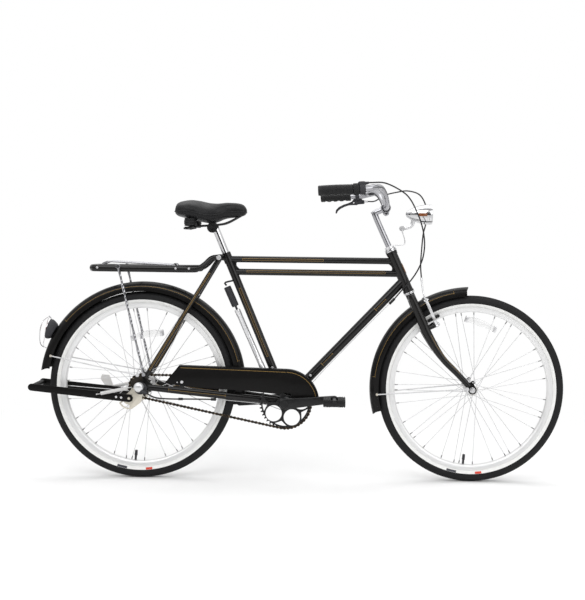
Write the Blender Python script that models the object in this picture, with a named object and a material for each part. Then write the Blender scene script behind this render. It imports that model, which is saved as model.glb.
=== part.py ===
"""A gentleman's roadster bicycle with twin top tubes, a front rim brake and a three-speed hub.

Units are metres, +X is forward, +Y is the rider's left and +Z is up. The ground is z = 0.
Side-view sizes are pairs (x, z), with x measured forward from the rear hub's axis.
"""

import math

import bmesh
import bpy
from mathutils import Matrix, Vector

# Fits
GAP = 0.0003
BEARING_GAP = 0.0004
TOOL_REACH = 0.01

# Wheels
REAR_HUB_X = -0.5475
WHEELBASE = 1.154
TYRE_RADIUS = 0.3265
TYRE_HALF_WIDTH = 0.022
TYRE_WALL = 0.004
RIM_RADIUS = 0.287
RIM_DEPTH = 0.019
RIM_HALF_WIDTH = 0.0152
RIM_WALL = 0.0024
BEAD_HEIGHT = 0.006
WHEEL_STEPS = 28
SPOKES_PER_FLANGE = 18
SPOKE_RADIUS = 0.0011
SPOKE_LEAD = math.radians(58)
SPOKE_RIM_OFFSET = 0.0036
SPOKE_WEAVE = 0.0022
AXLE_RADIUS = 0.0048
FRONT_FLANGE_RADIUS = 0.022
FRONT_BARREL_RADIUS = 0.014
FRONT_FLANGE_Y = 0.034
FRONT_LOCKNUT_Y = 0.050
REAR_FLANGE_RADIUS = 0.038
REAR_BARREL_RADIUS = 0.031
REAR_FLANGE_Y = 0.029
REAR_LOCKNUT_Y = 0.061
FLANGE_THICKNESS = 0.004
SPOKE_HOLE_INSET = 0.003
DROPOUT_THICKNESS = 0.005
AXLE_NUT_RADIUS = 0.0085
AXLE_NUT_LENGTH = 0.009
LOCKNUT_RADIUS = 0.009
DRIVER_RADIUS = 0.0160
DRIVER_END_Y = 0.0560
REAR_HUB_RIGHT_END = 0.0380
BRACKET_PLATE = 0.0030
BRAKE_ANCHOR_Y = 0.0435

# Frame
BOTTOM_BRACKET = (0.505, 0.2735)
SEAT_ANGLE = math.radians(67)
SEAT_TUBE_LENGTH = 0.563
SEAT_TUBE_RADIUS = 0.0143
SEAT_BORE_DEPTH = 0.165
SEAT_BORE_SIDES = 18
SEAT_LUG_RADIUS = 0.0165
SEAT_LUG_LENGTH = 0.036
SEAT_EAR_HALF = 0.0138
SEAT_POST_RADIUS = 0.0127
HEAD_BOTTOM = (0.932, 0.663)
HEAD_ANGLE = math.radians(65.5)
HEAD_LENGTH = 0.149
HEAD_RADIUS = 0.0180
HEAD_WALL = 0.0030
STEERER_RADIUS = 0.0127
UPPER_TUBE_Z = 0.7705
LOWER_TUBE_Z = 0.7260
TOP_TUBE_RADIUS = 0.0113
DOWN_TUBE_HEAD_Z = 0.703
DOWN_TUBE_RADIUS = 0.0159
GUSSET_THICKNESS = 0.014
HEAD_GUSSET_REACH = 0.030
SEAT_GUSSET_REACH = 0.026
SHELL_RADIUS = 0.0205
SHELL_HALF_WIDTH = 0.034
SPINDLE_RADIUS = 0.0085
CHAINSTAY_RADIUS = 0.0095
SEATSTAY_RADIUS = 0.0080
SEATSTAY_TOP = (0.266, 0.776)
SEATSTAY_EYE_RADIUS = 0.0110
BRIDGE_REACH = 0.3700
BRIDGE_RADIUS = 0.0060
BRIDGE_SHORTFALL = 0.0010
STAY_END_SPAN = 0.010
DROPOUT_PLATE_Y = REAR_LOCKNUT_Y + GAP
RACK_EYE = (0.014, 0.368)
RACK_EYE_RADIUS = 0.009
GUARD_TAB = (0.145, 0.343)
GUARD_TAB_RADIUS = 0.008
PUMP_TOP = (0.2915, 0.6730)
PUMP_BOTTOM = (0.4253, 0.3775)
PUMP_BARREL_RADIUS = 0.0105
PUMP_GRIP_RADIUS = 0.0130
PUMP_GRIP_LENGTH = 0.075
PUMP_ROD_RADIUS = 0.004
PUMP_STROKE = 0.012
PUMP_PEG_RADIUS = 0.0030

# Drive
CHAINLINE_Y = -0.0475
CHAIN_PITCH = 0.0127
CHAINRING_TEETH = 44
SPROCKET_TEETH = 19
TOOTH_THICKNESS = 0.0028
TOOTH_RISE = 0.0030
TOOTH_FALL = 0.0038
CHAIN_HALF_WIDTH = 0.0042
CHAIN_GROOVE = TOOTH_THICKNESS / 2 + 0.0005
CHAIN_INNER = 0.0042
CHAIN_OUTER = 0.0048
CHAIN_ROOF = 0.0012
CHAINRING_WRAP_STEPS = 20
SPROCKET_WRAP_STEPS = 9
RING_HOLE_RADIUS = 0.0295
RING_HOLE_CENTRE = 0.056
RING_WINDOW_OUTER = 0.0800
RING_WINDOW_INNER = 0.0640
RING_FIRST_HOLE = math.radians(-138)
CRANK_LENGTH = 0.171
CRANK_ANGLE = math.radians(6)
CRANK_THICKNESS = 0.013
CRANK_INNER_Y = 0.0665
CRANK_BOSS_RADIUS = 0.0185
CRANK_END_RADIUS = 0.0125
PEDAL_HALF_WIDTH = 0.045
PEDAL_LENGTH = 0.076
PEDAL_HEIGHT = 0.026
PEDAL_INNER_Y = 0.088
PEDAL_AXLE_RADIUS = 0.0050
GUARD_PLATE_Y = 0.0595
GUARD_DEPTH = 0.025
GUARD_WALL = 0.0015
GUARD_ARC_RADIUS = 0.1175
GUARD_CUTOUT_RADIUS = 0.037
HUB_BOX_INNER_Y = 0.0795
HUB_BOX_DEPTH = 0.020
HUB_BOX_RADIUS = 0.0165

# Front end
BLADE_TOP_RADIUS = 0.0132
BLADE_TIP_RADIUS = 0.0070
CROWN_DROP = 0.0230
CROWN_Y = 0.0430
FORK_TIP_Y = 0.0528
BOSS_REACH = 0.0450
BOSS_RADIUS = 0.0075
STEM_RADIUS = 0.0110
STEM_INSERT = 0.060
STEM_TOP_Z = 0.936
BAR_CLAMP = (0.847, 0.958)
BAR_RADIUS = 0.0111
BAR_CLAMP_RADIUS = 0.0175
BAR_CLAMP_HALF_WIDTH = 0.022
GRIP_START = (0.7700, 1.0115, 0.2555)
GRIP_END = (0.6175, 1.0024, 0.2700)
GRIP_RADIUS = 0.0178
GRIP_SIDES = 16
SHIFTER_LENGTH = 0.022
TWIST_LENGTH = 0.0215
TWIST_RADIUS = 0.0195
SHIFTER_RADIUS = 0.0200
LEVER_CLAMP_AT = 0.012
LEVER_CLAMP_WIDTH = 0.014
LEVER_CLAMP_RADIUS = 0.0165
LEVER_PIVOT_AT = 0.034
LEVER_PIVOT_DROP = 0.024
LEVER_TILT = math.radians(20)
LEVER_THICKNESS = 0.0085
BRACKET_FORK_HALF = LEVER_THICKNESS / 2 + GAP
BRACKET_CHEEK = 0.003
BRAKE_PIVOT = (1.0285, 0.5515)
BRAKE_PIVOT_Y = 0.0400
BRAKE_ARM_LENGTH = 0.1000
BRAKE_ARM_TOP_Y = 0.0465
BRAKE_ARM_WIDTH = 0.0110
BRAKE_ARM_THICKNESS = 0.0100
BRAKE_PAD_RISE = 0.0232
BRAKE_STUD_RADIUS = 0.0040
PAD_CLEARANCE = 0.0028
PAD_RADIUS = 0.0055
PAD_DEPTH = 0.0090
PAD_HALF_LENGTH = 0.0240
LAMP_REAR_X = 0.9180
LAMP_Z = 0.9360
LAMP_LENGTH = 0.0930
LAMP_RADIUS = 0.0350
LAMP_PIVOT = (0.9053, 0.8860)
LAMP_FORK_RADIUS = 0.0095
LAMP_FORK_HALF = 0.006
LAMP_STRIP_HALF = 0.010
LAMP_STRIP_THICKNESS = 0.003
LAMP_RING_RADIUS = 0.0165
LAMP_RING_HEIGHT = 0.0095
UPPER_STACK = 0.0160
LOWER_STACK = 0.0080

# Mudguards
FRONT_GUARD_RADIUS = 0.3570
FRONT_SKIRT_RADIUS = 0.3250
REAR_GUARD_RADIUS = 0.3620
REAR_SKIRT_RADIUS = 0.3280
GUARD_HALF_WIDTH = 0.0275
GUARD_SHELL = 0.0016
FRONT_GUARD_SPAN = (math.radians(92), math.radians(195.5))
REAR_GUARD_SPAN = (math.radians(-8), math.radians(173))
MUDGUARD_STEPS = 20
STAY_WIRE_RADIUS = 0.0022
CABLE_RADIUS = 0.0025

# Saddle
SADDLE_CLAMP = (0.2390, 0.8810)
SEAT_POST_INSERT = 0.110
SEAT_POST_TOP_Z = 0.8790
SEAT_HEAD_RADIUS = 0.0125
SEAT_HEAD_HALF = 0.0170
SADDLE_BAR_X = 0.1500
SADDLE_BAR_Z = 0.8760
SADDLE_BAR_RADIUS = 0.0035
SADDLE_SPRING_X = 0.1680
SADDLE_SPRING_Y = 0.0600
SADDLE_SPRING_TOP = 0.9165
SADDLE_COIL_RADIUS = 0.0190
SADDLE_WIRE_RADIUS = 0.0026
SADDLE_SPRING_CURLS = 5
POINTS_PER_CURL = 8
SADDLE_CHEEK_RADIUS = 0.0145
SADDLE_CHEEK_INNER_Y = 0.0175
SADDLE_CHEEK_OUTER_Y = 0.0270
SADDLE_BOLT_RADIUS = 0.0040
RAIL_RADIUS = 0.0035

# Rack, tail lamp and stand
RACK_Z = 0.7350
RACK_TUBE_RADIUS = 0.0090
RACK_HALF_WIDTH = 0.0640
RACK_REAR_X = -0.1760
RACK_BAR_RADIUS = 0.0040
RACK_STAY_RADIUS = 0.0045
RACK_STAY_TOP = (-0.0788, RACK_Z)
CLIP_REAR_X = -0.1400
CLIP_HALF_WIDTH = 0.0430
CLIP_RADIUS = 0.0025
CLIP_HINGE = (0.1100, 0.7475)
CLIP_HINGE_RADIUS = 0.0030
CLIP_LUG_RADIUS = 0.0065
CLIP_LUG_THICKNESS = 0.0060
CLIP_LUG_Y = 0.0200
RACK_BAR_PLACES = (-0.130, -0.020, CLIP_HINGE[0], 0.172)
TAIL_LAMP_FACE = (-0.3350, 0.5170)
TAIL_LAMP_TILT = math.radians(14.8)
TAIL_LAMP_RADIUS = 0.0350
TAIL_LAMP_DEPTH = 0.0300
TAIL_GUARD_WIRE_RADIUS = 0.0013
TAIL_GUARD_HALF = (
    (-0.3435, 0.4490, 0.0022),
    (-0.3530, 0.4540, 0.0060),
    (-0.3585, 0.4660, 0.0200),
    (-0.3580, 0.4900, 0.0330),
    (-0.3545, 0.5180, 0.0375),
    (-0.3480, 0.5440, 0.0320),
    (-0.3370, 0.5580, 0.0160),
)
TAIL_GUARD_TOP = (-0.3330, 0.5615)
TAIL_GUARD_ROOT = (-0.3210, 0.5440)
STAND_PIVOT = (-0.0350, 0.2860)
STAND_END = (-0.3730, 0.3202)
STAND_LEG_Y = 0.0725
STAND_LEG_THICKNESS = 0.0050
STAND_LEG_WIDTH = 0.0265
STAND_FOOT_RADIUS = 0.0090
STAND_SPRING_RADIUS = 0.0050
STAND_WIRE_RADIUS = 0.0013
STAND_SPRING_CURLS = 5
STAND_PIN_RADIUS = 0.0045
SPRING_ANCHOR = (-0.0240, 0.3200)
SPRING_HOOK = (-0.1450, 0.3000)
SPRING_Y = 0.0780

FRONT_HUB = (WHEELBASE, TYRE_RADIUS)
REAR_HUB = (0.0, TYRE_RADIUS)
UP_HEAD = Vector((-math.cos(HEAD_ANGLE), 0, math.sin(HEAD_ANGLE)))
BRAKE_AXIS = Vector((math.sin(HEAD_ANGLE), 0, math.cos(HEAD_ANGLE)))
UP_SEAT = Vector((-math.cos(SEAT_ANGLE), 0, math.sin(SEAT_ANGLE)))

PAINT = ("black_paint", (0.012, 0.012, 0.013), 0.22, 0.3)
CHROME = ("chrome", (0.78, 0.78, 0.80), 0.12, 1.0)
ALLOY = ("alloy", (0.62, 0.62, 0.64), 0.32, 1.0)
STEEL = ("steel", (0.55, 0.55, 0.56), 0.35, 1.0)
RUBBER = ("black_rubber", (0.018, 0.018, 0.019), 0.75, 0.0)
PLASTIC = ("black_plastic", (0.020, 0.020, 0.022), 0.45, 0.0)
PAD_FOAM = ("saddle_cover", (0.022, 0.022, 0.024), 0.60, 0.0)
CHAIN_STEEL = ("bronze_steel", (0.16, 0.12, 0.08), 0.45, 0.9)
ZINC = ("zinc_plate", (0.62, 0.58, 0.50), 0.45, 0.8)
RED_LENS = ("red_lens", (0.65, 0.05, 0.05), 0.15, 0.0)


def place(x, z, y=0.0):
    """World place of a side-view point at the sideways distance y."""
    return Vector((REAR_HUB_X + x, y, z))


def along(start, direction, distance):
    """The point at a distance from start along a direction."""
    return Vector(start) + Vector(direction) * distance


def arc(centre, radius, first, last, count):
    """Points (x, z) on a circle's arc, both ends included."""
    steps = [first + (last - first) * i / (count - 1) for i in range(count)]
    return [(centre[0] + radius * math.cos(a), centre[1] + radius * math.sin(a)) for a in steps]


def axis_frame(origin, direction, side=Vector((0, 1, 0))):
    """A matrix at origin whose z axis runs along direction."""
    z_axis = Vector(direction).normalized()
    if abs(z_axis.dot(side)) > 0.9:
        side = Vector((1, 0, 0))
    x_axis = side.cross(z_axis).normalized()
    y_axis = z_axis.cross(x_axis)
    rotation = Matrix((x_axis, y_axis, z_axis)).transposed()
    return Matrix.Translation(Vector(origin)) @ rotation.to_4x4()


def side_frame(y):
    """A frame whose x and y axes are the side view's x and z, seen from the right."""
    rotation = Matrix(((1, 0, 0), (0, 0, -1), (0, 1, 0)))
    return Matrix.Translation(place(0, 0, y)) @ rotation.to_4x4()


def smooth_path(points, spacing):
    """Points along a smooth curve through the given points, about one spacing apart."""
    route = [Vector(p) for p in points]
    ends = [2 * route[0] - route[1]] + route + [2 * route[-1] - route[-2]]
    path = []
    for a, b, c, d in zip(ends, ends[1:], ends[2:], ends[3:]):
        steps = max(1, round((c - b).length / spacing))
        for i in range(steps):
            t = i / steps
            path.append(
                0.5 * (2 * b + (c - a) * t + (2 * a - 5 * b + 4 * c - d) * t**2)
                + 0.5 * (3 * b - 3 * c + d - a) * t**3
            )
    return path + [route[-1]]


def finish_of(finish):
    """The material of a finish, made once."""
    name, colour, roughness, metallic = finish
    material = bpy.data.materials.get(name) or bpy.data.materials.new(name)
    material.use_nodes = True
    shader = material.node_tree.nodes["Principled BSDF"]
    shader.inputs["Base Color"].default_value = (*colour, 1)
    shader.inputs["Roughness"].default_value = roughness
    shader.inputs["Metallic"].default_value = metallic
    return material


def dressed(name, finish):
    """A copy of a finish for one sub-part."""
    material = finish_of(finish).copy()
    material.name = f"{name}_{finish[0]}"
    return material


def add_mesh(name, bm, frame, finish, sharp=35):
    """Close a bmesh into a smooth-shaded object standing at frame."""
    bmesh.ops.recalc_face_normals(bm, faces=bm.faces)
    mesh = bpy.data.meshes.new(name)
    bm.to_mesh(mesh)
    bm.free()
    mesh.shade_smooth()
    mesh.set_sharp_from_angle(angle=math.radians(sharp))
    body = bpy.data.objects.new(name, mesh)
    bpy.context.scene.collection.objects.link(body)
    body.matrix_world = frame
    if finish:
        mesh.materials.append(dressed(name, finish))
    return body


def turned(name, profile, frame, finish, steps=20, loop=False):
    """A profile of (radius, height) pairs turned about the frame's z axis."""
    bm = bmesh.new()
    rim = [bm.verts.new((radius, 0, height)) for radius, height in profile]
    edges = [bm.edges.new(pair) for pair in zip(rim, rim[1:])]
    if loop:
        edges.append(bm.edges.new((rim[-1], rim[0])))
    bmesh.ops.spin(
        bm, geom=rim + edges, cent=(0, 0, 0), axis=(0, 0, 1), angle=math.tau, steps=steps
    )
    bmesh.ops.remove_doubles(bm, verts=bm.verts, dist=1e-6)
    bmesh.ops.dissolve_degenerate(bm, edges=bm.edges, dist=1e-7)
    return add_mesh(name, bm, frame, finish)


def rod(name, start, end, radius, finish, end_radius=None, sides=16):
    """A round bar between two world points, tapered if it has an end radius."""
    start = Vector(start)
    length = (Vector(end) - start).length
    last = radius if end_radius is None else end_radius
    profile = [(0, 0), (radius, 0), (last, length), (0, length)]
    return turned(name, profile, axis_frame(start, Vector(end) - start), finish, sides)


def pipe(name, start, end, radius, bore, finish, sides=16):
    """A round tube open at both ends."""
    start = Vector(start)
    length = (Vector(end) - start).length
    profile = [(bore, 0), (radius, 0), (radius, length), (bore, length)]
    frame = axis_frame(start, Vector(end) - start)
    return turned(name, profile, frame, finish, sides, loop=True)


def bent(name, path, radii, finish, resolution=2):
    """A round bar along a path of world points, with one radius or one for each point."""
    curve = bpy.data.curves.new(name, "CURVE")
    curve.dimensions = "3D"
    curve.bevel_depth = 1.0
    curve.bevel_resolution = resolution
    curve.use_fill_caps = True
    spline = curve.splines.new("POLY")
    spline.points.add(len(path) - 1)
    for index, (knot, here) in enumerate(zip(spline.points, path)):
        knot.co = (*here, 1)
        knot.radius = radii if isinstance(radii, float) else radii[index]
    guide = bpy.data.objects.new(name, curve)
    bpy.context.scene.collection.objects.link(guide)
    bpy.context.view_layer.update()
    mesh = bpy.data.meshes.new_from_object(guide.evaluated_get(bpy.context.evaluated_depsgraph_get()))
    bpy.data.objects.remove(guide)
    bm = bmesh.new()
    bm.from_mesh(mesh)
    bmesh.ops.remove_doubles(bm, verts=bm.verts, dist=1e-6)
    return add_mesh(name, bm, Matrix(), finish, sharp=50)


def plate(name, loops, thickness, frame, finish, sharp=35):
    """Flat loops of (x, y) points, the first one the outline, raised along the frame's z axis."""
    bm = bmesh.new()
    for loop in loops:
        ring = [bm.verts.new((x, y, 0)) for x, y in loop]
        for a, b in zip(ring, ring[1:] + ring[:1]):
            bm.edges.new((a, b))
    bmesh.ops.triangle_fill(bm, use_beauty=True, use_dissolve=False, edges=bm.edges)
    grown = bmesh.ops.extrude_face_region(bm, geom=bm.faces[:])
    raised = [item for item in grown["geom"] if isinstance(item, bmesh.types.BMVert)]
    bmesh.ops.translate(bm, verts=raised, vec=(0, 0, thickness))
    return add_mesh(name, bm, frame, finish, sharp)


def combine(body, guide, operation):
    """Join a guide to a body, or cut it out, with an exact Boolean."""
    guide.hide_render = True
    guide.display_type = "WIRE"
    change = body.modifiers.new(guide.name, "BOOLEAN")
    change.operation = operation
    change.solver = "EXACT"
    change.object = guide
    return body


def join(body, *guides):
    """Fuse guides into a body."""
    for guide in guides:
        combine(body, guide, "UNION")
    return body


def cut(body, *guides):
    """Cut guides out of a body."""
    for guide in guides:
        combine(body, guide, "DIFFERENCE")
    return body


def drill(body, tag, start, end, radius, sides=16):
    """Cut a round hole between two world points."""
    return cut(body, rod(f"{body.name}_{tag}_guide", start, end, radius, None, sides=sides))


def carry(empty_name, origin, *bodies):
    """Hang bodies on an empty that stands on their joint's axis."""
    hanger = bpy.data.objects.new(empty_name, None)
    hanger.empty_display_size = 0.03
    bpy.context.scene.collection.objects.link(hanger)
    hanger.location = origin
    bpy.context.view_layer.update()
    for body in bodies:
        body.parent = hanger
        body.matrix_parent_inverse = hanger.matrix_world.inverted()
    return hanger


def head_x(z):
    """Where the steering axis passes the height z."""
    return HEAD_BOTTOM[0] - (z - HEAD_BOTTOM[1]) / math.tan(HEAD_ANGLE)


def seat_x(z):
    """Where the seat tube's axis passes the height z."""
    return BOTTOM_BRACKET[0] - (z - BOTTOM_BRACKET[1]) / math.tan(SEAT_ANGLE)


HEAD_FOOT = place(*HEAD_BOTTOM)
HEAD_PEAK = along(HEAD_FOOT, UP_HEAD, HEAD_LENGTH)
SHELL_CENTRE = place(*BOTTOM_BRACKET)
SEAT_PEAK = along(SHELL_CENTRE, UP_SEAT, SEAT_TUBE_LENGTH)
DOWN_TUBE_TOP = place(head_x(DOWN_TUBE_HEAD_Z), DOWN_TUBE_HEAD_Z)


def clear_of_head(body):
    """Trim a tube where it meets the head tube."""
    start = along(HEAD_FOOT, UP_HEAD, -TOOL_REACH)
    end = along(HEAD_PEAK, UP_HEAD, TOOL_REACH)
    return drill(body, "head", start, end, HEAD_RADIUS + GAP, 24)


def clear_of_seat_tube(body, radius=SEAT_TUBE_RADIUS):
    """Trim a tube where it meets the seat tube or the lug round its top."""
    end = along(SEAT_PEAK, UP_SEAT, TOOL_REACH)
    return drill(body, "seat_tube", SHELL_CENTRE, end, radius + GAP, 22)


def clear_of_shell(body):
    """Trim a tube where it meets the bottom bracket shell."""
    reach = Vector((0, SHELL_HALF_WIDTH + TOOL_REACH, 0))
    start, end = SHELL_CENTRE - reach, SHELL_CENTRE + reach
    return drill(body, "shell", start, end, SHELL_RADIUS + GAP, 24)


def top_tube_guide(name, z, extra):
    """A bar along a top tube, larger by extra."""
    start, end = place(seat_x(z), z), place(head_x(z), z)
    return rod(name, start, end, TOP_TUBE_RADIUS + extra, None, sides=18)


def gusset(name, near_x, reach, towards):
    """The web between the two top tubes at one end, with a hollow rounded edge."""
    middle = (UPPER_TUBE_Z + LOWER_TUBE_Z) / 2
    half = (UPPER_TUBE_Z - LOWER_TUBE_Z) / 2
    edge_x = near_x(middle) + towards * reach
    outline = [(near_x(LOWER_TUBE_Z), LOWER_TUBE_Z)]
    for degrees in range(-90, 91, 45):
        angle = math.radians(degrees)
        flare = half * 0.7 * (1 - math.cos(angle))
        outline.append((edge_x + towards * flare, middle + half * math.sin(angle)))
    outline.append((near_x(UPPER_TUBE_Z), UPPER_TUBE_Z))
    web = plate(name, [outline], GUSSET_THICKNESS, side_frame(GUSSET_THICKNESS / 2), None)
    for tag, z in (("upper", UPPER_TUBE_Z), ("lower", LOWER_TUBE_Z)):
        cut(web, top_tube_guide(f"{name}_{tag}", z, GAP))
    return web


def head_tube():
    """The head tube with the web that ties both top tubes to it."""
    body = pipe(
        "head_tube", HEAD_FOOT, HEAD_PEAK, HEAD_RADIUS, HEAD_RADIUS - HEAD_WALL, PAINT, sides=18
    )
    join(body, gusset("head_web", head_x, HEAD_GUSSET_REACH, -1))
    bore = HEAD_RADIUS - HEAD_WALL
    start = along(HEAD_FOOT, UP_HEAD, -TOOL_REACH)
    end = along(HEAD_PEAK, UP_HEAD, TOOL_REACH)
    return drill(body, "bore", start, end, bore, 24)


def headset(name, foot, height, flare, direction):
    """A bearing cup stack round the steerer."""
    bore = STEERER_RADIUS + BEARING_GAP
    profile = [
        (bore, 0),
        (HEAD_RADIUS + 0.001, 0),
        (HEAD_RADIUS + flare, height * 0.35),
        (HEAD_RADIUS + flare, height * 0.55),
        (HEAD_RADIUS - 0.001, height * 0.7),
        (HEAD_RADIUS - 0.001, height),
        (bore, height),
    ]
    return turned(name, profile, axis_frame(foot, direction), CHROME, 14, loop=True)


def headsets():
    """The upper and lower steering bearings."""
    headset("headset_upper", along(HEAD_PEAK, UP_HEAD, GAP), UPPER_STACK, 0.0035, UP_HEAD)
    headset("headset_lower", along(HEAD_FOOT, UP_HEAD, -GAP), LOWER_STACK, 0.002, -UP_HEAD)


def top_tube(name, z, seat_radius):
    """One of the two level tubes from the seat tube to the head tube."""
    start, end = place(seat_x(z), z), place(head_x(z), z)
    body = rod(name, start, end, TOP_TUBE_RADIUS, PAINT, sides=18)
    clear_of_head(body)
    return clear_of_seat_tube(body, seat_radius)


def down_tube():
    """The tube from the head to the bottom bracket."""
    body = rod("down_tube", SHELL_CENTRE, DOWN_TUBE_TOP, DOWN_TUBE_RADIUS, PAINT, sides=18)
    clear_of_head(body)
    clear_of_shell(body)
    clear_of_seat_tube(body)
    return cut(body, top_tube_guide("down_tube_top_tube", LOWER_TUBE_Z, GAP))


def peg(name, knots):
    """A bent wire peg on the seat tube that holds the pump."""
    return bent(name, [place(x, z) for x, z in knots], PUMP_PEG_RADIUS, None, resolution=1)


PUMP_AXIS = (place(*PUMP_BOTTOM) - place(*PUMP_TOP)).normalized()
PUMP_SIDE = Vector((PUMP_AXIS.z, 0, -PUMP_AXIS.x))


def pump_point(distance, offset=0.0):
    """A side-view point beside the pump's axis, measured down from its top."""
    here = place(*PUMP_TOP) + PUMP_AXIS * distance + PUMP_SIDE * offset
    return here.x - REAR_HUB_X, here.z


PUMP_LENGTH = (place(*PUMP_BOTTOM) - place(*PUMP_TOP)).length


def seat_ear():
    """The block behind the seat tube's top that the seatstays and the rack are bolted to."""
    x, z = SEATSTAY_TOP
    outline = [(x + 0.030, z - 0.012), (x + 0.022, z + 0.010), (x + 0.004, z + 0.010)]
    outline += arc(SEATSTAY_TOP, 0.010, math.radians(90), math.radians(250), 7)
    return plate("seat_ear", [outline], 2 * SEAT_EAR_HALF, side_frame(SEAT_EAR_HALF), None)


def seat_tube():
    """The seat tube with the bottom bracket shell, the top tubes' web and the pump pegs."""
    body = rod("seat_tube", SHELL_CENTRE, SEAT_PEAK, SEAT_TUBE_RADIUS, PAINT, sides=18)
    half = Vector((0, SHELL_HALF_WIDTH, 0))
    shell = rod("shell_guide", SHELL_CENTRE - half, SHELL_CENTRE + half, SHELL_RADIUS, None, sides=18)
    join(body, shell)
    reach = half * 1.3
    drill(body, "axle", SHELL_CENTRE - reach, SHELL_CENTRE + reach, SPINDLE_RADIUS + BEARING_GAP, 14)
    lug_foot = along(SEAT_PEAK, UP_SEAT, -SEAT_LUG_LENGTH)
    lug_top = along(SEAT_PEAK, UP_SEAT, -0.001)
    join(body, rod("seat_lug", lug_foot, lug_top, SEAT_LUG_RADIUS, None, sides=16))
    join(body, gusset("seat_web", seat_x, SEAT_GUSSET_REACH, 1), seat_ear())
    top_x, top_z = pump_point(-0.004)
    bend_x, bend_z = pump_point(-0.016)
    root_z = bend_z + 0.010
    root = (seat_x(root_z) + SEAT_TUBE_RADIUS * 0.9, root_z)
    join(body, peg("peg_upper", [(top_x, top_z), (bend_x, bend_z), root]))
    foot_x, foot_z = pump_point(PUMP_LENGTH + 0.003)
    low_x, low_z = pump_point(PUMP_LENGTH + 0.014)
    join(body, peg("peg_lower", [(foot_x, foot_z), (low_x, low_z), (seat_x(low_z), low_z - 0.004)]))
    bore_foot = along(SEAT_PEAK, UP_SEAT, -SEAT_BORE_DEPTH)
    bore_top = along(SEAT_PEAK, UP_SEAT, TOOL_REACH)
    return drill(body, "bore", bore_foot, bore_top, SEAT_POST_RADIUS + GAP, SEAT_BORE_SIDES)


def disc_outline(centre, radius, steps=16):
    """A full circle of side-view points."""
    return arc(centre, radius, 0, math.tau * (steps - 1) / steps, steps)


def dropout(name, side):
    """The plate that holds the rear axle, with the ear for the rack."""
    outline = [
        (STAY_END_SPAN, REAR_HUB[1] + 0.020),
        (-0.006, REAR_HUB[1] + 0.016),
        (-0.014, REAR_HUB[1]),
        (-0.008, REAR_HUB[1] - 0.014),
        (0.034, REAR_HUB[1] - 0.016),
        (0.044, REAR_HUB[1] + 0.004),
        (0.026, REAR_HUB[1] + 0.022),
        (0.024, RACK_EYE[1] - 0.004),
        (0.020, RACK_EYE[1] + RACK_EYE_RADIUS),
        (0.008, RACK_EYE[1] + RACK_EYE_RADIUS),
        (0.006, RACK_EYE[1] - 0.006),
    ]
    outer = DROPOUT_PLATE_Y + DROPOUT_THICKNESS
    y = outer if side > 0 else -DROPOUT_PLATE_Y
    return plate(name, [outline], DROPOUT_THICKNESS, side_frame(y), None)


def chainstay(name, side):
    """A lower rear tube with its dropout, drawn in to clear the mudguard and the chainring."""
    knots = [
        (BOTTOM_BRACKET[0] - 0.004, BOTTOM_BRACKET[1], 0.0240),
        (0.430, 0.2815, 0.0300),
        (0.360, 0.2888, 0.0385),
        (0.250, 0.3003, 0.0470),
        (0.120, 0.3139, 0.0580),
        (0.030, 0.3234, 0.0640),
    ]
    path = smooth_path([place(x, z, side * y) for x, z, y in knots], 0.045)
    count = len(path) - 1
    radii = [CHAINSTAY_RADIUS - 0.003 * i / count for i in range(count + 1)]
    body = bent(name, path, radii, PAINT, resolution=2)
    join(body, dropout(f"{name}_dropout", side))
    clear_of_shell(body)
    start = place(*REAR_HUB, side * (DROPOUT_PLATE_Y - TOOL_REACH))
    end = place(*REAR_HUB, side * (DROPOUT_PLATE_Y + DROPOUT_THICKNESS + TOOL_REACH))
    return drill(body, "axle", start, end, AXLE_RADIUS + GAP)


def guard_tab():
    """The small ear on the right chainstay that the chain guard bolts to."""
    foot_z = 0.3115
    outline = [(GUARD_TAB[0] - 0.008, foot_z), (GUARD_TAB[0] + 0.008, foot_z)]
    outline += arc(GUARD_TAB, GUARD_TAB_RADIUS, 0, math.pi, 7)
    y = -(GUARD_PLATE_Y - GAP - 0.006)
    return plate("guard_tab", [outline], 0.006, side_frame(y), None)


def chainstays():
    """Both lower rear tubes; the right one carries the chain guard's ear."""
    right = chainstay("right_chainstay", -1)
    join(right, guard_tab())
    chainstay("left_chainstay", 1)


def seatstay_side(distance):
    """How far a seatstay's middle line is from the centre plane at a distance from the hub."""
    top_y = SEAT_TUBE_RADIUS + SEATSTAY_RADIUS + GAP
    spots = ((0.035, 0.0608), (0.090, 0.0600), (0.206, 0.0530), (0.335, 0.0420))
    spots += ((0.402, 0.0340), (0.5157, top_y))
    for (near, near_y), (far, far_y) in zip(spots, spots[1:]):
        if distance <= far:
            return near_y + (far_y - near_y) * (distance - near) / (far - near)
    return top_y


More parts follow.
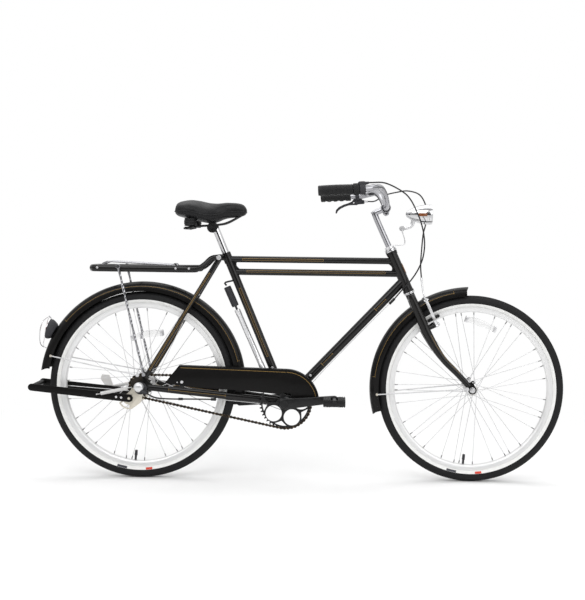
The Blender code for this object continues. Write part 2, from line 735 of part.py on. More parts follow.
def seatstay(name, side, bridge_shortfall):
    """An upper rear tube, bowed outwards round the wheel, with the bridge that reaches across."""
    run = (place(*SEATSTAY_TOP) - place(*REAR_HUB)).normalized()
    length = (place(*SEATSTAY_TOP) - place(*REAR_HUB)).length
    path = []
    for distance in (length, 0.4600, 0.4020, 0.3350, 0.2060, 0.0900, 0.0400):
        spot = along(place(*REAR_HUB), run, distance)
        path.append(spot + Vector((0, side * seatstay_side(distance), 0)))
    body = bent(name, smooth_path(path, 0.055), SEATSTAY_RADIUS, PAINT, resolution=2)
    inner = side * (SEAT_TUBE_RADIUS + GAP)
    outer = side * (SEAT_TUBE_RADIUS + 2 * SEATSTAY_RADIUS)
    eye = rod(
        f"{name}_eye",
        place(*SEATSTAY_TOP, inner),
        place(*SEATSTAY_TOP, outer),
        SEATSTAY_EYE_RADIUS,
        None,
        sides=14,
    )
    join(body, eye)
    if bridge_shortfall:
        spot = along(place(*REAR_HUB), run, BRIDGE_REACH)
        start_y = side * seatstay_side(BRIDGE_REACH)
        end_y = -side * (seatstay_side(BRIDGE_REACH) - SEATSTAY_RADIUS - GAP - bridge_shortfall)
        start, end = spot.copy(), spot.copy()
        start.y, end.y = start_y, end_y
        join(body, rod("bridge", start, end, BRIDGE_RADIUS, None, sides=10))
    near = side * (DROPOUT_PLATE_Y - GAP)
    slab = [(-0.020, 0.300), (0.060, 0.300), (0.060, 0.400), (-0.020, 0.400)]
    face_y = near + 0.02 if side > 0 else near
    return cut(body, plate(f"{name}_face", [slab], 0.02, side_frame(face_y), None))


def fork_blade(name, side):
    """A tapered blade that sweeps forward to the axle."""
    crown = along(HEAD_FOOT, UP_HEAD, -CROWN_DROP)
    knots = [
        (crown.x - REAR_HUB_X, crown.z, CROWN_Y),
        (0.9700, 0.5780, 0.0435),
        (1.0000, 0.5120, 0.0450),
        (1.0480, 0.4370, 0.0480),
        (1.1050, 0.3790, 0.0515),
        (FRONT_HUB[0] - 0.012, FRONT_HUB[1] + 0.013, FORK_TIP_Y),
    ]
    path = smooth_path([place(x, z, side * y) for x, z, y in knots], 0.070)
    count = len(path) - 1
    taper = BLADE_TOP_RADIUS - BLADE_TIP_RADIUS
    radii = [BLADE_TOP_RADIUS - taper * max(0, i / count - 0.3) / 0.7 for i in range(count + 1)]
    return bent(name, path, radii, None, resolution=2)


def fork_tip(name, side):
    """The plate at the end of a blade that the front axle is bolted to."""
    outline = [
        (FRONT_HUB[0] - 0.020, FRONT_HUB[1] + 0.022),
        (FRONT_HUB[0] - 0.010, FRONT_HUB[1] - 0.008),
        (FRONT_HUB[0] + 0.002, FRONT_HUB[1] - 0.013),
        (FRONT_HUB[0] + 0.013, FRONT_HUB[1] - 0.004),
        (FRONT_HUB[0] + 0.010, FRONT_HUB[1] + 0.009),
        (FRONT_HUB[0] - 0.006, FRONT_HUB[1] + 0.020),
    ]
    inner = FRONT_LOCKNUT_Y + GAP
    y = inner + DROPOUT_THICKNESS if side > 0 else -inner
    return plate(name, [outline], DROPOUT_THICKNESS, side_frame(y), None)


def brake_boss(name, side):
    """The post on a blade that a brake arm turns on."""
    pivot = place(*BRAKE_PIVOT, side * BRAKE_PIVOT_Y)
    half = BRAKE_ARM_THICKNESS / 2
    shoulder = along(pivot, BRAKE_AXIS, -half - GAP)
    root = along(pivot, BRAKE_AXIS, -BOSS_REACH)
    base = rod(name, root, shoulder, BOSS_RADIUS, None, sides=8)
    tip = along(pivot, BRAKE_AXIS, half)
    stud_root = along(shoulder, BRAKE_AXIS, -0.005)
    return base, rod(f"{name}_stud", stud_root, tip, BRAKE_STUD_RADIUS, None, sides=10)


def fork():
    """Steerer, crown, blades, tips and brake bosses in one brazed piece."""
    crown = along(HEAD_FOOT, UP_HEAD, -CROWN_DROP)
    top = along(HEAD_PEAK, UP_HEAD, UPPER_STACK * 0.5)
    body = rod("fork", crown, top, STEERER_RADIUS, PAINT, sides=14)
    half = Vector((0, CROWN_Y, 0))
    join(body, rod("crown_guide", crown - half, crown + half, BLADE_TOP_RADIUS + 0.0008, None, sides=16))
    for tag, side in (("right", -1), ("left", 1)):
        join(body, fork_blade(f"{tag}_blade", side), fork_tip(f"{tag}_tip", side))
        join(body, *brake_boss(f"{tag}_boss", side))
    bore_foot = along(HEAD_PEAK, UP_HEAD, -STEM_INSERT - 0.01)
    drill(body, "bore", bore_foot, along(top, UP_HEAD, TOOL_REACH), STEM_RADIUS + GAP, 20)
    reach = FRONT_LOCKNUT_Y + 0.03
    return drill(body, "axle", place(*FRONT_HUB, -reach), place(*FRONT_HUB, reach), AXLE_RADIUS + GAP)


def stem():
    """The quill stem: a tube up the steering axis, a forward neck and the bar clamp."""
    foot = along(HEAD_PEAK, UP_HEAD, -STEM_INSERT)
    knee = place(head_x(STEM_TOP_Z), STEM_TOP_Z)
    clamp = place(*BAR_CLAMP)
    path = [foot, along(knee, UP_HEAD, -0.012), knee + Vector((0.008, 0, 0.006)), clamp]
    body = bent("stem", path, STEM_RADIUS - GAP, CHROME, resolution=3)
    half = Vector((0, BAR_CLAMP_HALF_WIDTH, 0))
    join(body, rod("clamp_guide", clamp - half, clamp + half, BAR_CLAMP_RADIUS, None, sides=16))
    ear_top = clamp + Vector((0.004, 0, -0.012))
    join(body, rod("clamp_ear", ear_top, ear_top + Vector((0.003, 0, -0.020)), 0.0075, None, sides=10))
    return drill(body, "bore", clamp - half * 1.5, clamp + half * 1.5, BAR_RADIUS + GAP, 16)


def grip_axis(side):
    """Start of a grip's straight run and the direction towards its end."""
    start = place(GRIP_START[0], GRIP_START[1], side * GRIP_START[2])
    end = place(GRIP_END[0], GRIP_END[1], side * GRIP_END[2])
    return start, (end - start).normalized()


GRIP_RUN = (Vector(GRIP_END) - Vector(GRIP_START)).length


def bar_path():
    """The handlebar's centre line from the right end to the left end."""
    half = [
        (BAR_CLAMP[0], BAR_CLAMP[1], 0.0280),
        (0.8470, 0.9640, 0.0600),
        (0.8420, 0.9840, 0.1050),
        (0.8320, 1.0060, 0.1500),
        (0.8180, 1.0190, 0.1950),
        (0.7980, 1.0175, 0.2380),
    ]
    right = smooth_path([place(x, z, -y) for x, z, y in half] + [grip_axis(-1)[0]], 0.040)
    start, run = grip_axis(-1)
    right.append(start + run * (GRIP_RUN - 0.006))
    left = [Vector((p.x, -p.y, p.z)) for p in right]
    return right[::-1] + left


def handlebar():
    """The raised and swept-back bar."""
    return bent("handlebar", bar_path(), BAR_RADIUS, CHROME, resolution=3)


def sleeve(name, side, start_at, end_at, radius, finish):
    """A sleeve round the bar's straight end, between two distances along it."""
    start, run = grip_axis(side)
    near, far = start + run * start_at, start + run * end_at
    return pipe(name, near, far, radius, BAR_RADIUS + GAP, finish, GRIP_SIDES)


def grip(name, side):
    """A rubber grip, closed at its outer end."""
    start, run = grip_axis(side)
    first = SHIFTER_LENGTH + TWIST_LENGTH + 2 * GAP
    length = GRIP_RUN + 0.004 - first
    profile = [
        (0, 0),
        (GRIP_RADIUS * 0.94, 0),
        (GRIP_RADIUS, length * 0.1),
        (GRIP_RADIUS * 1.04, length * 0.45),
        (GRIP_RADIUS, length * 0.9),
        (GRIP_RADIUS * 0.8, length),
        (0, length),
    ]
    body = turned(name, profile, axis_frame(start + run * first, run), RUBBER, GRIP_SIDES)
    return drill(body, "bore", start, start + run * (GRIP_RUN - 0.005), BAR_RADIUS + GAP, 16)


def shifter():
    """The gear shifter's fixed body with its cable outlet, and the ring that turns."""
    body = sleeve("gear_shifter_body", -1, 0.002, SHIFTER_LENGTH, SHIFTER_RADIUS, PLASTIC)
    start, run = grip_axis(-1)
    root = start + run * 0.014 + Vector((0, 0, SHIFTER_RADIUS - 0.004))
    tip = start + Vector((0.010, 0.003, SHIFTER_RADIUS + 0.0005))
    join(body, rod("outlet_guide", root, tip, 0.0075, None, end_radius=0.0050, sides=12))
    drill(body, "bar", start - run * 0.01, start + run * 0.04, BAR_RADIUS + GAP, 16)
    first = SHIFTER_LENGTH + GAP
    ring = sleeve("gear_twist_ring", -1, first, first + TWIST_LENGTH - GAP, TWIST_RADIUS, RUBBER)
    carry("gear_twist_axis", start + run * first, ring)
    return tip


def lever_axes():
    """Pivot place, rearward direction, outward-down direction and hinge axis of the brake lever."""
    start, run = grip_axis(1)
    down = Vector((0, math.sin(LEVER_TILT), -math.cos(LEVER_TILT)))
    down = (down - run * down.dot(run)).normalized()
    pivot = start + run * LEVER_PIVOT_AT + down * LEVER_PIVOT_DROP
    return pivot, run, down


def lever_frame(origin, offset):
    """A plate frame with x along the bar towards its end and y towards the bar."""
    _, run, down = lever_axes()
    side = run.cross(-down)
    rotation = Matrix((run, -down, side)).transposed()
    return Matrix.Translation(origin - side * offset) @ rotation.to_4x4()


def lever_bracket():
    """The brake lever's mounting: a band round the bar, two cheeks and the cable adjuster."""
    pivot, run, down = lever_axes()
    body = sleeve(
        "lever_bracket",
        1,
        LEVER_CLAMP_AT,
        LEVER_CLAMP_AT + LEVER_CLAMP_WIDTH,
        LEVER_CLAMP_RADIUS,
        PLASTIC,
    )
    outline = [
        (-0.040, -0.007),
        (-0.006, -0.008),
        (0.006, -0.005),
        (0.007, 0.004),
        (-0.002, 0.008),
        (-0.008, 0.0105),
        (-0.020, 0.0105),
        (-0.028, 0.006),
        (-0.040, 0.004),
    ]
    half = BRACKET_FORK_HALF + BRACKET_CHEEK
    join(body, plate("bracket_guide", [outline], 2 * half, lever_frame(pivot, half), None))
    slot = [(-0.030, -0.02), (0.02, -0.02), (0.02, 0.0085), (-0.004, 0.0085), (-0.030, 0.0035)]
    cut(
        body,
        plate(
            "bracket_slot",
            [slot],
            2 * BRACKET_FORK_HALF,
            lever_frame(pivot, BRACKET_FORK_HALF),
            None,
        ),
    )
    nose = pivot - run * 0.038
    join(body, rod("adjuster_guide", nose, nose - run * 0.014, 0.0045, None, sides=10))
    start, _ = grip_axis(1)
    drill(body, "bar", start - run * 0.01, start + run * 0.06, BAR_RADIUS + GAP, 16)
    return nose - run * 0.014


def brake_lever():
    """The lever blade, curved towards the rider's fingers."""
    pivot, _, _ = lever_axes()
    outline = [
        (-0.024, -0.0060),
        (-0.010, -0.0120),
        (0.004, -0.0110),
        (0.020, -0.0115),
        (0.036, -0.0160),
        (0.052, -0.0235),
        (0.063, -0.0320),
        (0.068, -0.0420),
        (0.073, -0.0405),
        (0.070, -0.0280),
        (0.058, -0.0165),
        (0.040, -0.0085),
        (0.022, -0.0035),
        (0.006, 0.0030),
        (-0.004, 0.0035),
        (-0.024, 0.0005),
    ]
    half = LEVER_THICKNESS / 2
    body = plate("brake_lever", [outline], LEVER_THICKNESS, lever_frame(pivot, half), PLASTIC)
    carry("brake_lever_axis", pivot, body)
    return body


def brake_arm_side(rise):
    """How far a brake arm's middle line is from the centre plane at a height above its pivot."""
    bow = 0.0100
    share = rise / BRAKE_ARM_LENGTH
    return BRAKE_PIVOT_Y + (BRAKE_ARM_TOP_Y - BRAKE_PIVOT_Y) * share + bow * math.sin(math.pi * share)


def brake_arm(name, side):
    """A rim brake arm with its pad, on the fork's boss."""
    half_width, half = BRAKE_ARM_WIDTH / 2, BRAKE_ARM_THICKNESS / 2
    rises = [BRAKE_ARM_LENGTH * i / 5 for i in range(6)]
    outer = [(side * (brake_arm_side(rise) + half_width), rise) for rise in rises]
    inner = [(side * (brake_arm_side(rise) - half_width), rise) for rise in rises]
    foot = [(side * (BRAKE_PIVOT_Y - 0.004), -0.009), (side * (BRAKE_PIVOT_Y + 0.004), -0.009)]
    side_axis = Vector((0, 1, 0))
    normal = side_axis.cross(UP_HEAD)
    rotation = Matrix((side_axis, UP_HEAD, normal)).transposed()
    pivot_line = place(*BRAKE_PIVOT)
    frame = Matrix.Translation(pivot_line - normal * half) @ rotation.to_4x4()
    body = plate(name, [foot + outer + inner[::-1]], BRAKE_ARM_THICKNESS, frame, ALLOY)
    face_y = RIM_HALF_WIDTH + PAD_CLEARANCE
    middle = along(pivot_line, UP_HEAD, BRAKE_PAD_RISE)
    post_end = middle + Vector((0, side * (face_y + PAD_DEPTH * 0.5), 0))
    post_start = middle + Vector((0, side * (brake_arm_side(BRAKE_PAD_RISE) + 0.011), 0))
    join(body, rod(f"{name}_post", post_start, post_end, 0.0034, None, sides=8))
    hub_line = middle - place(*FRONT_HUB)
    rim_run = Vector((hub_line.z, 0, -hub_line.x)).normalized()
    shoe_y = side * (face_y + PAD_DEPTH / 2)
    shoe_place = shoe_frame(middle + Vector((0, shoe_y, 0)), rim_run, PAD_DEPTH)
    join(body, plate(f"{name}_shoe", [shoe_outline()], PAD_DEPTH, shoe_place, None))
    pivot = place(*BRAKE_PIVOT, side * BRAKE_PIVOT_Y)
    ends = [along(pivot, BRAKE_AXIS, reach) for reach in (-TOOL_REACH, TOOL_REACH)]
    drill(body, "stud", *ends, BRAKE_STUD_RADIUS + BEARING_GAP, 12)
    carry(f"{name}_axis", pivot, body)
    return body


def shoe_outline():
    """The brake pad seen from the side: a slim block with round ends."""
    reach = PAD_HALF_LENGTH - PAD_RADIUS
    right = arc((reach, 0), PAD_RADIUS, -math.pi / 2, math.pi / 2, 5)
    left = arc((-reach, 0), PAD_RADIUS, math.pi / 2, 3 * math.pi / 2, 5)
    return right + left


def shoe_frame(centre, length_axis, thickness):
    """A plate frame whose x axis runs along the rim and z axis sideways."""
    z_axis = Vector((0, 1, 0))
    y_axis = z_axis.cross(length_axis)
    rotation = Matrix((length_axis, y_axis, z_axis)).transposed()
    return Matrix.Translation(centre - z_axis * thickness / 2) @ rotation.to_4x4()


def across(point, y=0.0):
    """A frame at a side-view point whose z axis is the world's +Y."""
    return axis_frame(place(*point, y), (0, 1, 0))


def tyre(name, hub):
    """An open tyre carcass whose beads sit inside the rim's flanges."""
    bead = RIM_HALF_WIDTH - RIM_WALL - GAP
    foot = RIM_RADIUS - BEAD_HEIGHT
    height = TYRE_RADIUS - RIM_RADIUS
    outer = [
        (foot, bead),
        (RIM_RADIUS + 0.0005, bead),
        (RIM_RADIUS + height * 0.25, TYRE_HALF_WIDTH * 0.92),
        (RIM_RADIUS + height * 0.55, TYRE_HALF_WIDTH),
        (RIM_RADIUS + height * 0.86, TYRE_HALF_WIDTH * 0.66),
    ]
    inner = [
        (TYRE_RADIUS - TYRE_WALL * 1.6, 0.0),
        (RIM_RADIUS + height * 0.40, TYRE_HALF_WIDTH - TYRE_WALL),
        (foot, bead - TYRE_WALL),
    ]
    mirrored_outer = [(r, -y) for r, y in reversed(outer)]
    mirrored_inner = [(r, -y) for r, y in reversed(inner[1:])]
    profile = outer + [(TYRE_RADIUS, 0.0)] + mirrored_outer + mirrored_inner + inner
    return turned(name, profile, across(hub), RUBBER, WHEEL_STEPS, loop=True)


def rim(name, hub):
    """A box-section alloy rim with open flanges."""
    floor = RIM_RADIUS - BEAD_HEIGHT - 0.001
    inside = RIM_HALF_WIDTH - RIM_WALL
    half = [
        (RIM_RADIUS - RIM_DEPTH, 0.008),
        (RIM_RADIUS - RIM_DEPTH + 0.004, RIM_HALF_WIDTH - 0.001),
        (RIM_RADIUS, RIM_HALF_WIDTH),
        (RIM_RADIUS, inside),
        (floor, inside),
    ]
    profile = half + [(r, -y) for r, y in reversed(half)]
    return turned(name, profile, across(hub), ALLOY, WHEEL_STEPS, loop=True)


def hub_profile(flange_y, flange_radius, barrel_radius, end_y):
    """Half sections of a hub shell, mirrored, with its bearing bore."""
    bore = AXLE_RADIUS + BEARING_GAP
    thick = FLANGE_THICKNESS / 2
    end_radius = barrel_radius * 0.72
    half = [
        (barrel_radius, flange_y - thick - 0.004),
        (flange_radius, flange_y - thick),
        (flange_radius, flange_y + thick),
        (end_radius, flange_y + thick + 0.002),
        (end_radius, end_y),
        (bore, end_y),
    ]
    return [(r, -y) for r, y in reversed(half)] + half


def spokes(name, hub_place, flange_y, flange_radius):
    """Every spoke of a wheel as one guide: leading and trailing ones from both flanges."""
    bm = bmesh.new()
    hole_radius = flange_radius - SPOKE_HOLE_INSET
    end_radius = (RIM_RADIUS - RIM_DEPTH) * math.cos(math.pi / WHEEL_STEPS) - GAP
    for side in (-1, 1):
        for index in range(SPOKES_PER_FLANGE):
            lead = 1 if index % 2 else -1
            angle = math.tau * (index + (0.25 if side > 0 else 0.75)) / SPOKES_PER_FLANGE
            rim_angle = angle + lead * (SPOKE_LEAD + math.tau / SPOKES_PER_FLANGE / 4)
            start = Vector((hole_radius * math.cos(angle), hole_radius * math.sin(angle), 0))
            end = Vector((end_radius * math.cos(rim_angle), end_radius * math.sin(rim_angle), 0))
            start.z = side * flange_y + lead * SPOKE_WEAVE / 2
            end.z = side * SPOKE_RIM_OFFSET + lead * SPOKE_WEAVE / 2
            length = (end - start).length
            middle = axis_frame(start, end - start) @ Matrix.Translation((0, 0, length / 2))
            bmesh.ops.create_cone(
                bm,
                cap_ends=True,
                segments=3,
                radius1=SPOKE_RADIUS,
                radius2=SPOKE_RADIUS,
                depth=length,
                matrix=middle,
            )
    return add_mesh(name, bm, across(hub_place), None)


def hub(name, where, flange_y, flange_radius, barrel_radius, end_y):
    """A hub shell with its spokes."""
    profile = hub_profile(flange_y, flange_radius, barrel_radius, end_y)
    body = turned(name, profile, across(where), STEEL, 12, loop=True)
    return join(body, spokes(f"{name}_spokes", where, flange_y, flange_radius))


def wheels():
    """Both wheels: tyre, rim and spoked hub."""
    front = [tyre("front_tyre", FRONT_HUB), rim("front_rim", FRONT_HUB)]
    front.append(
        hub(
            "front_hub",
            FRONT_HUB,
            FRONT_FLANGE_Y,
            FRONT_FLANGE_RADIUS,
            FRONT_BARREL_RADIUS,
            FRONT_FLANGE_Y + 0.006,
        )
    )
    carry("front_wheel_axis", place(*FRONT_HUB), *front)
    rear = [tyre("rear_tyre", REAR_HUB), rim("rear_rim", REAR_HUB)]
    rear.append(
        hub(
            "rear_hub",
            REAR_HUB,
            REAR_FLANGE_Y,
            REAR_FLANGE_RADIUS,
            REAR_BARREL_RADIUS,
            REAR_HUB_RIGHT_END,
        )
    )
    carry("rear_wheel_axis", place(*REAR_HUB), *rear)


def axle_profile(cone_y, locknut_y, plate_thickness, tip):
    """Half an axle: the thin middle, a cone, the gap for the dropout, the nut and the tip."""
    outer = locknut_y + plate_thickness + 2 * GAP
    return [
        (AXLE_RADIUS, cone_y),
        (LOCKNUT_RADIUS, cone_y),
        (LOCKNUT_RADIUS, locknut_y),
        (AXLE_RADIUS, locknut_y),
        (AXLE_RADIUS, outer),
        (AXLE_NUT_RADIUS, outer),
        (AXLE_NUT_RADIUS, outer + AXLE_NUT_LENGTH),
        (AXLE_RADIUS, outer + AXLE_NUT_LENGTH),
        (AXLE_RADIUS, outer + AXLE_NUT_LENGTH + tip),
        (0, outer + AXLE_NUT_LENGTH + tip),
    ]


def axle(name, where, cone_y, locknut_y, plate_thickness, tip):
    """A fixed axle with its cones and nuts."""
    half = axle_profile(cone_y, locknut_y, plate_thickness, tip)
    profile = [(r, -y) for r, y in reversed(half)] + half
    return turned(name, profile, across(where), CHROME, 8)


def axles():
    """The front and the rear axle."""
    axle("front_axle", FRONT_HUB, FRONT_FLANGE_Y + 0.009, FRONT_LOCKNUT_Y, DROPOUT_THICKNESS, 0.004)
    stack = DROPOUT_THICKNESS + BRACKET_PLATE + GAP
    axle("rear_axle", REAR_HUB, DRIVER_END_Y + GAP, REAR_LOCKNUT_Y, stack, 0.003)


def gear_outline(teeth, rise, fall):
    """A toothed ring's outline round the origin."""
    pitch_radius = CHAIN_PITCH / (2 * math.sin(math.pi / teeth))
    outline = []
    for index in range(teeth):
        for part, radius in ((0.0, -fall), (0.5, rise)):
            angle = math.tau * (index + part) / teeth
            outline.append(
                ((pitch_radius + radius) * math.cos(angle), (pitch_radius + radius) * math.sin(angle))
            )
    return outline


def ring_window(centre_angle):
    """The small three-sided opening between two round holes and the toothed ring."""
    spread = math.radians(15)
    outer = arc((0, 0), RING_WINDOW_OUTER, centre_angle - spread, centre_angle + spread, 3)
    return outer + [
        (RING_WINDOW_INNER * math.cos(centre_angle), RING_WINDOW_INNER * math.sin(centre_angle))
    ]


def chainring():
    """The flat chainring with five round holes."""
    loops = [gear_outline(CHAINRING_TEETH, TOOTH_RISE, TOOTH_FALL)]
    for index in range(5):
        angle = math.tau * index / 5 + RING_FIRST_HOLE
        centre = (RING_HOLE_CENTRE * math.cos(angle), RING_HOLE_CENTRE * math.sin(angle))
        loops.append(disc_outline(centre, RING_HOLE_RADIUS, 14))
        loops.append(ring_window(angle + math.pi / 5))
    frame = side_frame(CHAINLINE_Y + TOOTH_THICKNESS / 2)
    frame = frame @ Matrix.Translation((*BOTTOM_BRACKET, 0))
    return plate("chainring_guide", loops, TOOTH_THICKNESS, frame, None)


def crank_outline(angle):
    """A crank arm seen from the side, from its boss to the pedal's eye."""
    eye = (
        BOTTOM_BRACKET[0] + CRANK_LENGTH * math.cos(angle),
        BOTTOM_BRACKET[1] + CRANK_LENGTH * math.sin(angle),
    )
    boss = arc(BOTTOM_BRACKET, CRANK_BOSS_RADIUS, angle + math.pi / 2, angle + 3 * math.pi / 2, 8)
    return boss + arc(eye, CRANK_END_RADIUS, angle - math.pi / 2, angle + math.pi / 2, 7)


def pedal_axle_place(side, y):
    """A place on a pedal's axle."""
    angle = CRANK_ANGLE if side < 0 else CRANK_ANGLE + math.pi
    x = BOTTOM_BRACKET[0] + CRANK_LENGTH * math.cos(angle)
    z = BOTTOM_BRACKET[1] + CRANK_LENGTH * math.sin(angle)
    return place(x, z, side * y)


def crank(name, side, finish):
    """A crank arm with the pedal's axle screwed into its eye."""
    angle = CRANK_ANGLE if side < 0 else CRANK_ANGLE + math.pi
    y = CRANK_INNER_Y + CRANK_THICKNESS if side > 0 else -CRANK_INNER_Y
    body = plate(name, [crank_outline(angle)], CRANK_THICKNESS, side_frame(y), finish)
    root = pedal_axle_place(side, CRANK_INNER_Y + 0.002)
    tip = pedal_axle_place(side, PEDAL_INNER_Y + 2 * PEDAL_HALF_WIDTH - 0.008)
    return join(body, rod(f"{name}_pedal_axle", root, tip, PEDAL_AXLE_RADIUS, None, sides=12))


def cranks():
    """The chainring crank, and the other crank with the bottom bracket's axle."""
    drive = crank("drive_crank", -1, PAINT)
    boss_start = place(*BOTTOM_BRACKET, -CRANK_INNER_Y - 0.003)
    boss_end = place(*BOTTOM_BRACKET, CHAINLINE_Y + TOOTH_THICKNESS / 2)
    join(drive, rod("drive_boss", boss_start, boss_end, 0.0245, None, sides=16))
    join(drive, chainring())
    bore_end = place(*BOTTOM_BRACKET, -SHELL_HALF_WIDTH)
    bore_start = place(*BOTTOM_BRACKET, -CRANK_INNER_Y - CRANK_THICKNESS * 0.6)
    drill(drive, "socket", bore_start, bore_end, SPINDLE_RADIUS + GAP, 16)
    plain = crank("left_crank", 1, PAINT)
    spindle_tip = place(*BOTTOM_BRACKET, -CRANK_INNER_Y - CRANK_THICKNESS * 0.5)
    spindle_root = place(*BOTTOM_BRACKET, CRANK_INNER_Y + 0.004)
    join(plain, rod("spindle_guide", spindle_root, spindle_tip, SPINDLE_RADIUS, None, sides=14))
    carry("crank_axis", SHELL_CENTRE, drive, plain)


def pedal(name, side):
    """A block pedal that turns on its axle."""
    centre = pedal_axle_place(side, PEDAL_INNER_Y + PEDAL_HALF_WIDTH)
    half_length, half_height = PEDAL_LENGTH / 2, PEDAL_HEIGHT / 2
    outline = []
    for a, b in ((1, 1), (-1, 1), (-1, -1), (1, -1)):
        outline += [
            (a * half_length, b * (half_height - 0.006)),
            (a * (half_length - 0.006), b * half_height),
        ][:: a * b]
    frame = side_frame(centre.y + PEDAL_HALF_WIDTH)
    x, z = centre.x - REAR_HUB_X, centre.z
    frame = frame @ Matrix.Translation((x, z, 0))
    body = plate(name, [outline], 2 * PEDAL_HALF_WIDTH, frame, PLASTIC)
    notch_x = half_length - 0.026
    for tag, level in (("top", 1), ("bottom", -1)):
        slab = [
            (-notch_x, level * 0.0080),
            (notch_x, level * 0.0080),
            (notch_x, level * 0.020),
            (-notch_x, level * 0.020),
        ]
        inset = PEDAL_HALF_WIDTH - 0.010
        slot_frame = side_frame(centre.y + inset) @ Matrix.Translation((x, z, 0))
        cut(body, plate(f"{name}_{tag}_slot", [slab], 2 * inset, slot_frame, None))
    inner = pedal_axle_place(side, PEDAL_INNER_Y - 0.004)
    outer = pedal_axle_place(side, PEDAL_INNER_Y + 2 * PEDAL_HALF_WIDTH - 0.006)
    drill(body, "axle", inner, outer, PEDAL_AXLE_RADIUS + BEARING_GAP, 12)
    carry(f"{name}_axis", centre, body)
    return body


def sprocket():
    """The rear sprocket on the hub's driver."""
    frame = side_frame(CHAINLINE_Y + TOOTH_THICKNESS / 2) @ Matrix.Translation((*REAR_HUB, 0))
    loops = [gear_outline(SPROCKET_TEETH, TOOTH_RISE, TOOTH_FALL)]
    body = plate("rear_sprocket", loops, TOOTH_THICKNESS, frame, STEEL)
    start = place(*REAR_HUB, -REAR_HUB_RIGHT_END - BEARING_GAP)
    end = place(*REAR_HUB, -DRIVER_END_Y)
    join(body, rod("driver_guide", start, end, DRIVER_RADIUS, None, sides=12))
    drill(body, "bore", place(*REAR_HUB, 0), place(*REAR_HUB, -0.08), AXLE_RADIUS + BEARING_GAP, 12)
    carry("sprocket_axis", place(*REAR_HUB, CHAINLINE_Y), body)


def chain_path():
    """Centres, radii and angles of the chain's turning points round both toothed wheels."""
    big = CHAIN_PITCH / (2 * math.sin(math.pi / CHAINRING_TEETH))
    small = CHAIN_PITCH / (2 * math.sin(math.pi / SPROCKET_TEETH))
    dx = BOTTOM_BRACKET[0] - REAR_HUB[0]
    dz = BOTTOM_BRACKET[1] - REAR_HUB[1]
    heading = math.atan2(dz, dx)
    wrap = math.pi - math.acos((big - small) / math.hypot(dx, dz))
    path = []
    for i in range(CHAINRING_WRAP_STEPS + 1):
        angle = heading - wrap + 2 * wrap * i / CHAINRING_WRAP_STEPS
        path.append((BOTTOM_BRACKET, big, angle))
    for i in range(SPROCKET_WRAP_STEPS + 1):
        angle = heading + wrap + 2 * (math.pi - wrap) * i / SPROCKET_WRAP_STEPS
        path.append((REAR_HUB, small, angle))
    return path


def chain():
    """The chain as one closed band with a groove that clears the teeth."""
    profile = [
        (-CHAIN_INNER, CHAIN_HALF_WIDTH),
        (CHAIN_OUTER, CHAIN_HALF_WIDTH),
        (CHAIN_OUTER, -CHAIN_HALF_WIDTH),
        (-CHAIN_INNER, -CHAIN_HALF_WIDTH),
        (-CHAIN_INNER, -CHAIN_GROOVE),
        (CHAIN_OUTER - CHAIN_ROOF, -CHAIN_GROOVE),
        (CHAIN_OUTER - CHAIN_ROOF, CHAIN_GROOVE),
        (-CHAIN_INNER, CHAIN_GROOVE),
    ]
    bm = bmesh.new()
    rings = []
    for centre, radius, angle in chain_path():
        ring = []
        for out, wide in profile:
            reach = radius + out
            spot = place(
                centre[0] + reach * math.cos(angle),
                centre[1] + reach * math.sin(angle),
                CHAINLINE_Y + wide,
            )
            ring.append(bm.verts.new(spot))
        rings.append(ring)
    for here, there in zip(rings, rings[1:] + rings[:1]):
        for i in range(len(profile)):
            j = (i + 1) % len(profile)
            bm.faces.new((here[i], here[j], there[j], there[i]))
    return add_mesh("chain", bm, Matrix(), CHAIN_STEEL)


def guard_outline(inset=0.0):
    """The chain guard's outline; an inset one stays below the top lip and runs past the rest."""
    rear, front = 0.0883, BOTTOM_BRACKET[0] + GUARD_ARC_RADIUS
    reach = GUARD_ARC_RADIUS - inset
    top = arc(BOTTOM_BRACKET, reach, math.radians(88), math.radians(11.5), 12)
    if inset:
        tail = [(rear - TOOL_REACH, 0.27), (rear - TOOL_REACH, 0.4002 - inset)]
        return tail + top + [(front - inset, 0.27)]
    cutout = arc(BOTTOM_BRACKET, GUARD_CUTOUT_RADIUS, math.radians(40), math.radians(122), 8)
    outline = [(rear, 0.3421), (0.1345, 0.4002)] + top + [(0.5560, 0.2972)] + cutout
    return outline + [(0.4790, 0.3052), (0.3600, 0.3165), (0.2450, 0.3225)]


def chain_guard():
    """A pressed chain guard: a side plate with a lip that covers the chain's upper run."""
    outer_y = -(GUARD_PLATE_Y + GUARD_WALL)
    frame = side_frame(outer_y + GUARD_DEPTH)
    body = plate("chain_guard", [guard_outline()], GUARD_DEPTH, frame, PAINT)
    hollow_frame = side_frame(outer_y + GUARD_DEPTH + TOOL_REACH)
    depth = GUARD_DEPTH + TOOL_REACH - GUARD_WALL
    hollow = plate("guard_hollow", [guard_outline(GUARD_WALL)], depth, hollow_frame, None)
    return cut(body, hollow)


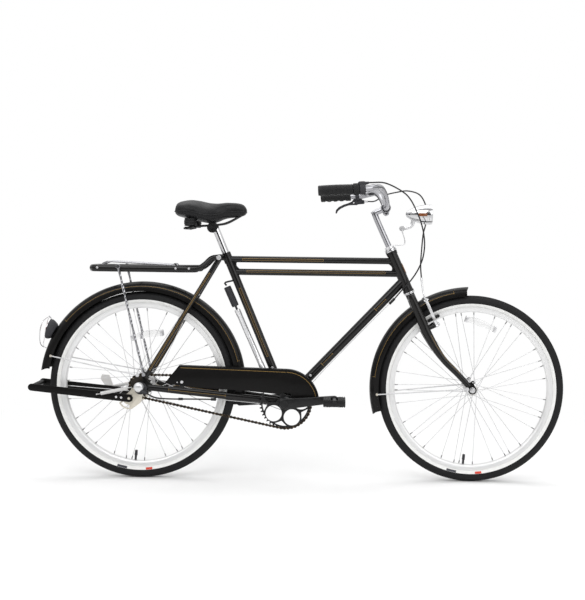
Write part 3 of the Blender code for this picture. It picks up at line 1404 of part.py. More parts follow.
def mudguard(name, hub_place, radius, skirt, span, finish=PAINT):
    """A rolled mudguard blade swept round its wheel."""
    wide, shell = GUARD_HALF_WIDTH, GUARD_SHELL
    depth = radius - skirt
    outer = [
        (skirt, wide),
        (skirt + depth * 0.62, wide * 0.90),
        (radius - 0.0005, wide * 0.38),
    ]
    inner = [
        (radius - 0.0005 - shell, wide * 0.36),
        (skirt + depth * 0.62 - shell * 0.5, wide * 0.90 - shell),
        (skirt, wide - shell),
    ]
    profile = outer + [(r, -y) for r, y in reversed(outer)]
    profile += [(r, -y) for r, y in reversed(inner)] + inner
    bm = bmesh.new()
    first, last = span
    rings = []
    for step in range(MUDGUARD_STEPS + 1):
        base = first + (last - first) * step / MUDGUARD_STEPS
        ring = []
        for reach, y in profile:
            slant = 0.0
            if step in (0, MUDGUARD_STEPS):
                slant = (radius - reach) / (radius - skirt) * math.radians(3.0)
            angle = base + (slant if step == 0 else -slant)
            x = hub_place[0] + reach * math.cos(angle)
            z = hub_place[1] + reach * math.sin(angle)
            ring.append(bm.verts.new(place(x, z, y)))
        rings.append(ring)
    count = len(profile)
    for here, there in zip(rings, rings[1:]):
        for i in range(count):
            j = (i + 1) % count
            bm.faces.new((here[i], here[j], there[j], there[i]))
    for ring in (rings[0], rings[-1]):
        for i in range(count // 2 - 1):
            bm.faces.new((ring[i], ring[i + 1], ring[count - 2 - i], ring[count - 1 - i]))
    return add_mesh(name, bm, Matrix(), finish)


def stay_wire(name, knots):
    """A mudguard stay from one axle end over the blade's edge to the other axle end."""
    path = smooth_path([place(x, z, y) for x, z, y in knots], 0.05)
    return bent(name, path, STAY_WIRE_RADIUS, None, resolution=0)


def wheel_point(hub_place, reach, degrees):
    """A side-view point at a distance and angle from a hub."""
    angle = math.radians(degrees)
    return hub_place[0] + reach * math.cos(angle), hub_place[1] + reach * math.sin(angle)


def stay_pair(name, hub_place, skirt, degrees, foot, foot_y):
    """Two wire stays from the axle's ends to the mudguard's edges."""
    edge = wheel_point(hub_place, skirt + 0.006, degrees)
    middle = wheel_point(hub_place, skirt * 0.5, degrees)
    wires = []
    for tag, sign in (("right", -1), ("left", 1)):
        knots = [
            (*foot, sign * foot_y),
            (*middle, sign * ((foot_y + GUARD_HALF_WIDTH) / 2 + 0.003)),
            (*edge, sign * (GUARD_HALF_WIDTH - 0.0005)),
        ]
        wires.append(stay_wire(f"{name}_{tag}", knots))
    return wires


def mudguards():
    """Both mudguards with their wire stays."""
    front = mudguard(
        "front_mudguard", FRONT_HUB, FRONT_GUARD_RADIUS, FRONT_SKIRT_RADIUS, FRONT_GUARD_SPAN
    )
    front_foot = (FRONT_HUB[0] - 0.0190, FRONT_HUB[1] + 0.0045)
    join(front, *stay_pair("front_stay", FRONT_HUB, FRONT_SKIRT_RADIUS, 184.0, front_foot, 0.0640))
    rear = mudguard("rear_mudguard", REAR_HUB, REAR_GUARD_RADIUS, REAR_SKIRT_RADIUS, REAR_GUARD_SPAN)
    rear_foot = (-0.008, REAR_HUB[1] + 0.0395)
    join(rear, *stay_pair("rear_stay", REAR_HUB, REAR_SKIRT_RADIUS, 163.0, rear_foot, 0.0690))


def clip_lug(name, side):
    """One of the two ears on the hinge bar that the clip turns in."""
    foot_half = RACK_BAR_RADIUS * 0.8
    outline = arc(CLIP_HINGE, CLIP_LUG_RADIUS, 0, math.pi, 9)
    outline += [(CLIP_HINGE[0] - foot_half, RACK_Z), (CLIP_HINGE[0] + foot_half, RACK_Z)]
    y = side * CLIP_LUG_Y + CLIP_LUG_THICKNESS / 2
    return plate(name, [outline], CLIP_LUG_THICKNESS, side_frame(y), None)


def rack():
    """The rear carrier: a bent tube frame, cross bars and its two stays."""
    eye_y = SEAT_TUBE_RADIUS + 2 * SEATSTAY_RADIUS + 2 * GAP + RACK_TUBE_RADIUS
    right = [
        (SEATSTAY_TOP[0] - 0.002, SEATSTAY_TOP[1] + 0.002, -eye_y),
        (0.2400, 0.7730, -0.0430),
        (0.2180, 0.7520, -0.0520),
        (0.1960, RACK_Z + 0.003, -0.0600),
        (0.1650, RACK_Z, -RACK_HALF_WIDTH),
        (0.0200, RACK_Z, -RACK_HALF_WIDTH),
        (RACK_REAR_X + 0.030, RACK_Z, -RACK_HALF_WIDTH),
        (RACK_REAR_X + 0.006, RACK_Z, -RACK_HALF_WIDTH + 0.012),
        (RACK_REAR_X, RACK_Z, -RACK_HALF_WIDTH + 0.030),
    ]
    left = [(x, z, -y) for x, z, y in reversed(right)]
    path = smooth_path([place(x, z, y) for x, z, y in right + left], 0.090)
    body = bent("rack", path, RACK_TUBE_RADIUS, PAINT, resolution=2)
    for index, x in enumerate(RACK_BAR_PLACES):
        ends = [place(x, RACK_Z, side * RACK_HALF_WIDTH) for side in (-1, 1)]
        join(body, rod(f"rack_bar_{index}", *ends, RACK_BAR_RADIUS, None, sides=8))
    outer_y = DROPOUT_PLATE_Y + DROPOUT_THICKNESS + RACK_STAY_RADIUS + GAP
    for tag, side in (("right", -1), ("left", 1)):
        top = place(*RACK_STAY_TOP, side * RACK_HALF_WIDTH)
        foot = place(*RACK_EYE, side * outer_y)
        join(body, rod(f"rack_stay_{tag}", top, foot, RACK_STAY_RADIUS, None, sides=8))
        join(body, clip_lug(f"clip_lug_{tag}", side))
    bore_ends = [place(*CLIP_HINGE, side * CLIP_HALF_WIDTH) for side in (-1, 1)]
    return drill(body, "clip_hinge", *bore_ends, CLIP_HINGE_RADIUS + BEARING_GAP, 12)


def rack_clip():
    """The sprung wire clip that lies on the rack."""
    hinge_x, z = CLIP_HINGE
    right = [
        (hinge_x, z, -CLIP_HALF_WIDTH + 0.010),
        (hinge_x - 0.006, z, -CLIP_HALF_WIDTH),
        (CLIP_REAR_X + 0.030, z + 0.010, -CLIP_HALF_WIDTH),
        (CLIP_REAR_X, z + 0.003, -CLIP_HALF_WIDTH + 0.012),
    ]
    left = [(x, height, -y) for x, height, y in reversed(right)]
    path = smooth_path([place(x, height, y) for x, height, y in right + left], 0.05)
    body = bent("rack_clip", path, CLIP_RADIUS, CHROME, resolution=1)
    hinge = [place(*CLIP_HINGE, side * (CLIP_HALF_WIDTH - 0.011)) for side in (-1, 1)]
    join(body, rod("clip_hinge_bar", *hinge, CLIP_HINGE_RADIUS, None, sides=12))
    carry("rack_clip_axis", place(*CLIP_HINGE), body)
    return body


def tail_lamp_guard():
    """The tail lamp's bent wire guard, both feet over the mudguard, and the stub it hangs from."""
    left = [place(x, z, y) for x, z, y in TAIL_GUARD_HALF]
    top = place(*TAIL_GUARD_TOP)
    knots = left + [top] + [Vector((p.x, -p.y, p.z)) for p in reversed(left)]
    wire = bent("guard_wire", smooth_path(knots, 0.008), TAIL_GUARD_WIRE_RADIUS, None, resolution=0)
    stub = rod("guard_stub", top, place(*TAIL_GUARD_ROOT), TAIL_GUARD_WIRE_RADIUS * 1.4, None, sides=6)
    return wire, stub


def tail_lamp():
    """The round tail lamp that stands on the mudguard's tail."""
    face = place(*TAIL_LAMP_FACE)
    back = Vector((math.cos(TAIL_LAMP_TILT), 0, -math.sin(TAIL_LAMP_TILT)))
    profile = [
        (0, 0),
        (TAIL_LAMP_RADIUS * 0.55, 0.0015),
        (TAIL_LAMP_RADIUS * 0.92, 0.0070),
        (TAIL_LAMP_RADIUS, 0.0080),
        (TAIL_LAMP_RADIUS, 0.0125),
        (TAIL_LAMP_RADIUS * 0.62, TAIL_LAMP_DEPTH),
        (0, TAIL_LAMP_DEPTH),
    ]
    body = turned("tail_lamp", profile, axis_frame(face, back), RED_LENS, 16)
    join(body, *tail_lamp_guard())
    wheel = [place(*REAR_HUB, side * TAIL_LAMP_RADIUS * 1.2) for side in (-1, 1)]
    return drill(body, "mudguard", *wheel, REAR_GUARD_RADIUS + GAP, 180)


def headlamp():
    """The bracket strip, and the bullet lamp that tilts on it."""
    knots = [(0.8690, 0.8207), (0.8810, 0.8262), (0.9080, 0.8275), (0.9160, 0.8350)]
    knots += [(0.9150, 0.8500), (0.9070, 0.8740)]
    half_y = LAMP_STRIP_HALF
    thick = LAMP_STRIP_THICKNESS
    front = [(x + thick * 0.7, z - thick * 0.7) for x, z in knots]
    outline = knots + [(LAMP_PIVOT[0], LAMP_PIVOT[1] - 0.002)]
    outline += [(LAMP_PIVOT[0] + thick, LAMP_PIVOT[1] - 0.002)] + front[::-1]
    body = plate("lamp_bracket", [outline], 2 * half_y, side_frame(half_y), CHROME)
    ring_foot = along(HEAD_PEAK, UP_HEAD, UPPER_STACK + 2 * GAP)
    ring_top = along(ring_foot, UP_HEAD, LAMP_RING_HEIGHT)
    below, above = along(ring_foot, UP_HEAD, -TOOL_REACH), along(ring_top, UP_HEAD, TOOL_REACH)
    drill(body, "quill", below, above, STEM_RADIUS + GAP, 16)
    half = LAMP_FORK_HALF
    ear_start = place(*LAMP_PIVOT, -half_y)
    ear_end = place(*LAMP_PIVOT, half_y)
    join(body, rod("bracket_ear", ear_start, ear_end, LAMP_FORK_RADIUS, None, sides=10))
    gap_half = half + GAP
    slab = [
        (LAMP_PIVOT[0] - 0.030, LAMP_PIVOT[1] - 0.0115),
        (LAMP_PIVOT[0] + 0.030, LAMP_PIVOT[1] - 0.0115),
        (LAMP_PIVOT[0] + 0.030, LAMP_PIVOT[1] + 0.030),
        (LAMP_PIVOT[0] - 0.030, LAMP_PIVOT[1] + 0.030),
    ]
    cut(body, plate("bracket_slot_guide", [slab], 2 * gap_half, side_frame(gap_half), None))
    bore = STEM_RADIUS + 2 * GAP
    join(body, pipe("bracket_ring", ring_foot, ring_top, LAMP_RING_RADIUS, bore, None, sides=14))
    profile = [
        (0, 0),
        (0.008, 0.001),
        (0.017, 0.010),
        (0.026, 0.028),
        (0.032, 0.050),
        (LAMP_RADIUS, 0.074),
        (LAMP_RADIUS, LAMP_LENGTH - 0.004),
        (LAMP_RADIUS - 0.004, LAMP_LENGTH),
        (LAMP_RADIUS - 0.007, LAMP_LENGTH - 0.003),
        (LAMP_RADIUS * 0.5, LAMP_LENGTH + 0.001),
        (0, LAMP_LENGTH + 0.002),
    ]
    lamp = turned("headlamp", profile, axis_frame(place(LAMP_REAR_X, LAMP_Z), (1, 0, 0)), CHROME, 16)
    neck = [
        place(*LAMP_PIVOT),
        place(LAMP_PIVOT[0] + 0.018, LAMP_PIVOT[1] + 0.003),
        place(LAMP_PIVOT[0] + 0.034, LAMP_PIVOT[1] + 0.012),
        place(LAMP_PIVOT[0] + 0.040, LAMP_PIVOT[1] + 0.030),
    ]
    join(lamp, bent("lamp_neck", smooth_path(neck, 0.010), 0.0055, None, resolution=2))
    eye = [place(*LAMP_PIVOT, side * half) for side in (-1, 1)]
    join(lamp, rod("lamp_eye", *eye, LAMP_FORK_RADIUS - 0.001, None, sides=10))
    carry("headlamp_axis", place(*LAMP_PIVOT), lamp)


def seat_post():
    """The seat post with the cross-wise head that the saddle's clamp turns on."""
    foot = along(SEAT_PEAK, UP_SEAT, -SEAT_POST_INSERT)
    head = place(*SADDLE_CLAMP)
    half = Vector((0, SEAT_HEAD_HALF, 0))
    top = place(seat_x(SEAT_POST_TOP_Z), SEAT_POST_TOP_Z)
    body = rod("seat_post", foot, top, SEAT_POST_RADIUS, CHROME, sides=18)
    join(body, rod("seat_head", head - half, head + half, SEAT_HEAD_RADIUS, None, sides=14))
    drill(body, "bolt", head - half * 1.3, head + half * 1.3, SADDLE_BOLT_RADIUS + GAP, 10)
    carry("seat_post_axis", SEAT_PEAK, body)
    return body


def saddle_frame():
    """The clamp's cheeks and bolt, with the wire rails that carry the cushion."""
    centre = place(*SADDLE_CLAMP)
    reach = Vector((0, SADDLE_CHEEK_OUTER_Y - 0.002, 0))
    body = rod("saddle_frame", centre - reach, centre + reach, SADDLE_BOLT_RADIUS, PLASTIC, sides=10)
    for tag, side in (("right", -1), ("left", 1)):
        inner = place(*SADDLE_CLAMP, side * SADDLE_CHEEK_INNER_Y)
        outer = place(*SADDLE_CLAMP, side * SADDLE_CHEEK_OUTER_Y)
        join(body, rod(f"cheek_{tag}", inner, outer, SADDLE_CHEEK_RADIUS, None, sides=12))
        rail = [
            place(SADDLE_BAR_X, SADDLE_BAR_Z + 0.002, side * 0.0470),
            place(0.1900, 0.8850, side * 0.0300),
            place(SADDLE_CLAMP[0], SADDLE_CLAMP[1] + 0.0080, side * 0.0225),
            place(0.2850, 0.8960, side * 0.0200),
            place(0.3300, 0.9190, side * 0.0090),
            place(0.3420, 0.9260, side * 0.0070),
        ]
        path = smooth_path(rail, 0.030)
        join(body, bent(f"rail_{tag}", path, RAIL_RADIUS, None, resolution=1))
    ends = [place(SADDLE_BAR_X, SADDLE_BAR_Z, side * 0.0790) for side in (-1, 1)]
    return join(body, rod("saddle_bar", *ends, SADDLE_BAR_RADIUS, None, sides=10))


def saddle_spring(name, side):
    """A short coil spring between the rails' cross bar and the cushion."""
    y = side * SADDLE_SPRING_Y
    base = SADDLE_BAR_Z + SADDLE_BAR_RADIUS + SADDLE_WIRE_RADIUS + GAP
    top = SADDLE_SPRING_TOP - SADDLE_WIRE_RADIUS
    steps = SADDLE_SPRING_CURLS * POINTS_PER_CURL
    path = []
    for step in range(steps + 1):
        angle = math.tau * step / POINTS_PER_CURL
        x = SADDLE_SPRING_X + SADDLE_COIL_RADIUS * math.cos(angle)
        z = base + (top - base) * step / steps
        path.append(place(x, z, y + side * SADDLE_COIL_RADIUS * math.sin(angle)))
    pitch = (top - base) / SADDLE_SPRING_CURLS
    print(f"{name}: least gap between curls {1000 * (pitch - 2 * SADDLE_WIRE_RADIUS):.2f} mm")
    return bent(name, path, SADDLE_WIRE_RADIUS, PLASTIC, resolution=1)


SADDLE_STATIONS = (
    (0.1120, 0.0480, 0.9500, 0.9260),
    (0.1260, 0.0860, 0.9680, 0.9160),
    (0.1600, 0.1040, 0.9790, 0.9080),
    (0.1960, 0.0980, 0.9750, 0.8990),
    (0.2280, 0.0780, 0.9680, 0.8930),
    (0.2560, 0.0540, 0.9655, 0.9030),
    (0.2900, 0.0360, 0.9690, 0.9110),
    (0.3250, 0.0290, 0.9720, 0.9150),
    (0.3480, 0.0250, 0.9620, 0.9170),
    (0.3610, 0.0150, 0.9440, 0.9240),
)
SADDLE_SIDES = 8


def saddle_section(half_width, top, bottom):
    """One cross-section of the cushion: a crowned top, full sides and a shallow hollow below."""
    ring = []
    middle, half = (top + bottom) / 2, (top - bottom) / 2
    for index in range(SADDLE_SIDES):
        angle = math.tau * (index + 0.5) / SADDLE_SIDES
        across_part, up_part = math.cos(angle), math.sin(angle)
        y = half_width * math.copysign(abs(across_part) ** 0.72, across_part)
        lift = math.copysign(abs(up_part) ** 0.75, up_part)
        ring.append((y, middle + half * lift * (1.0 if up_part > 0 else 0.92)))
    return ring


def saddle():
    """The cushion: a wide rear, drawn-in sides and a slim nose."""
    bm = bmesh.new()
    rings = []
    for x, half_width, top, bottom in SADDLE_STATIONS:
        section = saddle_section(half_width, top, bottom)
        rings.append([bm.verts.new(place(x, z, y)) for y, z in section])
    for here, there in zip(rings, rings[1:]):
        for i in range(SADDLE_SIDES):
            j = (i + 1) % SADDLE_SIDES
            bm.faces.new((here[i], here[j], there[j], there[i]))
    bm.faces.new(rings[0])
    bm.faces.new(rings[-1])
    body = add_mesh("saddle", bm, Matrix(), PAD_FOAM, sharp=60)
    rounder = body.modifiers.new("rounder", "SUBSURF")
    rounder.levels = 1
    rounder.render_levels = 1
    for tag, side in (("right", -1), ("left", 1)):
        low = place(SADDLE_SPRING_X, SADDLE_BAR_Z, side * SADDLE_SPRING_Y)
        high = place(SADDLE_SPRING_X, SADDLE_SPRING_TOP + GAP, side * SADDLE_SPRING_Y)
        reach = SADDLE_COIL_RADIUS + SADDLE_WIRE_RADIUS + GAP
        drill(body, f"spring_{tag}", low, high, reach, 20)
        rail_low = place(0.2850, 0.8960, side * 0.0200)
        rail_high = place(0.3450, 0.9280, side * 0.0065)
        drill(body, f"rail_{tag}", rail_low, rail_high, RAIL_RADIUS * 2.4, 10)
    return body


def seat_group():
    """Seat post, clamp, rails, bumpers and cushion."""
    seat_post()
    parts = [saddle_frame(), saddle()]
    parts += [saddle_spring("right_saddle_spring", -1), saddle_spring("left_saddle_spring", 1)]
    carry("saddle_axis", place(*SADDLE_CLAMP), *parts)


def pump():
    """The frame-fit pump: its barrel, and the sprung grip with its rod."""
    first = PUMP_GRIP_LENGTH + PUMP_STROKE + GAP
    length = PUMP_LENGTH - first
    bore = PUMP_ROD_RADIUS + BEARING_GAP
    deep = PUMP_STROKE + 0.030
    profile = [(0, deep), (bore, deep), (bore, 0)]
    profile += [(PUMP_BARREL_RADIUS, 0), (PUMP_BARREL_RADIUS, length), (0, length)]
    turned("pump_barrel", profile, axis_frame(place(*pump_point(first)), PUMP_AXIS), CHROME, 14)
    rod_end = first + 0.014
    grip_profile = [
        (0, 0),
        (PUMP_GRIP_RADIUS * 0.7, 0),
        (PUMP_GRIP_RADIUS, 0.006),
        (PUMP_GRIP_RADIUS, PUMP_GRIP_LENGTH - 0.003),
        (PUMP_GRIP_RADIUS * 0.85, PUMP_GRIP_LENGTH),
        (PUMP_ROD_RADIUS, PUMP_GRIP_LENGTH),
        (PUMP_ROD_RADIUS, rod_end),
        (0, rod_end),
    ]
    top = place(*PUMP_TOP)
    handle = turned("pump_handle", grip_profile, axis_frame(top, PUMP_AXIS), PLASTIC, 16)
    carry("pump_handle_axis", top, handle)


def hub_box():
    """The three-speed hub's gear box on the right axle end, with its cable entry."""
    inner = HUB_BOX_INNER_Y
    start = place(*REAR_HUB, -inner)
    end = place(*REAR_HUB, -inner - HUB_BOX_DEPTH)
    body = rod("bell_crank_box", start, end, HUB_BOX_RADIUS, PLASTIC, sides=14)
    nose = place(0.030, 0.3050, -inner - 0.010)
    join(body, rod("box_nose", place(0.004, 0.318, -inner - 0.010), nose, 0.0065, None, sides=10))
    drill(body, "axle", start + Vector((0, 0.01, 0)), start - Vector((0, 0.004, 0)), AXLE_RADIUS + GAP)
    return nose


def brake_anchor():
    """The hub brake's reaction arm on the left side, running forward below the chainstay."""
    eye = arc(REAR_HUB, 0.013, math.radians(30), math.radians(300), 12)
    arm = [(0.0500, 0.3010), (0.1500, 0.2890), (0.1560, 0.2960), (0.1500, 0.3030)]
    outline = eye + arm + [(0.0500, 0.3160)]
    body = plate("coaster_brake_arm", [outline], 0.003, side_frame(BRAKE_ANCHOR_Y + 0.003), STEEL)
    start = place(*REAR_HUB, BRAKE_ANCHOR_Y - 0.01)
    end = place(*REAR_HUB, BRAKE_ANCHOR_Y + 0.01)
    return drill(body, "axle", start, end, AXLE_RADIUS + GAP)


def cable(name, knots, start, end, spacing):
    """A cable along a smooth route between two world places."""
    route = [start] + [place(x, z, y) for x, z, y in knots] + [end]
    return bent(name, smooth_path(route, spacing), CABLE_RADIUS, PLASTIC, resolution=1)


def gear_cable(outlet, nose):
    """From the shifter, past the head and under the down tube, to the hub's box."""
    knots = [
        (0.8337, 1.0330, -0.2250),
        (0.8924, 1.0106, -0.1600),
        (0.9259, 0.9840, -0.1180),
        (0.9545, 0.9348, -0.0860),
        (0.9697, 0.8977, -0.0680),
        (0.9790, 0.8600, -0.0540),
        (0.9820, 0.8220, -0.0440),
        (0.9763, 0.7800, -0.0360),
        (0.9600, 0.7400, -0.0310),
        (0.9360, 0.7030, -0.0275),
        (0.9120, 0.6760, -0.0235),
        (0.8800, 0.6365, -0.0080),
        (0.7776, 0.5281, -0.0060),
        (0.6398, 0.3832, -0.0080),
        (0.5560, 0.2920, -0.0140),
        (0.5340, 0.2620, -0.0180),
        (0.5140, 0.2470, -0.0220),
        (0.4880, 0.2465, -0.0270),
        (0.4300, 0.2650, -0.0315),
        (0.3300, 0.2765, -0.0400),
        (0.2650, 0.2815, -0.0450),
        (0.1800, 0.2840, -0.0590),
        (0.1040, 0.2860, -0.0740),
        (0.0600, 0.2920, -0.0900),
    ]
    start = outlet + Vector((0.0008, 0, 0.0002))
    end = nose + Vector((0.0005, 0, -0.0003))
    return cable("gear_cable", knots, start, end, 0.060)


def brake_cable(adjuster):
    """From the left lever, behind the bar and the lamp, down to the right brake arm."""
    knots = [
        (0.8180, 0.9920, 0.2640),
        (0.8530, 1.0120, 0.2150),
        (0.8950, 1.0210, 0.1500),
        (0.9316, 1.0240, 0.1080),
        (0.9697, 1.0100, 0.0700),
        (0.9905, 0.9760, 0.0560),
        (0.9960, 0.9350, 0.0540),
        (0.9916, 0.8998, 0.0430),
        (0.9828, 0.8668, 0.0300),
        (0.9759, 0.8078, 0.0080),
        (0.9715, 0.7570, -0.0150),
        (0.9735, 0.7090, -0.0400),
        (0.9765, 0.6750, -0.0600),
        (0.9800, 0.6560, -0.0700),
        (0.9845, 0.6430, -0.0680),
    ]
    _, run, _ = lever_axes()
    start = adjuster - run * (4 * GAP)
    rise = BRAKE_ARM_LENGTH - 0.005
    end = along(place(*BRAKE_PIVOT), UP_HEAD, rise)
    end.y = -(brake_arm_side(rise) + BRAKE_ARM_WIDTH / 2 + 2 * GAP)
    return cable("brake_cable", knots, start, end, 0.030)


def stand_bracket(name, side):
    """The plate on the rear axle that the stand's leg turns on, with its curved stop."""
    hub_y = REAR_HUB[1]
    inner = DROPOUT_PLATE_Y + DROPOUT_THICKNESS + GAP
    outline = [
        (0.020, hub_y - 0.004),
        (0.006, hub_y + 0.012),
        (-0.010, hub_y + 0.008),
        (-0.038, hub_y - 0.020),
    ]
    outline += arc(STAND_PIVOT, 0.016, math.radians(135), math.radians(200), 4)
    outline += arc(STAND_PIVOT, 0.036, math.radians(215), math.radians(285), 7)
    outline += [(0.004, hub_y - 0.056)]
    y = inner + BRACKET_PLATE if side > 0 else -inner
    body = plate(name, [outline], BRACKET_PLATE, side_frame(y), ZINC)
    pin_out = STAND_LEG_Y + STAND_LEG_THICKNESS / 2 + 0.0035
    pin = rod(
        f"{name}_pin",
        place(*STAND_PIVOT, side * (inner + 0.001)),
        place(*STAND_PIVOT, side * pin_out),
        STAND_PIN_RADIUS,
        None,
        sides=10,
    )
    join(body, pin)
    hook = rod(
        f"{name}_hook",
        place(*SPRING_ANCHOR, side * (inner + 0.001)),
        place(*SPRING_ANCHOR, side * (SPRING_Y + 0.001)),
        0.0030,
        None,
        sides=8,
    )
    join(body, hook)
    start = place(*REAR_HUB, side * (inner - TOOL_REACH * 0.3))
    end = place(*REAR_HUB, side * (inner + TOOL_REACH))
    return drill(body, "axle", start, end, AXLE_RADIUS + GAP)


def leg_outline():
    """A stand leg seen from the side, with round ends."""
    slope = math.atan2(STAND_END[1] - STAND_PIVOT[1], STAND_END[0] - STAND_PIVOT[0])
    half = STAND_LEG_WIDTH / 2
    outline = arc(STAND_PIVOT, half, slope + math.pi / 2, slope + 3 * math.pi / 2, 9)
    return outline + arc(STAND_END, half, slope - math.pi / 2, slope + math.pi / 2, 9)


def stand():
    """The two-legged stand, folded up behind the wheel, with its foot bar and pedal tab."""
    half = STAND_LEG_THICKNESS / 2
    body = plate("stand", [leg_outline()], STAND_LEG_THICKNESS, side_frame(-STAND_LEG_Y + half), PAINT)
    far = plate("far_leg", [leg_outline()], STAND_LEG_THICKNESS, side_frame(STAND_LEG_Y + half), None)
    ends = [place(*STAND_END, side * STAND_LEG_Y) for side in (-1, 1)]
    join(body, rod("foot_bar", *ends, STAND_FOOT_RADIUS, None, sides=10), far)
    reach = Vector((0, STAND_LEG_Y + 0.01, 0))
    pivot = place(*STAND_PIVOT)
    drill(body, "pivot", pivot - reach, pivot + reach, STAND_PIN_RADIUS + BEARING_GAP, 10)
    for tag, side in (("right", -1), ("left", 1)):
        hook_start = place(*SPRING_HOOK, side * (STAND_LEG_Y - 0.001))
        hook_end = place(*SPRING_HOOK, side * (SPRING_Y + 0.001))
        join(body, rod(f"stand_hook_{tag}", hook_start, hook_end, 0.0030, None, sides=8))
    tab = [(-0.118, 0.300), (-0.146, 0.302), (-0.168, 0.334), (-0.162, 0.350), (-0.136, 0.348)]
    tab_y = STAND_LEG_Y + half + 0.001
    join(body, plate("stand_tab", [tab], 0.006, side_frame(tab_y + 0.003), None))
    carry("stand_axis", pivot, body)


def stand_spring(name, side):
    """A tension spring from the bracket's hook to the leg's hook, wound as one wire."""
    y = side * (SPRING_Y + 0.001 + STAND_WIRE_RADIUS + GAP + 0.0003)
    start, end = place(*SPRING_ANCHOR, y), place(*SPRING_HOOK, y)
    run = (end - start).normalized()
    up = Vector((0, 1, 0)).cross(run)
    margin = 0.012
    coil_length = (end - start).length - 2 * margin
    count = STAND_SPRING_CURLS * POINTS_PER_CURL
    side_out = Vector((0, side, 0))
    path = [start, start + run * margin * 0.6]
    for step in range(count + 1):
        angle = math.tau * step / POINTS_PER_CURL
        centre = start + run * (margin + coil_length * step / count)
        swing = side_out * (1 - math.cos(angle)) + up * math.sin(angle)
        path.append(centre + swing * STAND_SPRING_RADIUS)
    path += [end - run * margin * 0.6, end]
    body = bent(name, path, STAND_WIRE_RADIUS, STEEL, resolution=1)
    pitch = coil_length / STAND_SPRING_CURLS
    print(f"{name}: least gap between curls {1000 * (pitch - 2 * STAND_WIRE_RADIUS):.2f} mm")
    return body


def clear_scene():
    """Remove what the scene holds."""
    for body in list(bpy.data.objects):
        bpy.data.objects.remove(body, do_unlink=True)


def build():
    """Model the whole bicycle."""
    clear_scene()
    head_tube()
    headsets()
    top_tube("upper_top_tube", UPPER_TUBE_Z, SEAT_LUG_RADIUS)
    top_tube("lower_top_tube", LOWER_TUBE_Z, SEAT_TUBE_RADIUS)
    down_tube()
    seat_tube()
    chainstays()
    seatstay("right_seatstay", -1, BRIDGE_SHORTFALL)
    seatstay("left_seatstay", 1, None)
    fork()
    stem()
    handlebar()
    grip("right_grip", -1)
    grip("left_grip", 1)
    outlet = shifter()
    adjuster = lever_bracket()
    brake_lever()
    brake_arm("right_brake_arm", -1)
    brake_arm("left_brake_arm", 1)
    wheels()
    axles()
    cranks()
    pedal("right_pedal", -1)
    pedal("left_pedal", 1)
    sprocket()
    chain()
    chain_guard()
    mudguards()
    rack()
    rack_clip()
    tail_lamp()
    headlamp()
    seat_group()
    pump()
    nose = hub_box()
    brake_anchor()
    gear_cable(outlet, nose)
    brake_cable(adjuster)
    stand_bracket("right_stand_bracket", -1)
    stand_bracket("left_stand_bracket", 1)
    stand()
    stand_spring("right_stand_spring", -1)
    stand_spring("left_stand_spring", 1)


build()
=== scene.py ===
"""Looks of a gentleman's roadster bicycle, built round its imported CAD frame.

Every length is in metres. +X is forward, +Y is the rider's left and +Z is up, and the ground is
z = 0. Side-view places are written (x, z) with x measured forward from the rear hub's axis, and
``at`` turns them into the frame's own places. Each sub-assembly of the bicycle is a class that
holds its sizes, models its pieces, dresses them and hangs them on the CAD body they move with.
"""

from __future__ import annotations

import logging
from dataclasses import dataclass
from enum import Enum
from math import acos, atan2, copysign, cos, degrees, pi, radians, sin, sqrt, tan, tau
from typing import Callable, ClassVar, Iterable, Optional, Sequence, Union

import bpy
from mathutils import Matrix, Vector

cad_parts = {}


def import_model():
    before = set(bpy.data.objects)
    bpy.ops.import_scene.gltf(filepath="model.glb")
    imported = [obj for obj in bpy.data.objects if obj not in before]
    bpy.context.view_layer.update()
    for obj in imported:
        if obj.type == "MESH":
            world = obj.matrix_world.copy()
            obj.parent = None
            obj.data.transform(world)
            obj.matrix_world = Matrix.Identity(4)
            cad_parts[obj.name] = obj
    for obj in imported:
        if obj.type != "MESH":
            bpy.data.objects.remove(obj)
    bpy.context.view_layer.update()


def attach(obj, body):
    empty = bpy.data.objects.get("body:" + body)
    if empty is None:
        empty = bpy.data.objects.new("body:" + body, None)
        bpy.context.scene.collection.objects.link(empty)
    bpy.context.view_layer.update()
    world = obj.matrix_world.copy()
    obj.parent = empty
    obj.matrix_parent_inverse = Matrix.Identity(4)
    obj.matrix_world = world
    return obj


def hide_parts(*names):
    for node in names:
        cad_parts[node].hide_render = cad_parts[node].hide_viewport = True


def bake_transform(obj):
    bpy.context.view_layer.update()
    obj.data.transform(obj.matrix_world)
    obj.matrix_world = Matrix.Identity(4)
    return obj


LOG = logging.getLogger("roadster")
Piece = bpy.types.Object
Place = Union[Vector, tuple]
Number = Union[float, "Signal"]
Colour = tuple[float, float, float]

# Places in the side view, as (x, z), and sizes that several sub-assemblies share.
REAR_HUB_X = -0.5475
WHEELBASE = 1.154
HUB_Z = 0.3265
REAR_HUB = (0.0, HUB_Z)
FRONT_HUB = (WHEELBASE, HUB_Z)
CRANK_PLACE = (0.505, 0.2735)
SEAT_CLUSTER = (0.266, 0.776)
BAR_CLAMP = (0.847, 0.958)
STAND_PIVOT = (-0.035, 0.286)
CLIP_AXLE = (0.11, 0.7475)
HEAD_FOOT = (0.932, 0.663)
HEAD_LENGTH = 0.149
CHAIN_PITCH = 0.0127
CHAIN_Y = -0.0475
RING_TEETH = 44
SPROCKET_TEETH = 19
HEAD_ANGLE = radians(65.5)
SEAT_ANGLE = radians(67)
UP_HEAD = Vector((-cos(HEAD_ANGLE), 0, sin(HEAD_ANGLE)))
UP_SEAT = Vector((-cos(SEAT_ANGLE), 0, sin(SEAT_ANGLE)))
BRAKE_AXIS = Vector((sin(HEAD_ANGLE), 0, cos(HEAD_ANGLE)))
SIDEWAYS = Vector((0, 1, 0))
# The signs of y on the right and on the left.
WAYS = (-1, 1)
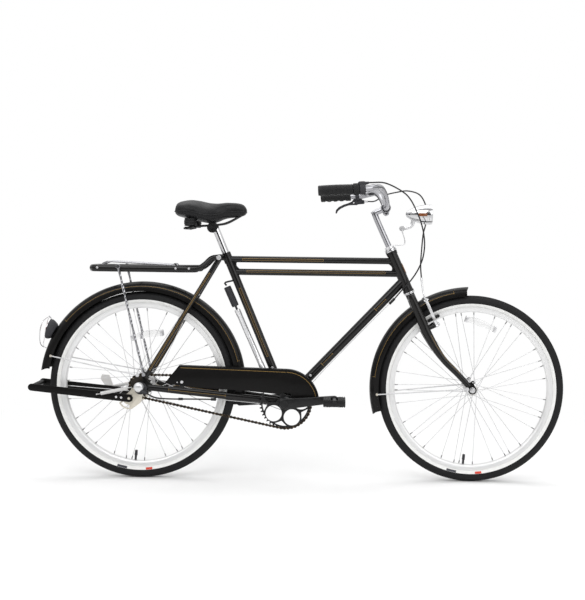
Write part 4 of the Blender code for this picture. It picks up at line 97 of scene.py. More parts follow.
# Edges sharper than this are eased.
CREASE = radians(40)
OVAL_SIDES = 28


class Side(Enum):
    """The rider's right is -Y and the rider's left is +Y."""

    RIGHT = -1
    LEFT = 1

    @property
    def word(self) -> str:
        """The side's name as node names have it."""
        return self.name.lower()


def at(x: float, z: float, y: float = 0.0) -> Vector:
    """The place of a point x forward of the rear hub, z over the ground and y to the left."""
    return Vector((REAR_HUB_X + x, y, z))


def arc(centre: tuple, radius: float, first: float, last: float, count: int) -> list[tuple]:
    """Points on a circle's arc between two angles in degrees, both ends included."""
    turns = [radians(first + (last - first) * i / (count - 1)) for i in range(count)]
    return [(centre[0] + radius * cos(a), centre[1] + radius * sin(a)) for a in turns]


def standing(origin: Place, direction: Place) -> Matrix:
    """A frame whose z axis runs along a direction.

    Args:
        origin: Where the frame stands.
        direction: The way its z axis points.

    Returns:
        The frame's matrix.
    """
    z_axis = Vector(direction).normalized()
    side = Vector((1, 0, 0)) if abs(z_axis.dot(SIDEWAYS)) > 0.9 else SIDEWAYS
    x_axis = side.cross(z_axis).normalized()
    return facing(origin, x_axis, z_axis.cross(x_axis), z_axis)


def spots(points: Iterable[tuple], way: int = 1) -> list[Vector]:
    """Places of (x, z, y) points, or of their mirror images where the way is -1."""
    return [at(x, z, y * way) for x, z, y in points]


def heading(start: tuple, end: tuple) -> Vector:
    """The unit direction from one side-view point to another."""
    return Vector((end[0] - start[0], end[1] - start[1])).normalized()


def facing(place: Place, *axes: Vector) -> Matrix:
    """A frame at a place, with its x, y and z axes."""
    return Matrix.Translation(Vector(place)) @ Matrix(axes).transposed().to_4x4()


def side_on(y: float) -> Matrix:
    """A frame whose x and y axes are the side view's x and z, and whose z axis points right."""
    return facing(at(0, 0, y), Vector((1, 0, 0)), Vector((0, 0, 1)), Vector((0, -1, 0)))


def across(point: tuple) -> Matrix:
    """A frame at a side-view point whose z axis points to the rider's left."""
    return standing(at(*point), SIDEWAYS)


def flowing(points: Iterable[Place], spacing: float) -> list[Vector]:
    """A smooth route through points.

    Args:
        points: What the route passes through.
        spacing: About how far apart the route's own points are.

    Returns:
        The route's points.
    """
    knots = [Vector(p) for p in points]
    ends = [2 * knots[0] - knots[1]] + knots + [2 * knots[-1] - knots[-2]]
    route = []
    for a, b, c, d in zip(ends, ends[1:], ends[2:], ends[3:]):
        steps = max(1, round((c - b).length / spacing))
        for i in range(steps):
            t = i / steps
            bend = 2 * b + (c - a) * t + (2 * a - 5 * b + 4 * c - d) * t**2
            route.append(0.5 * (bend + (3 * b - 3 * c + d - a) * t**3))
    return route + [knots[-1]]


class Signal:
    """A number in a material, so that shader maths reads as plain arithmetic."""

    def __init__(self, sheet: "Sheet", socket: bpy.types.NodeSocket) -> None:
        """Wrap one output socket of a sheet's tree."""
        self.sheet = sheet
        self.socket = socket

    def _maths(self, operation: str, *values: Number) -> "Signal":
        """The result of one more Math node, with its inputs in order."""
        sockets = dict(enumerate(values))
        return Signal(self.sheet, self.sheet.node("ShaderNodeMath", {"operation": operation}, sockets))

    def __add__(self, other: Number) -> "Signal":
        """Sum."""
        return self._maths("ADD", self, other)

    def __sub__(self, other: Number) -> "Signal":
        """Difference."""
        return self._maths("SUBTRACT", self, other)

    def __mul__(self, other: Number) -> "Signal":
        """Product."""
        return self._maths("MULTIPLY", self, other)

    def __abs__(self) -> "Signal":
        """Size without sign."""
        return self._maths("ABSOLUTE", self)

    def __lt__(self, other: Number) -> "Signal":
        """One where this is less than the other, else zero."""
        return self._maths("LESS_THAN", self, other)

    def sine(self) -> "Signal":
        """Sine of this angle."""
        return self._maths("SINE", self)

    def root(self) -> "Signal":
        """Square root."""
        return self._maths("SQRT", self)

    def either(self, other: "Signal") -> "Signal":
        """The larger of two masks."""
        return self._maths("MAXIMUM", self, other)

    def angle_of(self, across_part: "Signal") -> "Signal":
        """The angle whose upward part is this one and whose forward part is the other."""
        return self._maths("ARCTAN2", self, across_part)

    def band(self, middle: Number, half: float) -> "Signal":
        """One within half of the middle value, else zero."""
        return abs(self - middle) < half


class Sheet:
    """One material's node tree, with the pattern tools the finishes share."""

    def __init__(self, name: str) -> None:
        """Start a material that has the Principled shader.

        Args:
            name: The material's name.
        """
        self.material = bpy.data.materials.new(name)
        self.material.use_nodes = True
        self.tree = self.material.node_tree
        self.shader = self.tree.nodes["Principled BSDF"]
        self.place = self.node("ShaderNodeTexCoord", output="Object")
        parts = self.tree.nodes.new("ShaderNodeSeparateXYZ")
        self.tree.links.new(self.place, parts.inputs[0])
        self.x, self.y, self.z = (Signal(self, socket) for socket in parts.outputs)

    def node(
        self,
        kind: str,
        settings: Optional[dict] = None,
        sockets: Optional[dict] = None,
        output: Union[int, str] = 0,
    ) -> bpy.types.NodeSocket:
        """Add any node.

        Args:
            kind: The node's type.
            settings: Its properties, set first.
            sockets: Values or links of its inputs, by name or number.
            output: Which output is wanted.

        Returns:
            That output.
        """
        made = self.tree.nodes.new(kind)
        for key, value in (settings or {}).items():
            setattr(made, key, value)
        for key, value in (sockets or {}).items():
            self.feed(made.inputs[key], value)
        return made.outputs[output]

    def feed(self, socket: bpy.types.NodeSocket, value: object) -> None:
        """Link or set one input socket.

        Args:
            socket: The input.
            value: A signal, an output socket, a number or a colour.
        """
        if isinstance(value, Signal):
            value = value.socket
        if isinstance(value, bpy.types.NodeSocket):
            self.tree.links.new(value, socket)
        elif isinstance(value, tuple) and len(value) == 3 and len(socket.default_value) == 4:
            socket.default_value = (*value, 1.0)
        else:
            socket.default_value = value

    def surface(self, **values: object) -> None:
        """Feed the shader's own sockets, named with underscores for spaces."""
        for key, value in values.items():
            self.feed(self.shader.inputs[key.replace("_", " ").title().replace("Ior", "IOR")], value)

    def noise(self, scale: float, detail: float = 2.0, rough: float = 0.5) -> Signal:
        """Cloudy noise from 0 to 1 over the piece's own place."""
        sockets = {"Vector": self.place, "Scale": scale, "Detail": detail, "Roughness": rough}
        return Signal(self, self.node("ShaderNodeTexNoise", {}, sockets))

    def stretched_noise(self, stretch: Colour, scale: float) -> Signal:
        """Noise drawn out along an axis, for brushed and drawn metal.

        Args:
            stretch: The scale along each axis.
            scale: The noise's own scale.

        Returns:
            The noise.
        """
        mapping = self.node("ShaderNodeMapping", {}, {"Vector": self.place, "Scale": stretch})
        sockets = {"Vector": mapping, "Scale": scale, "Detail": 3.0}
        return Signal(self, self.node("ShaderNodeTexNoise", {}, sockets))

    def cells(self, scale: float) -> Signal:
        """Distance to the nearest of many scattered points, for grain.

        Args:
            scale: How close the points are.

        Returns:
            The distance.
        """
        return Signal(
            self, self.node("ShaderNodeTexVoronoi", {}, {"Vector": self.place, "Scale": scale})
        )

    def span(self, value: Signal, low: float, high: float, first: float, last: float) -> Signal:
        """Carry a value from one range smoothly to another.

        Args:
            value: What is carried.
            low: Start of its range.
            high: End of its range.
            first: What low becomes.
            last: What high becomes.

        Returns:
            The carried value.
        """
        sockets = {"Value": value, "From Min": low, "From Max": high, "To Min": first, "To Max": last}
        return Signal(
            self, self.node("ShaderNodeMapRange", {"interpolation_type": "SMOOTHSTEP"}, sockets)
        )

    def mix(self, factor: Number, first: object, second: object) -> bpy.types.NodeSocket:
        """Mix two colours.

        Args:
            factor: Share of the second.
            first: A colour or a colour socket.
            second: A colour or a colour socket.

        Returns:
            The mixed colour.
        """
        made = self.tree.nodes.new("ShaderNodeMix")
        made.data_type = "RGBA"
        self.feed(made.inputs[0], factor)
        self.feed(made.inputs[6], first)
        self.feed(made.inputs[7], second)
        return made.outputs[2]

    def bump(self, height: Signal, distance: float, strength: float = 1.0) -> None:
        """Raise the surface by a height from 0 to 1 whose full size is a distance in metres."""
        sockets = {"Height": height, "Distance": distance, "Strength": strength}
        self.surface(normal=self.node("ShaderNodeBump", {}, sockets))

    def about(self, hub: tuple) -> tuple[Signal, Signal]:
        """Distance from a side-view point and the angle round it.

        Args:
            hub: The side-view point.

        Returns:
            The distance in metres and the angle in radians.
        """
        right = self.x - (REAR_HUB_X + hub[0])
        up = self.z - hub[1]
        return (right * right + up * up).root(), up.angle_of(right)

    def stroke(self, start: tuple, end: tuple, half: float) -> Signal:
        """A straight painted line in the side view.

        Args:
            start: Its first side-view point.
            end: Its last side-view point.
            half: Half its width.

        Returns:
            A mask of the line.
        """
        run = Vector((end[0] - start[0], end[1] - start[1]))
        length = run.length
        run.normalize()
        right = self.x - (REAR_HUB_X + start[0])
        up = self.z - start[1]
        along = right * run.x + up * run.y
        off = up * run.x - right * run.y
        return along.band(length / 2, length / 2) * off.band(0.0, half)

    def ring(self, hub: tuple, radius: float, half: float, first: float, last: float) -> Signal:
        """A painted arc in the side view.

        Args:
            hub: The arc's centre.
            radius: Its radius.
            half: Half its width.
            first: Its first angle in degrees, between -180 and 180.
            last: Its last angle.

        Returns:
            A mask of the arc.
        """
        reach, turn = self.about(hub)
        middle = radians((first + last) / 2)
        return reach.band(radius, half) * turn.band(middle, radians(abs(last - first) / 2))


@dataclass(frozen=True)
class Finish:
    """What every finish has: a name, a slot and its plain colour."""

    name: str
    slot: str
    colour: Colour

    def draw(self, sheet: Sheet) -> None:
        """Lay the finish on a sheet; each finish has its own way."""
        raise NotImplementedError

    def material(self) -> bpy.types.Material:
        """The finish's material, made once.

        Returns:
            The material.
        """
        made = bpy.data.materials.get(self.name)
        if made is None:
            sheet = Sheet(self.name)
            self.draw(sheet)
            made = sheet.material
        return made


GOLD = (0.22, 0.14, 0.045)


@dataclass(frozen=True)
class Line:
    """One gold line: a straight one, or an arc round a hub."""

    start: tuple
    end: tuple
    half: float = 0.0006
    hub: Optional[tuple] = None

    def mask(self, sheet: Sheet) -> Signal:
        """The line's mask; an arc's start is (radius, first degrees) and its end (radius, last).

        Args:
            sheet: The sheet it is drawn on.

        Returns:
            The mask.
        """
        if self.hub is None:
            return sheet.stroke(self.start, self.end, self.half)
        return sheet.ring(self.hub, self.start[0], self.half, self.start[1], self.end[1])


@dataclass(frozen=True)
class Enamel(Finish):
    """Black gloss stove enamel, with gold lining where the piece has it."""

    lines: tuple = ()
    gloss: float = 0.18
    shine: float = 0.26

    def draw(self, sheet: Sheet) -> None:
        """Lay a deep coat with a faint ripple, a cloudy gloss and the gold lines.

        Args:
            sheet: The material's sheet.
        """
        cloud = sheet.noise(9.0, 3.0)
        base = sheet.mix(cloud, self.colour, tuple(c * 1.3 for c in self.colour))
        sheet.surface(specular_ior_level=self.shine, coat_weight=self.shine * 0.5, coat_roughness=0.08)
        rough = sheet.span(sheet.noise(24.0, 3.0), 0.3, 0.75, self.gloss, self.gloss + 0.08)
        mask = None
        for line in self.lines:
            here = line.mask(sheet)
            mask = here if mask is None else mask.either(here)
        if mask is not None:
            base = sheet.mix(mask, base, GOLD)
            sheet.surface(metallic=mask * 0.35)
            rough = rough + mask * 0.2
        sheet.surface(base_color=base, roughness=rough)
        sheet.bump(sheet.noise(60.0, 1.0), 0.00003, 0.3)


@dataclass(frozen=True)
class Chrome(Finish):
    """Bright plating with a faint cloudy haze."""

    rough: float = 0.06

    def draw(self, sheet: Sheet) -> None:
        """Lay the plating.

        Args:
            sheet: The material's sheet.
        """
        cloud = sheet.noise(18.0, 3.0)
        haze = sheet.span(cloud, 0.35, 0.75, self.rough, self.rough + 0.05)
        tint = sheet.mix(cloud, self.colour, tuple(c * 0.92 for c in self.colour))
        sheet.surface(base_color=tint, metallic=1.0, roughness=haze)
        sheet.bump(sheet.noise(90.0), 0.000004, 0.1)


@dataclass(frozen=True)
class Alloy(Finish):
    """Satin aluminium turned round a hub, with fine circular marks."""

    hub: Optional[tuple] = None
    rough: float = 0.3
    metal: float = 0.7

    def draw(self, sheet: Sheet) -> None:
        """Lay the satin metal with marks round the hub, or straight ones if it has none.

        Args:
            sheet: The material's sheet.
        """
        if self.hub:
            reach, _ = sheet.about(self.hub)
            marks = (reach * 3200.0).sine() * 0.5 + 0.5
        else:
            marks = sheet.stretched_noise((1.0, 1.0, 8.0), 300.0)
        cloud = sheet.noise(22.0, 3.0)
        tint = sheet.mix(cloud, self.colour, tuple(c * 0.96 for c in self.colour))
        rough = sheet.span(cloud * 0.7 + marks * 0.3, 0.2, 0.8, self.rough - 0.04, self.rough + 0.08)
        sheet.surface(base_color=tint, metallic=self.metal, roughness=rough)
        sheet.bump(marks, 0.00001, 0.1)


@dataclass(frozen=True)
class Plated(Finish):
    """Zinc plate or plain steel: dull, with a yellow and grey bloom."""

    bloom: Colour = (0.6, 0.52, 0.36)
    rough: float = 0.36
    metal: float = 0.9

    def draw(self, sheet: Sheet) -> None:
        """Lay the plate with its bloom and small pits.

        Args:
            sheet: The material's sheet.
        """
        cloud = sheet.noise(48.0, 5.0, 0.6)
        share = sheet.span(cloud, 0.35, 0.7, 0.0, 0.8)
        pits = sheet.span(sheet.cells(900.0), 0.0, 0.4, 0.0, 1.0)
        sheet.surface(
            base_color=sheet.mix(share, self.colour, self.bloom),
            metallic=self.metal,
            roughness=sheet.span(cloud, 0.3, 0.7, self.rough, self.rough + 0.1),
        )
        sheet.bump(pits, 0.00002, 0.2)


@dataclass(frozen=True)
class Grained(Finish):
    """Moulded plastic, vinyl or rubber with an even grain."""

    rough: float = 0.5
    grain: float = 900.0
    depth: float = 0.0001
    shine: float = 0.3

    def draw(self, sheet: Sheet) -> None:
        """Lay the moulding with its grain and a little rubbed shine.

        Args:
            sheet: The material's sheet.
        """
        cloud = sheet.noise(30.0, 4.0)
        grain = sheet.span(sheet.cells(self.grain), 0.0, 0.7, 0.0, 1.0)
        tint = sheet.mix(cloud, self.colour, tuple(c * 1.5 + 0.002 for c in self.colour))
        rough = sheet.span(cloud + grain * 0.15, 0.3, 0.8, self.rough - 0.08, self.rough + 0.12)
        sheet.surface(base_color=tint, roughness=rough, specular_ior_level=self.shine)
        sheet.bump(grain, self.depth, 0.6)


@dataclass(frozen=True)
class TyreRubber(Finish):
    """Black tyre rubber with a white side wall and two plain short stripes on it."""

    hub: tuple = REAR_HUB
    wall_inner: float = 0.2865
    wall_outer: float = 0.2985

    def draw(self, sheet: Sheet) -> None:
        """Lay the rubber, the white wall with its fine moulded rings, and the stripes.

        Args:
            sheet: The material's sheet.
        """
        reach, turn = sheet.about(self.hub)
        wall = reach.band(
            (self.wall_inner + self.wall_outer) / 2, (self.wall_outer - self.wall_inner) / 2
        )
        dirt = sheet.span(sheet.noise(60.0, 5.0), 0.3, 0.8, 0.0, 0.5)
        white = sheet.mix(dirt, (0.74, 0.74, 0.73), (0.62, 0.62, 0.6))
        stripe = reach.band(0.2945, 0.0036)
        dark = stripe * turn.band(radians(-103.0), radians(3.4))
        red = stripe * turn.band(radians(-84.5), radians(2.2))
        white = sheet.mix(dark, white, (0.05, 0.05, 0.06))
        white = sheet.mix(red, white, (0.55, 0.05, 0.03))
        dust = sheet.span(sheet.noise(90.0, 5.0), 0.35, 0.75, 0.0, 1.0)
        black = sheet.mix(dust, self.colour, tuple(c * 1.7 for c in self.colour))
        rings = (reach * 4200.0).sine() * 0.5 + 0.5
        sheet.surface(
            base_color=sheet.mix(wall, black, white),
            roughness=sheet.span(dust, 0.0, 1.0, 0.62, 0.8),
            specular_ior_level=0.2,
        )
        sheet.bump(rings * 0.6 + sheet.noise(1400.0) * 0.4, 0.0001, 0.5)


@dataclass(frozen=True)
class Lens(Finish):
    """Clear or coloured moulded plastic with small prisms."""

    prisms: float = 420.0
    clear: float = 0.75

    def draw(self, sheet: Sheet) -> None:
        """Lay the lens with its prisms.

        Args:
            sheet: The material's sheet.
        """
        wave = (sheet.y * self.prisms).sine() * (sheet.z * self.prisms).sine()
        cloud = sheet.noise(50.0)
        sheet.surface(
            base_color=sheet.mix(cloud, self.colour, tuple(c * 0.85 for c in self.colour)),
            roughness=sheet.span(cloud, 0.3, 0.7, 0.05, 0.16),
            transmission_weight=self.clear,
            ior=1.45,
        )
        sheet.bump(wave * 0.5 + 0.5, 0.0006, 0.5 - 0.45 * self.clear)


@dataclass(frozen=True)
class ChainSteel(Finish):
    """Brown oiled chain steel, bright where the plates rub."""

    def draw(self, sheet: Sheet) -> None:
        """Lay the steel and its oil.

        Args:
            sheet: The material's sheet.
        """
        oil = sheet.noise(240.0, 5.0)
        share = sheet.span(oil, 0.35, 0.65, 0.0, 1.0)
        sheet.surface(
            base_color=sheet.mix(share, self.colour, tuple(c * 1.6 for c in self.colour)),
            metallic=0.85,
            roughness=sheet.span(oil, 0.3, 0.7, 0.3, 0.52),
        )
        sheet.bump(oil, 0.00008, 0.5)


def clear() -> None:
    """Leave edit mode and deselect everything."""
    active = bpy.context.view_layer.objects.active
    if active is not None and active.mode != "OBJECT":
        bpy.ops.object.mode_set(mode="OBJECT")
    bpy.ops.object.select_all(action="DESELECT")


def pick(*pieces: Piece) -> Piece:
    """Select pieces and make the first the active one.

    Args:
        pieces: What is selected.

    Returns:
        The active piece.
    """
    clear()
    for piece in pieces:
        piece.select_set(True)
    bpy.context.view_layer.objects.active = pieces[0]
    return pieces[0]


def settle(piece: Piece, frame: Optional[Matrix] = None) -> Piece:
    """Put a piece where it belongs and move its place into its mesh.

    Args:
        piece: The piece.
        frame: Where it is put, if it isn't there yet.

    Returns:
        The piece.
    """
    pick(piece)
    if frame is not None:
        piece.matrix_world = frame @ piece.matrix_world
    bpy.ops.object.transform_apply(location=True, rotation=True, scale=True)
    return piece


def tidy(piece: Piece, merge: float = 1e-6) -> Piece:
    """Merge doubles and turn all faces outwards.

    Args:
        piece: The piece.
        merge: How near two points are one.

    Returns:
        The piece.
    """
    pick(piece)
    bpy.ops.object.mode_set(mode="EDIT")
    bpy.ops.mesh.select_all(action="SELECT")
    bpy.ops.mesh.remove_doubles(threshold=merge)
    bpy.ops.mesh.dissolve_degenerate(threshold=1e-7)
    bpy.ops.mesh.normals_make_consistent(inside=False)
    bpy.ops.object.mode_set(mode="OBJECT")
    return piece


def chain(points: Sequence[Place]) -> Piece:
    """Draw a line of points by extruding one point; it stays in edit mode.

    Args:
        points: The line's points.

    Returns:
        The new object.
    """
    clear()
    bpy.ops.mesh.primitive_plane_add(size=0.01)
    drawn = bpy.context.object
    bpy.ops.object.mode_set(mode="EDIT")
    bpy.ops.mesh.select_mode(type="VERT")
    bpy.ops.mesh.select_all(action="SELECT")
    bpy.ops.mesh.merge(type="CENTER")
    stops = [Vector(p) for p in points]
    bpy.ops.transform.translate(value=stops[0])
    for here, there in zip(stops, stops[1:]):
        bpy.ops.mesh.extrude_region_move(TRANSFORM_OT_translate={"value": there - here})
    return drawn


def turned(
    name: str, profile: Sequence[tuple], frame: Matrix, steps: int = 48, closed: bool = False
) -> Piece:
    """Spin a profile of (radius, height) pairs about a frame's z axis.

    Args:
        name: The piece's name.
        profile: The pairs; the ends of an open one are on the axis.
        frame: Where the piece stands.
        steps: How many steps round.
        closed: Whether the profile is a ring, as of a tyre.

    Returns:
        The piece.
    """
    points = [(radius, 0.0, height) for radius, height in profile]
    if closed:
        points.append(points[0])
    piece = chain(points)
    bpy.ops.mesh.select_all(action="SELECT")
    bpy.ops.mesh.spin(steps=steps, angle=tau, center=(0, 0, 0), axis=(0, 0, 1))
    bpy.ops.object.mode_set(mode="OBJECT")
    piece.name = name
    tidy(piece, 2e-6)
    return settle(piece, frame)


def bar(
    name: str,
    start: Place,
    end: Place,
    radius: float,
    end_radius: Optional[float] = None,
    sides: int = 32,
    bevel: float = 0.0,
) -> Piece:
    """A round bar, tapered or not, with eased edges.

    Args:
        name: The piece's name.
        start: Middle of its first end.
        end: Middle of its last end.
        radius: Radius at the start.
        end_radius: Radius at the end, if another.
        sides: How many sides it has.
        bevel: How much its edges are eased.

    Returns:
        The piece.
    """
    first, last = Vector(start), Vector(end)
    clear()
    bpy.ops.mesh.primitive_cone_add(
        vertices=sides,
        radius1=radius,
        radius2=radius if end_radius is None else end_radius,
        depth=(last - first).length,
    )
    piece = bpy.context.object
    piece.name = name
    settle(piece, standing((first + last) / 2, last - first))
    return eased(piece, bevel, 1) if bevel else piece


def stub(
    name: str,
    spot: Vector,
    way: Vector,
    near: float,
    far: float,
    radius: float,
    sides: int = 32,
    bevel: float = 0.0,
) -> Piece:
    """A bar on a line through a place, from one distance along it to another."""
    return bar(name, spot + way * near, spot + way * far, radius, None, sides, bevel)


def rod(
    name: str,
    point: tuple,
    near: float,
    far: float,
    radius: float,
    end_radius: Optional[float] = None,
    sides: int = 32,
    bevel: float = 0.0,
) -> Piece:
    """A bar that lies crosswise at a side-view point, from one y to another."""
    return bar(name, at(*point, near), at(*point, far), radius, end_radius, sides, bevel)


def pipe(name: str, start: Place, end: Place, radius: float, bore: float, sides: int = 32) -> Piece:
    """A tube open at both ends, with eased rims.

    Args:
        name: The piece's name.
        start: Middle of its first end.
        end: Middle of its last end.
        radius: Outer radius.
        bore: Inner radius.
        sides: How many sides it has.

    Returns:
        The piece.
    """
    length = (Vector(end) - Vector(start)).length
    ease = (radius - bore) * 0.25
    profile = [(bore, ease), (bore + ease, 0), (radius - ease, 0), (radius, ease)]
    profile += [(r, length - h) for r, h in reversed(profile)]
    frame = standing(start, Vector(end) - Vector(start))
    return turned(name, profile, frame, sides, closed=True)


def swept(
    name: str,
    route: Sequence[Place],
    radius: Union[float, Sequence[float]],
    resolution: int = 6,
) -> Piece:
    """A round bar along a route.

    Args:
        name: The piece's name.
        route: Its middle line.
        radius: One radius, or one for each point.
        resolution: How round it is.

    Returns:
        The piece.
    """
    clear()
    bpy.ops.curve.primitive_bezier_curve_add()
    piece = bpy.context.object
    piece.name = name
    piece.data.dimensions = "3D"
    piece.data.splines.clear()
    spline = piece.data.splines.new("POLY")
    spline.points.add(len(route) - 1)
    widest = radius if isinstance(radius, float) else max(radius)
    for index, (knot, here) in enumerate(zip(spline.points, route)):
        knot.co = (*here, 1.0)
        knot.radius = 1.0 if isinstance(radius, float) else radius[index] / widest
    piece.data.bevel_depth = widest
    piece.data.bevel_resolution = resolution
    piece.data.use_fill_caps = True
    pick(piece)
    bpy.ops.object.convert(target="MESH")
    return tidy(bpy.context.object)


def oval(
    name: str,
    route: Sequence[Vector],
    tall: Sequence[float],
    wide: Sequence[float],
    lean: Optional[Vector] = None,
) -> Piece:
    """A bar of oval section along a route.

    Args:
        name: The piece's name.
        route: Its middle line.
        tall: Half its height at each point.
        wide: Half its width at each point.
        lean: About which way its width lies; level if none is given.

    Returns:
        The piece.
    """
    rings = []
    last = len(route) - 1
    for index, here in enumerate(route):
        run = (route[min(index + 1, last)] - route[max(index - 1, 0)]).normalized()
        flat = run.cross(Vector((0, 0, 1))) if lean is None else lean - run * lean.dot(run)
        flat.normalize()
        rise = flat.cross(run)
        turns = [tau * step / OVAL_SIDES for step in range(OVAL_SIDES)]
        rings.append([here + flat * wide[index] * cos(t) + rise * tall[index] * sin(t) for t in turns])
    return loft(name, rings)


def slab(
    name: str,
    outline: Sequence[tuple],
    thickness: float,
    frame: Matrix,
    bevel: float = 0.0,
    segments: int = 2,
) -> Piece:
    """A plate: a drawn outline, filled and extruded.

    Args:
        name: The piece's name.
        outline: Its (x, y) points in the frame.
        thickness: How thick it is along the frame's z axis.
        frame: Where it stands.
        bevel: How much its edges are eased.
        segments: Steps in each eased edge.

    Returns:
        The piece.
    """
    piece = chain([(x, y, 0.0) for x, y in outline])
    bpy.ops.mesh.select_all(action="SELECT")
    bpy.ops.mesh.edge_face_add()
    bpy.ops.mesh.extrude_region_move(TRANSFORM_OT_translate={"value": (0, 0, thickness)})
    bpy.ops.object.mode_set(mode="OBJECT")
    piece.name = name
    tidy(piece)
    settle(piece, frame)
    return eased(piece, bevel, segments) if bevel else piece


def eased(piece: Piece, width: float, segments: int = 2) -> Piece:
    """Round a piece's sharp edges.

    Args:
        piece: The piece.
        width: How wide the rounding is.
        segments: Its steps.

    Returns:
        The piece.
    """
    ease = piece.modifiers.new("ease", "BEVEL")
    ease.width = width
    ease.segments = segments
    ease.limit_method = "ANGLE"
    ease.angle_limit = CREASE
    ease.use_clamp_overlap = True
    return apply(piece, ease)


def apply(piece: Piece, modifier: bpy.types.Modifier) -> Piece:
    """Apply one modifier.

    Args:
        piece: The piece.
        modifier: The modifier.

    Returns:
        The piece.
    """
    pick(piece)
    bpy.ops.object.modifier_apply(modifier=modifier.name)
    return piece


def cut(body: Piece, tool: Piece) -> Piece:
    """Cut a tool out of a body and put the tool away.

    Args:
        body: The body.
        tool: The tool.

    Returns:
        The body.
    """
    change = body.modifiers.new("change", "BOOLEAN")
    change.operation = "DIFFERENCE"
    change.solver = "EXACT"
    change.object = tool
    apply(body, change)
    bpy.data.objects.remove(tool, do_unlink=True)
    return body


def drilled(body: Piece, holes: Sequence[tuple], sides: int = 28) -> Piece:
    """Drill round holes, each of them given by its start, end and radius."""
    tools = [bar("drill", start, end, radius, sides=sides) for start, end, radius in holes]
    return cut(body, joined("drill", tools))


def bored(body: Piece, point: tuple, near: float, far: float, radius: float, sides: int = 28) -> Piece:
    """Drill one crosswise hole at a side-view point, from one y to another."""
    return drilled(body, [(at(*point, near), at(*point, far), radius)], sides)


def joined(name: str, pieces: Sequence[Piece]) -> Piece:
    """Join pieces into one object.

    Args:
        name: Its name.
        pieces: The pieces.

    Returns:
        The one object.
    """
    pick(*pieces)
    if len(pieces) > 1:
        bpy.ops.object.join()
    made = bpy.context.view_layer.objects.active
    made.name = name
    return made


def repeated(name: str, pattern: Piece, frames: Sequence[Matrix]) -> Piece:
    """Copy a pattern to many places, each copy with its own mesh, and join the copies.

    Args:
        name: The name of the whole.
        pattern: What is copied; it is put away.
        frames: Where each copy goes.

    Returns:
        The whole.
    """
    copies = []
    for frame in frames:
        copy = pattern.copy()
        copy.data = pattern.data.copy()
        bpy.context.scene.collection.objects.link(copy)
        copy.matrix_world = frame
        copies.append(copy)
    bpy.data.objects.remove(pattern, do_unlink=True)
    whole = joined(name, copies)
    return settle(whole)


def loft(name: str, rings: Sequence[Sequence[Place]]) -> Piece:
    """A skin through rings of points that have one count, closed at both ends.

    Args:
        name: The piece's name.
        rings: The rings in order.

    Returns:
        The piece.
    """
    size = len(rings[0])
    clear()
    bpy.ops.mesh.primitive_grid_add(x_subdivisions=size, y_subdivisions=len(rings) - 1, size=1)
    piece = bpy.context.object
    piece.name = name
    order = sorted(piece.data.vertices, key=lambda v: (round(v.co.y, 5), round(v.co.x, 5)))
    for row, ring in enumerate(rings):
        for column in range(size + 1):
            order[row * (size + 1) + column].co = ring[column % size]
    tidy(piece, 1e-7)
    bpy.ops.object.mode_set(mode="EDIT")
    bpy.ops.mesh.select_all(action="DESELECT")
    bpy.ops.mesh.select_non_manifold(use_multi_face=False, use_non_contiguous=False)
    bpy.ops.mesh.edge_face_add()
    bpy.ops.mesh.select_all(action="SELECT")
    bpy.ops.mesh.normals_make_consistent(inside=False)
    bpy.ops.object.mode_set(mode="OBJECT")
    return piece


@dataclass
class Assembly:
    """What every sub-assembly has: the CAD body it rides on and a way to dress its pieces."""

    body: str = "frame"

    def dress(
        self,
        piece: Piece,
        finish: Finish,
        *nodes: str,
        body: str = "",
        smooth: float = 35.0,
    ) -> Piece:
        """Finish a piece, hang it on its body and hide the CAD nodes it stands for.

        Args:
            piece: The piece.
            finish: Its finish.
            nodes: The CAD nodes that it replaces.
            body: The CAD body it moves with, if not the assembly's own.
            smooth: Edges flatter than this many degrees are smooth.

        Returns:
            The piece.
        """
        piece.data.materials.clear()
        piece.data.materials.append(finish.material())
        if piece.type == "MESH":
            pick(piece)
            bpy.ops.object.shade_smooth_by_angle(angle=radians(smooth))
        clear()
        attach(piece, body or self.body)
        if nodes:
            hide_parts(*nodes)
        LOG.info("%s on %s", piece.name, body or self.body)
        return piece

    def fit(
        self,
        name: str,
        pieces: Sequence[Piece],
        finish: Finish,
        *nodes: str,
        body: str = "",
        smooth: float = 35.0,
    ) -> Piece:
        """Join pieces under one name and dress them."""
        return self.dress(joined(name, pieces), finish, *nodes, body=body, smooth=smooth)

    def build(self) -> None:
        """Model and dress every piece; each sub-assembly has its own way."""
        raise NotImplementedError


PAINT = (0.0042, 0.0039, 0.0038)
BRIGHT = (0.64, 0.64, 0.65)
ENAMEL = Enamel("black_enamel", "black_paint", PAINT)
DULL_ENAMEL = Enamel("dull_enamel", "black_paint", PAINT, (), 0.4, 0.1)
CHROME = Chrome("bright_chrome", "chrome", BRIGHT, 0.07)
GREY_CHROME = Chrome("grey_chrome", "chrome", (0.42, 0.42, 0.44), 0.16)
SATIN = Alloy("satin_alloy", "alloy", (0.7, 0.7, 0.71))
BRASS = Plated("badge_brass", "alloy", (0.2, 0.09, 0.035), (0.1, 0.05, 0.02), 0.4, 0.5)
DULL_STEEL = Plated("dull_steel", "steel", (0.6, 0.6, 0.61), (0.52, 0.51, 0.48), 0.3)
ZINC = Plated("zinc_plate", "zinc_plate", (0.72, 0.69, 0.65), (0.66, 0.6, 0.5), 0.4, 0.5)
PALE = Plated("pale_plate", "zinc_plate", (0.66, 0.66, 0.66), (0.6, 0.58, 0.56), 0.4, 0.4)
SPOKE_STEEL = Plated("spoke_steel", "steel", (0.6, 0.6, 0.61), (0.52, 0.52, 0.52), 0.35, 0.4)
DARK_STEEL = Plated("dark_steel", "steel", (0.03, 0.026, 0.022), (0.05, 0.04, 0.03), 0.4, 0.6)
NIPPLE = Plated("nipple_steel", "steel", (0.22, 0.22, 0.22), (0.15, 0.15, 0.15), 0.35)
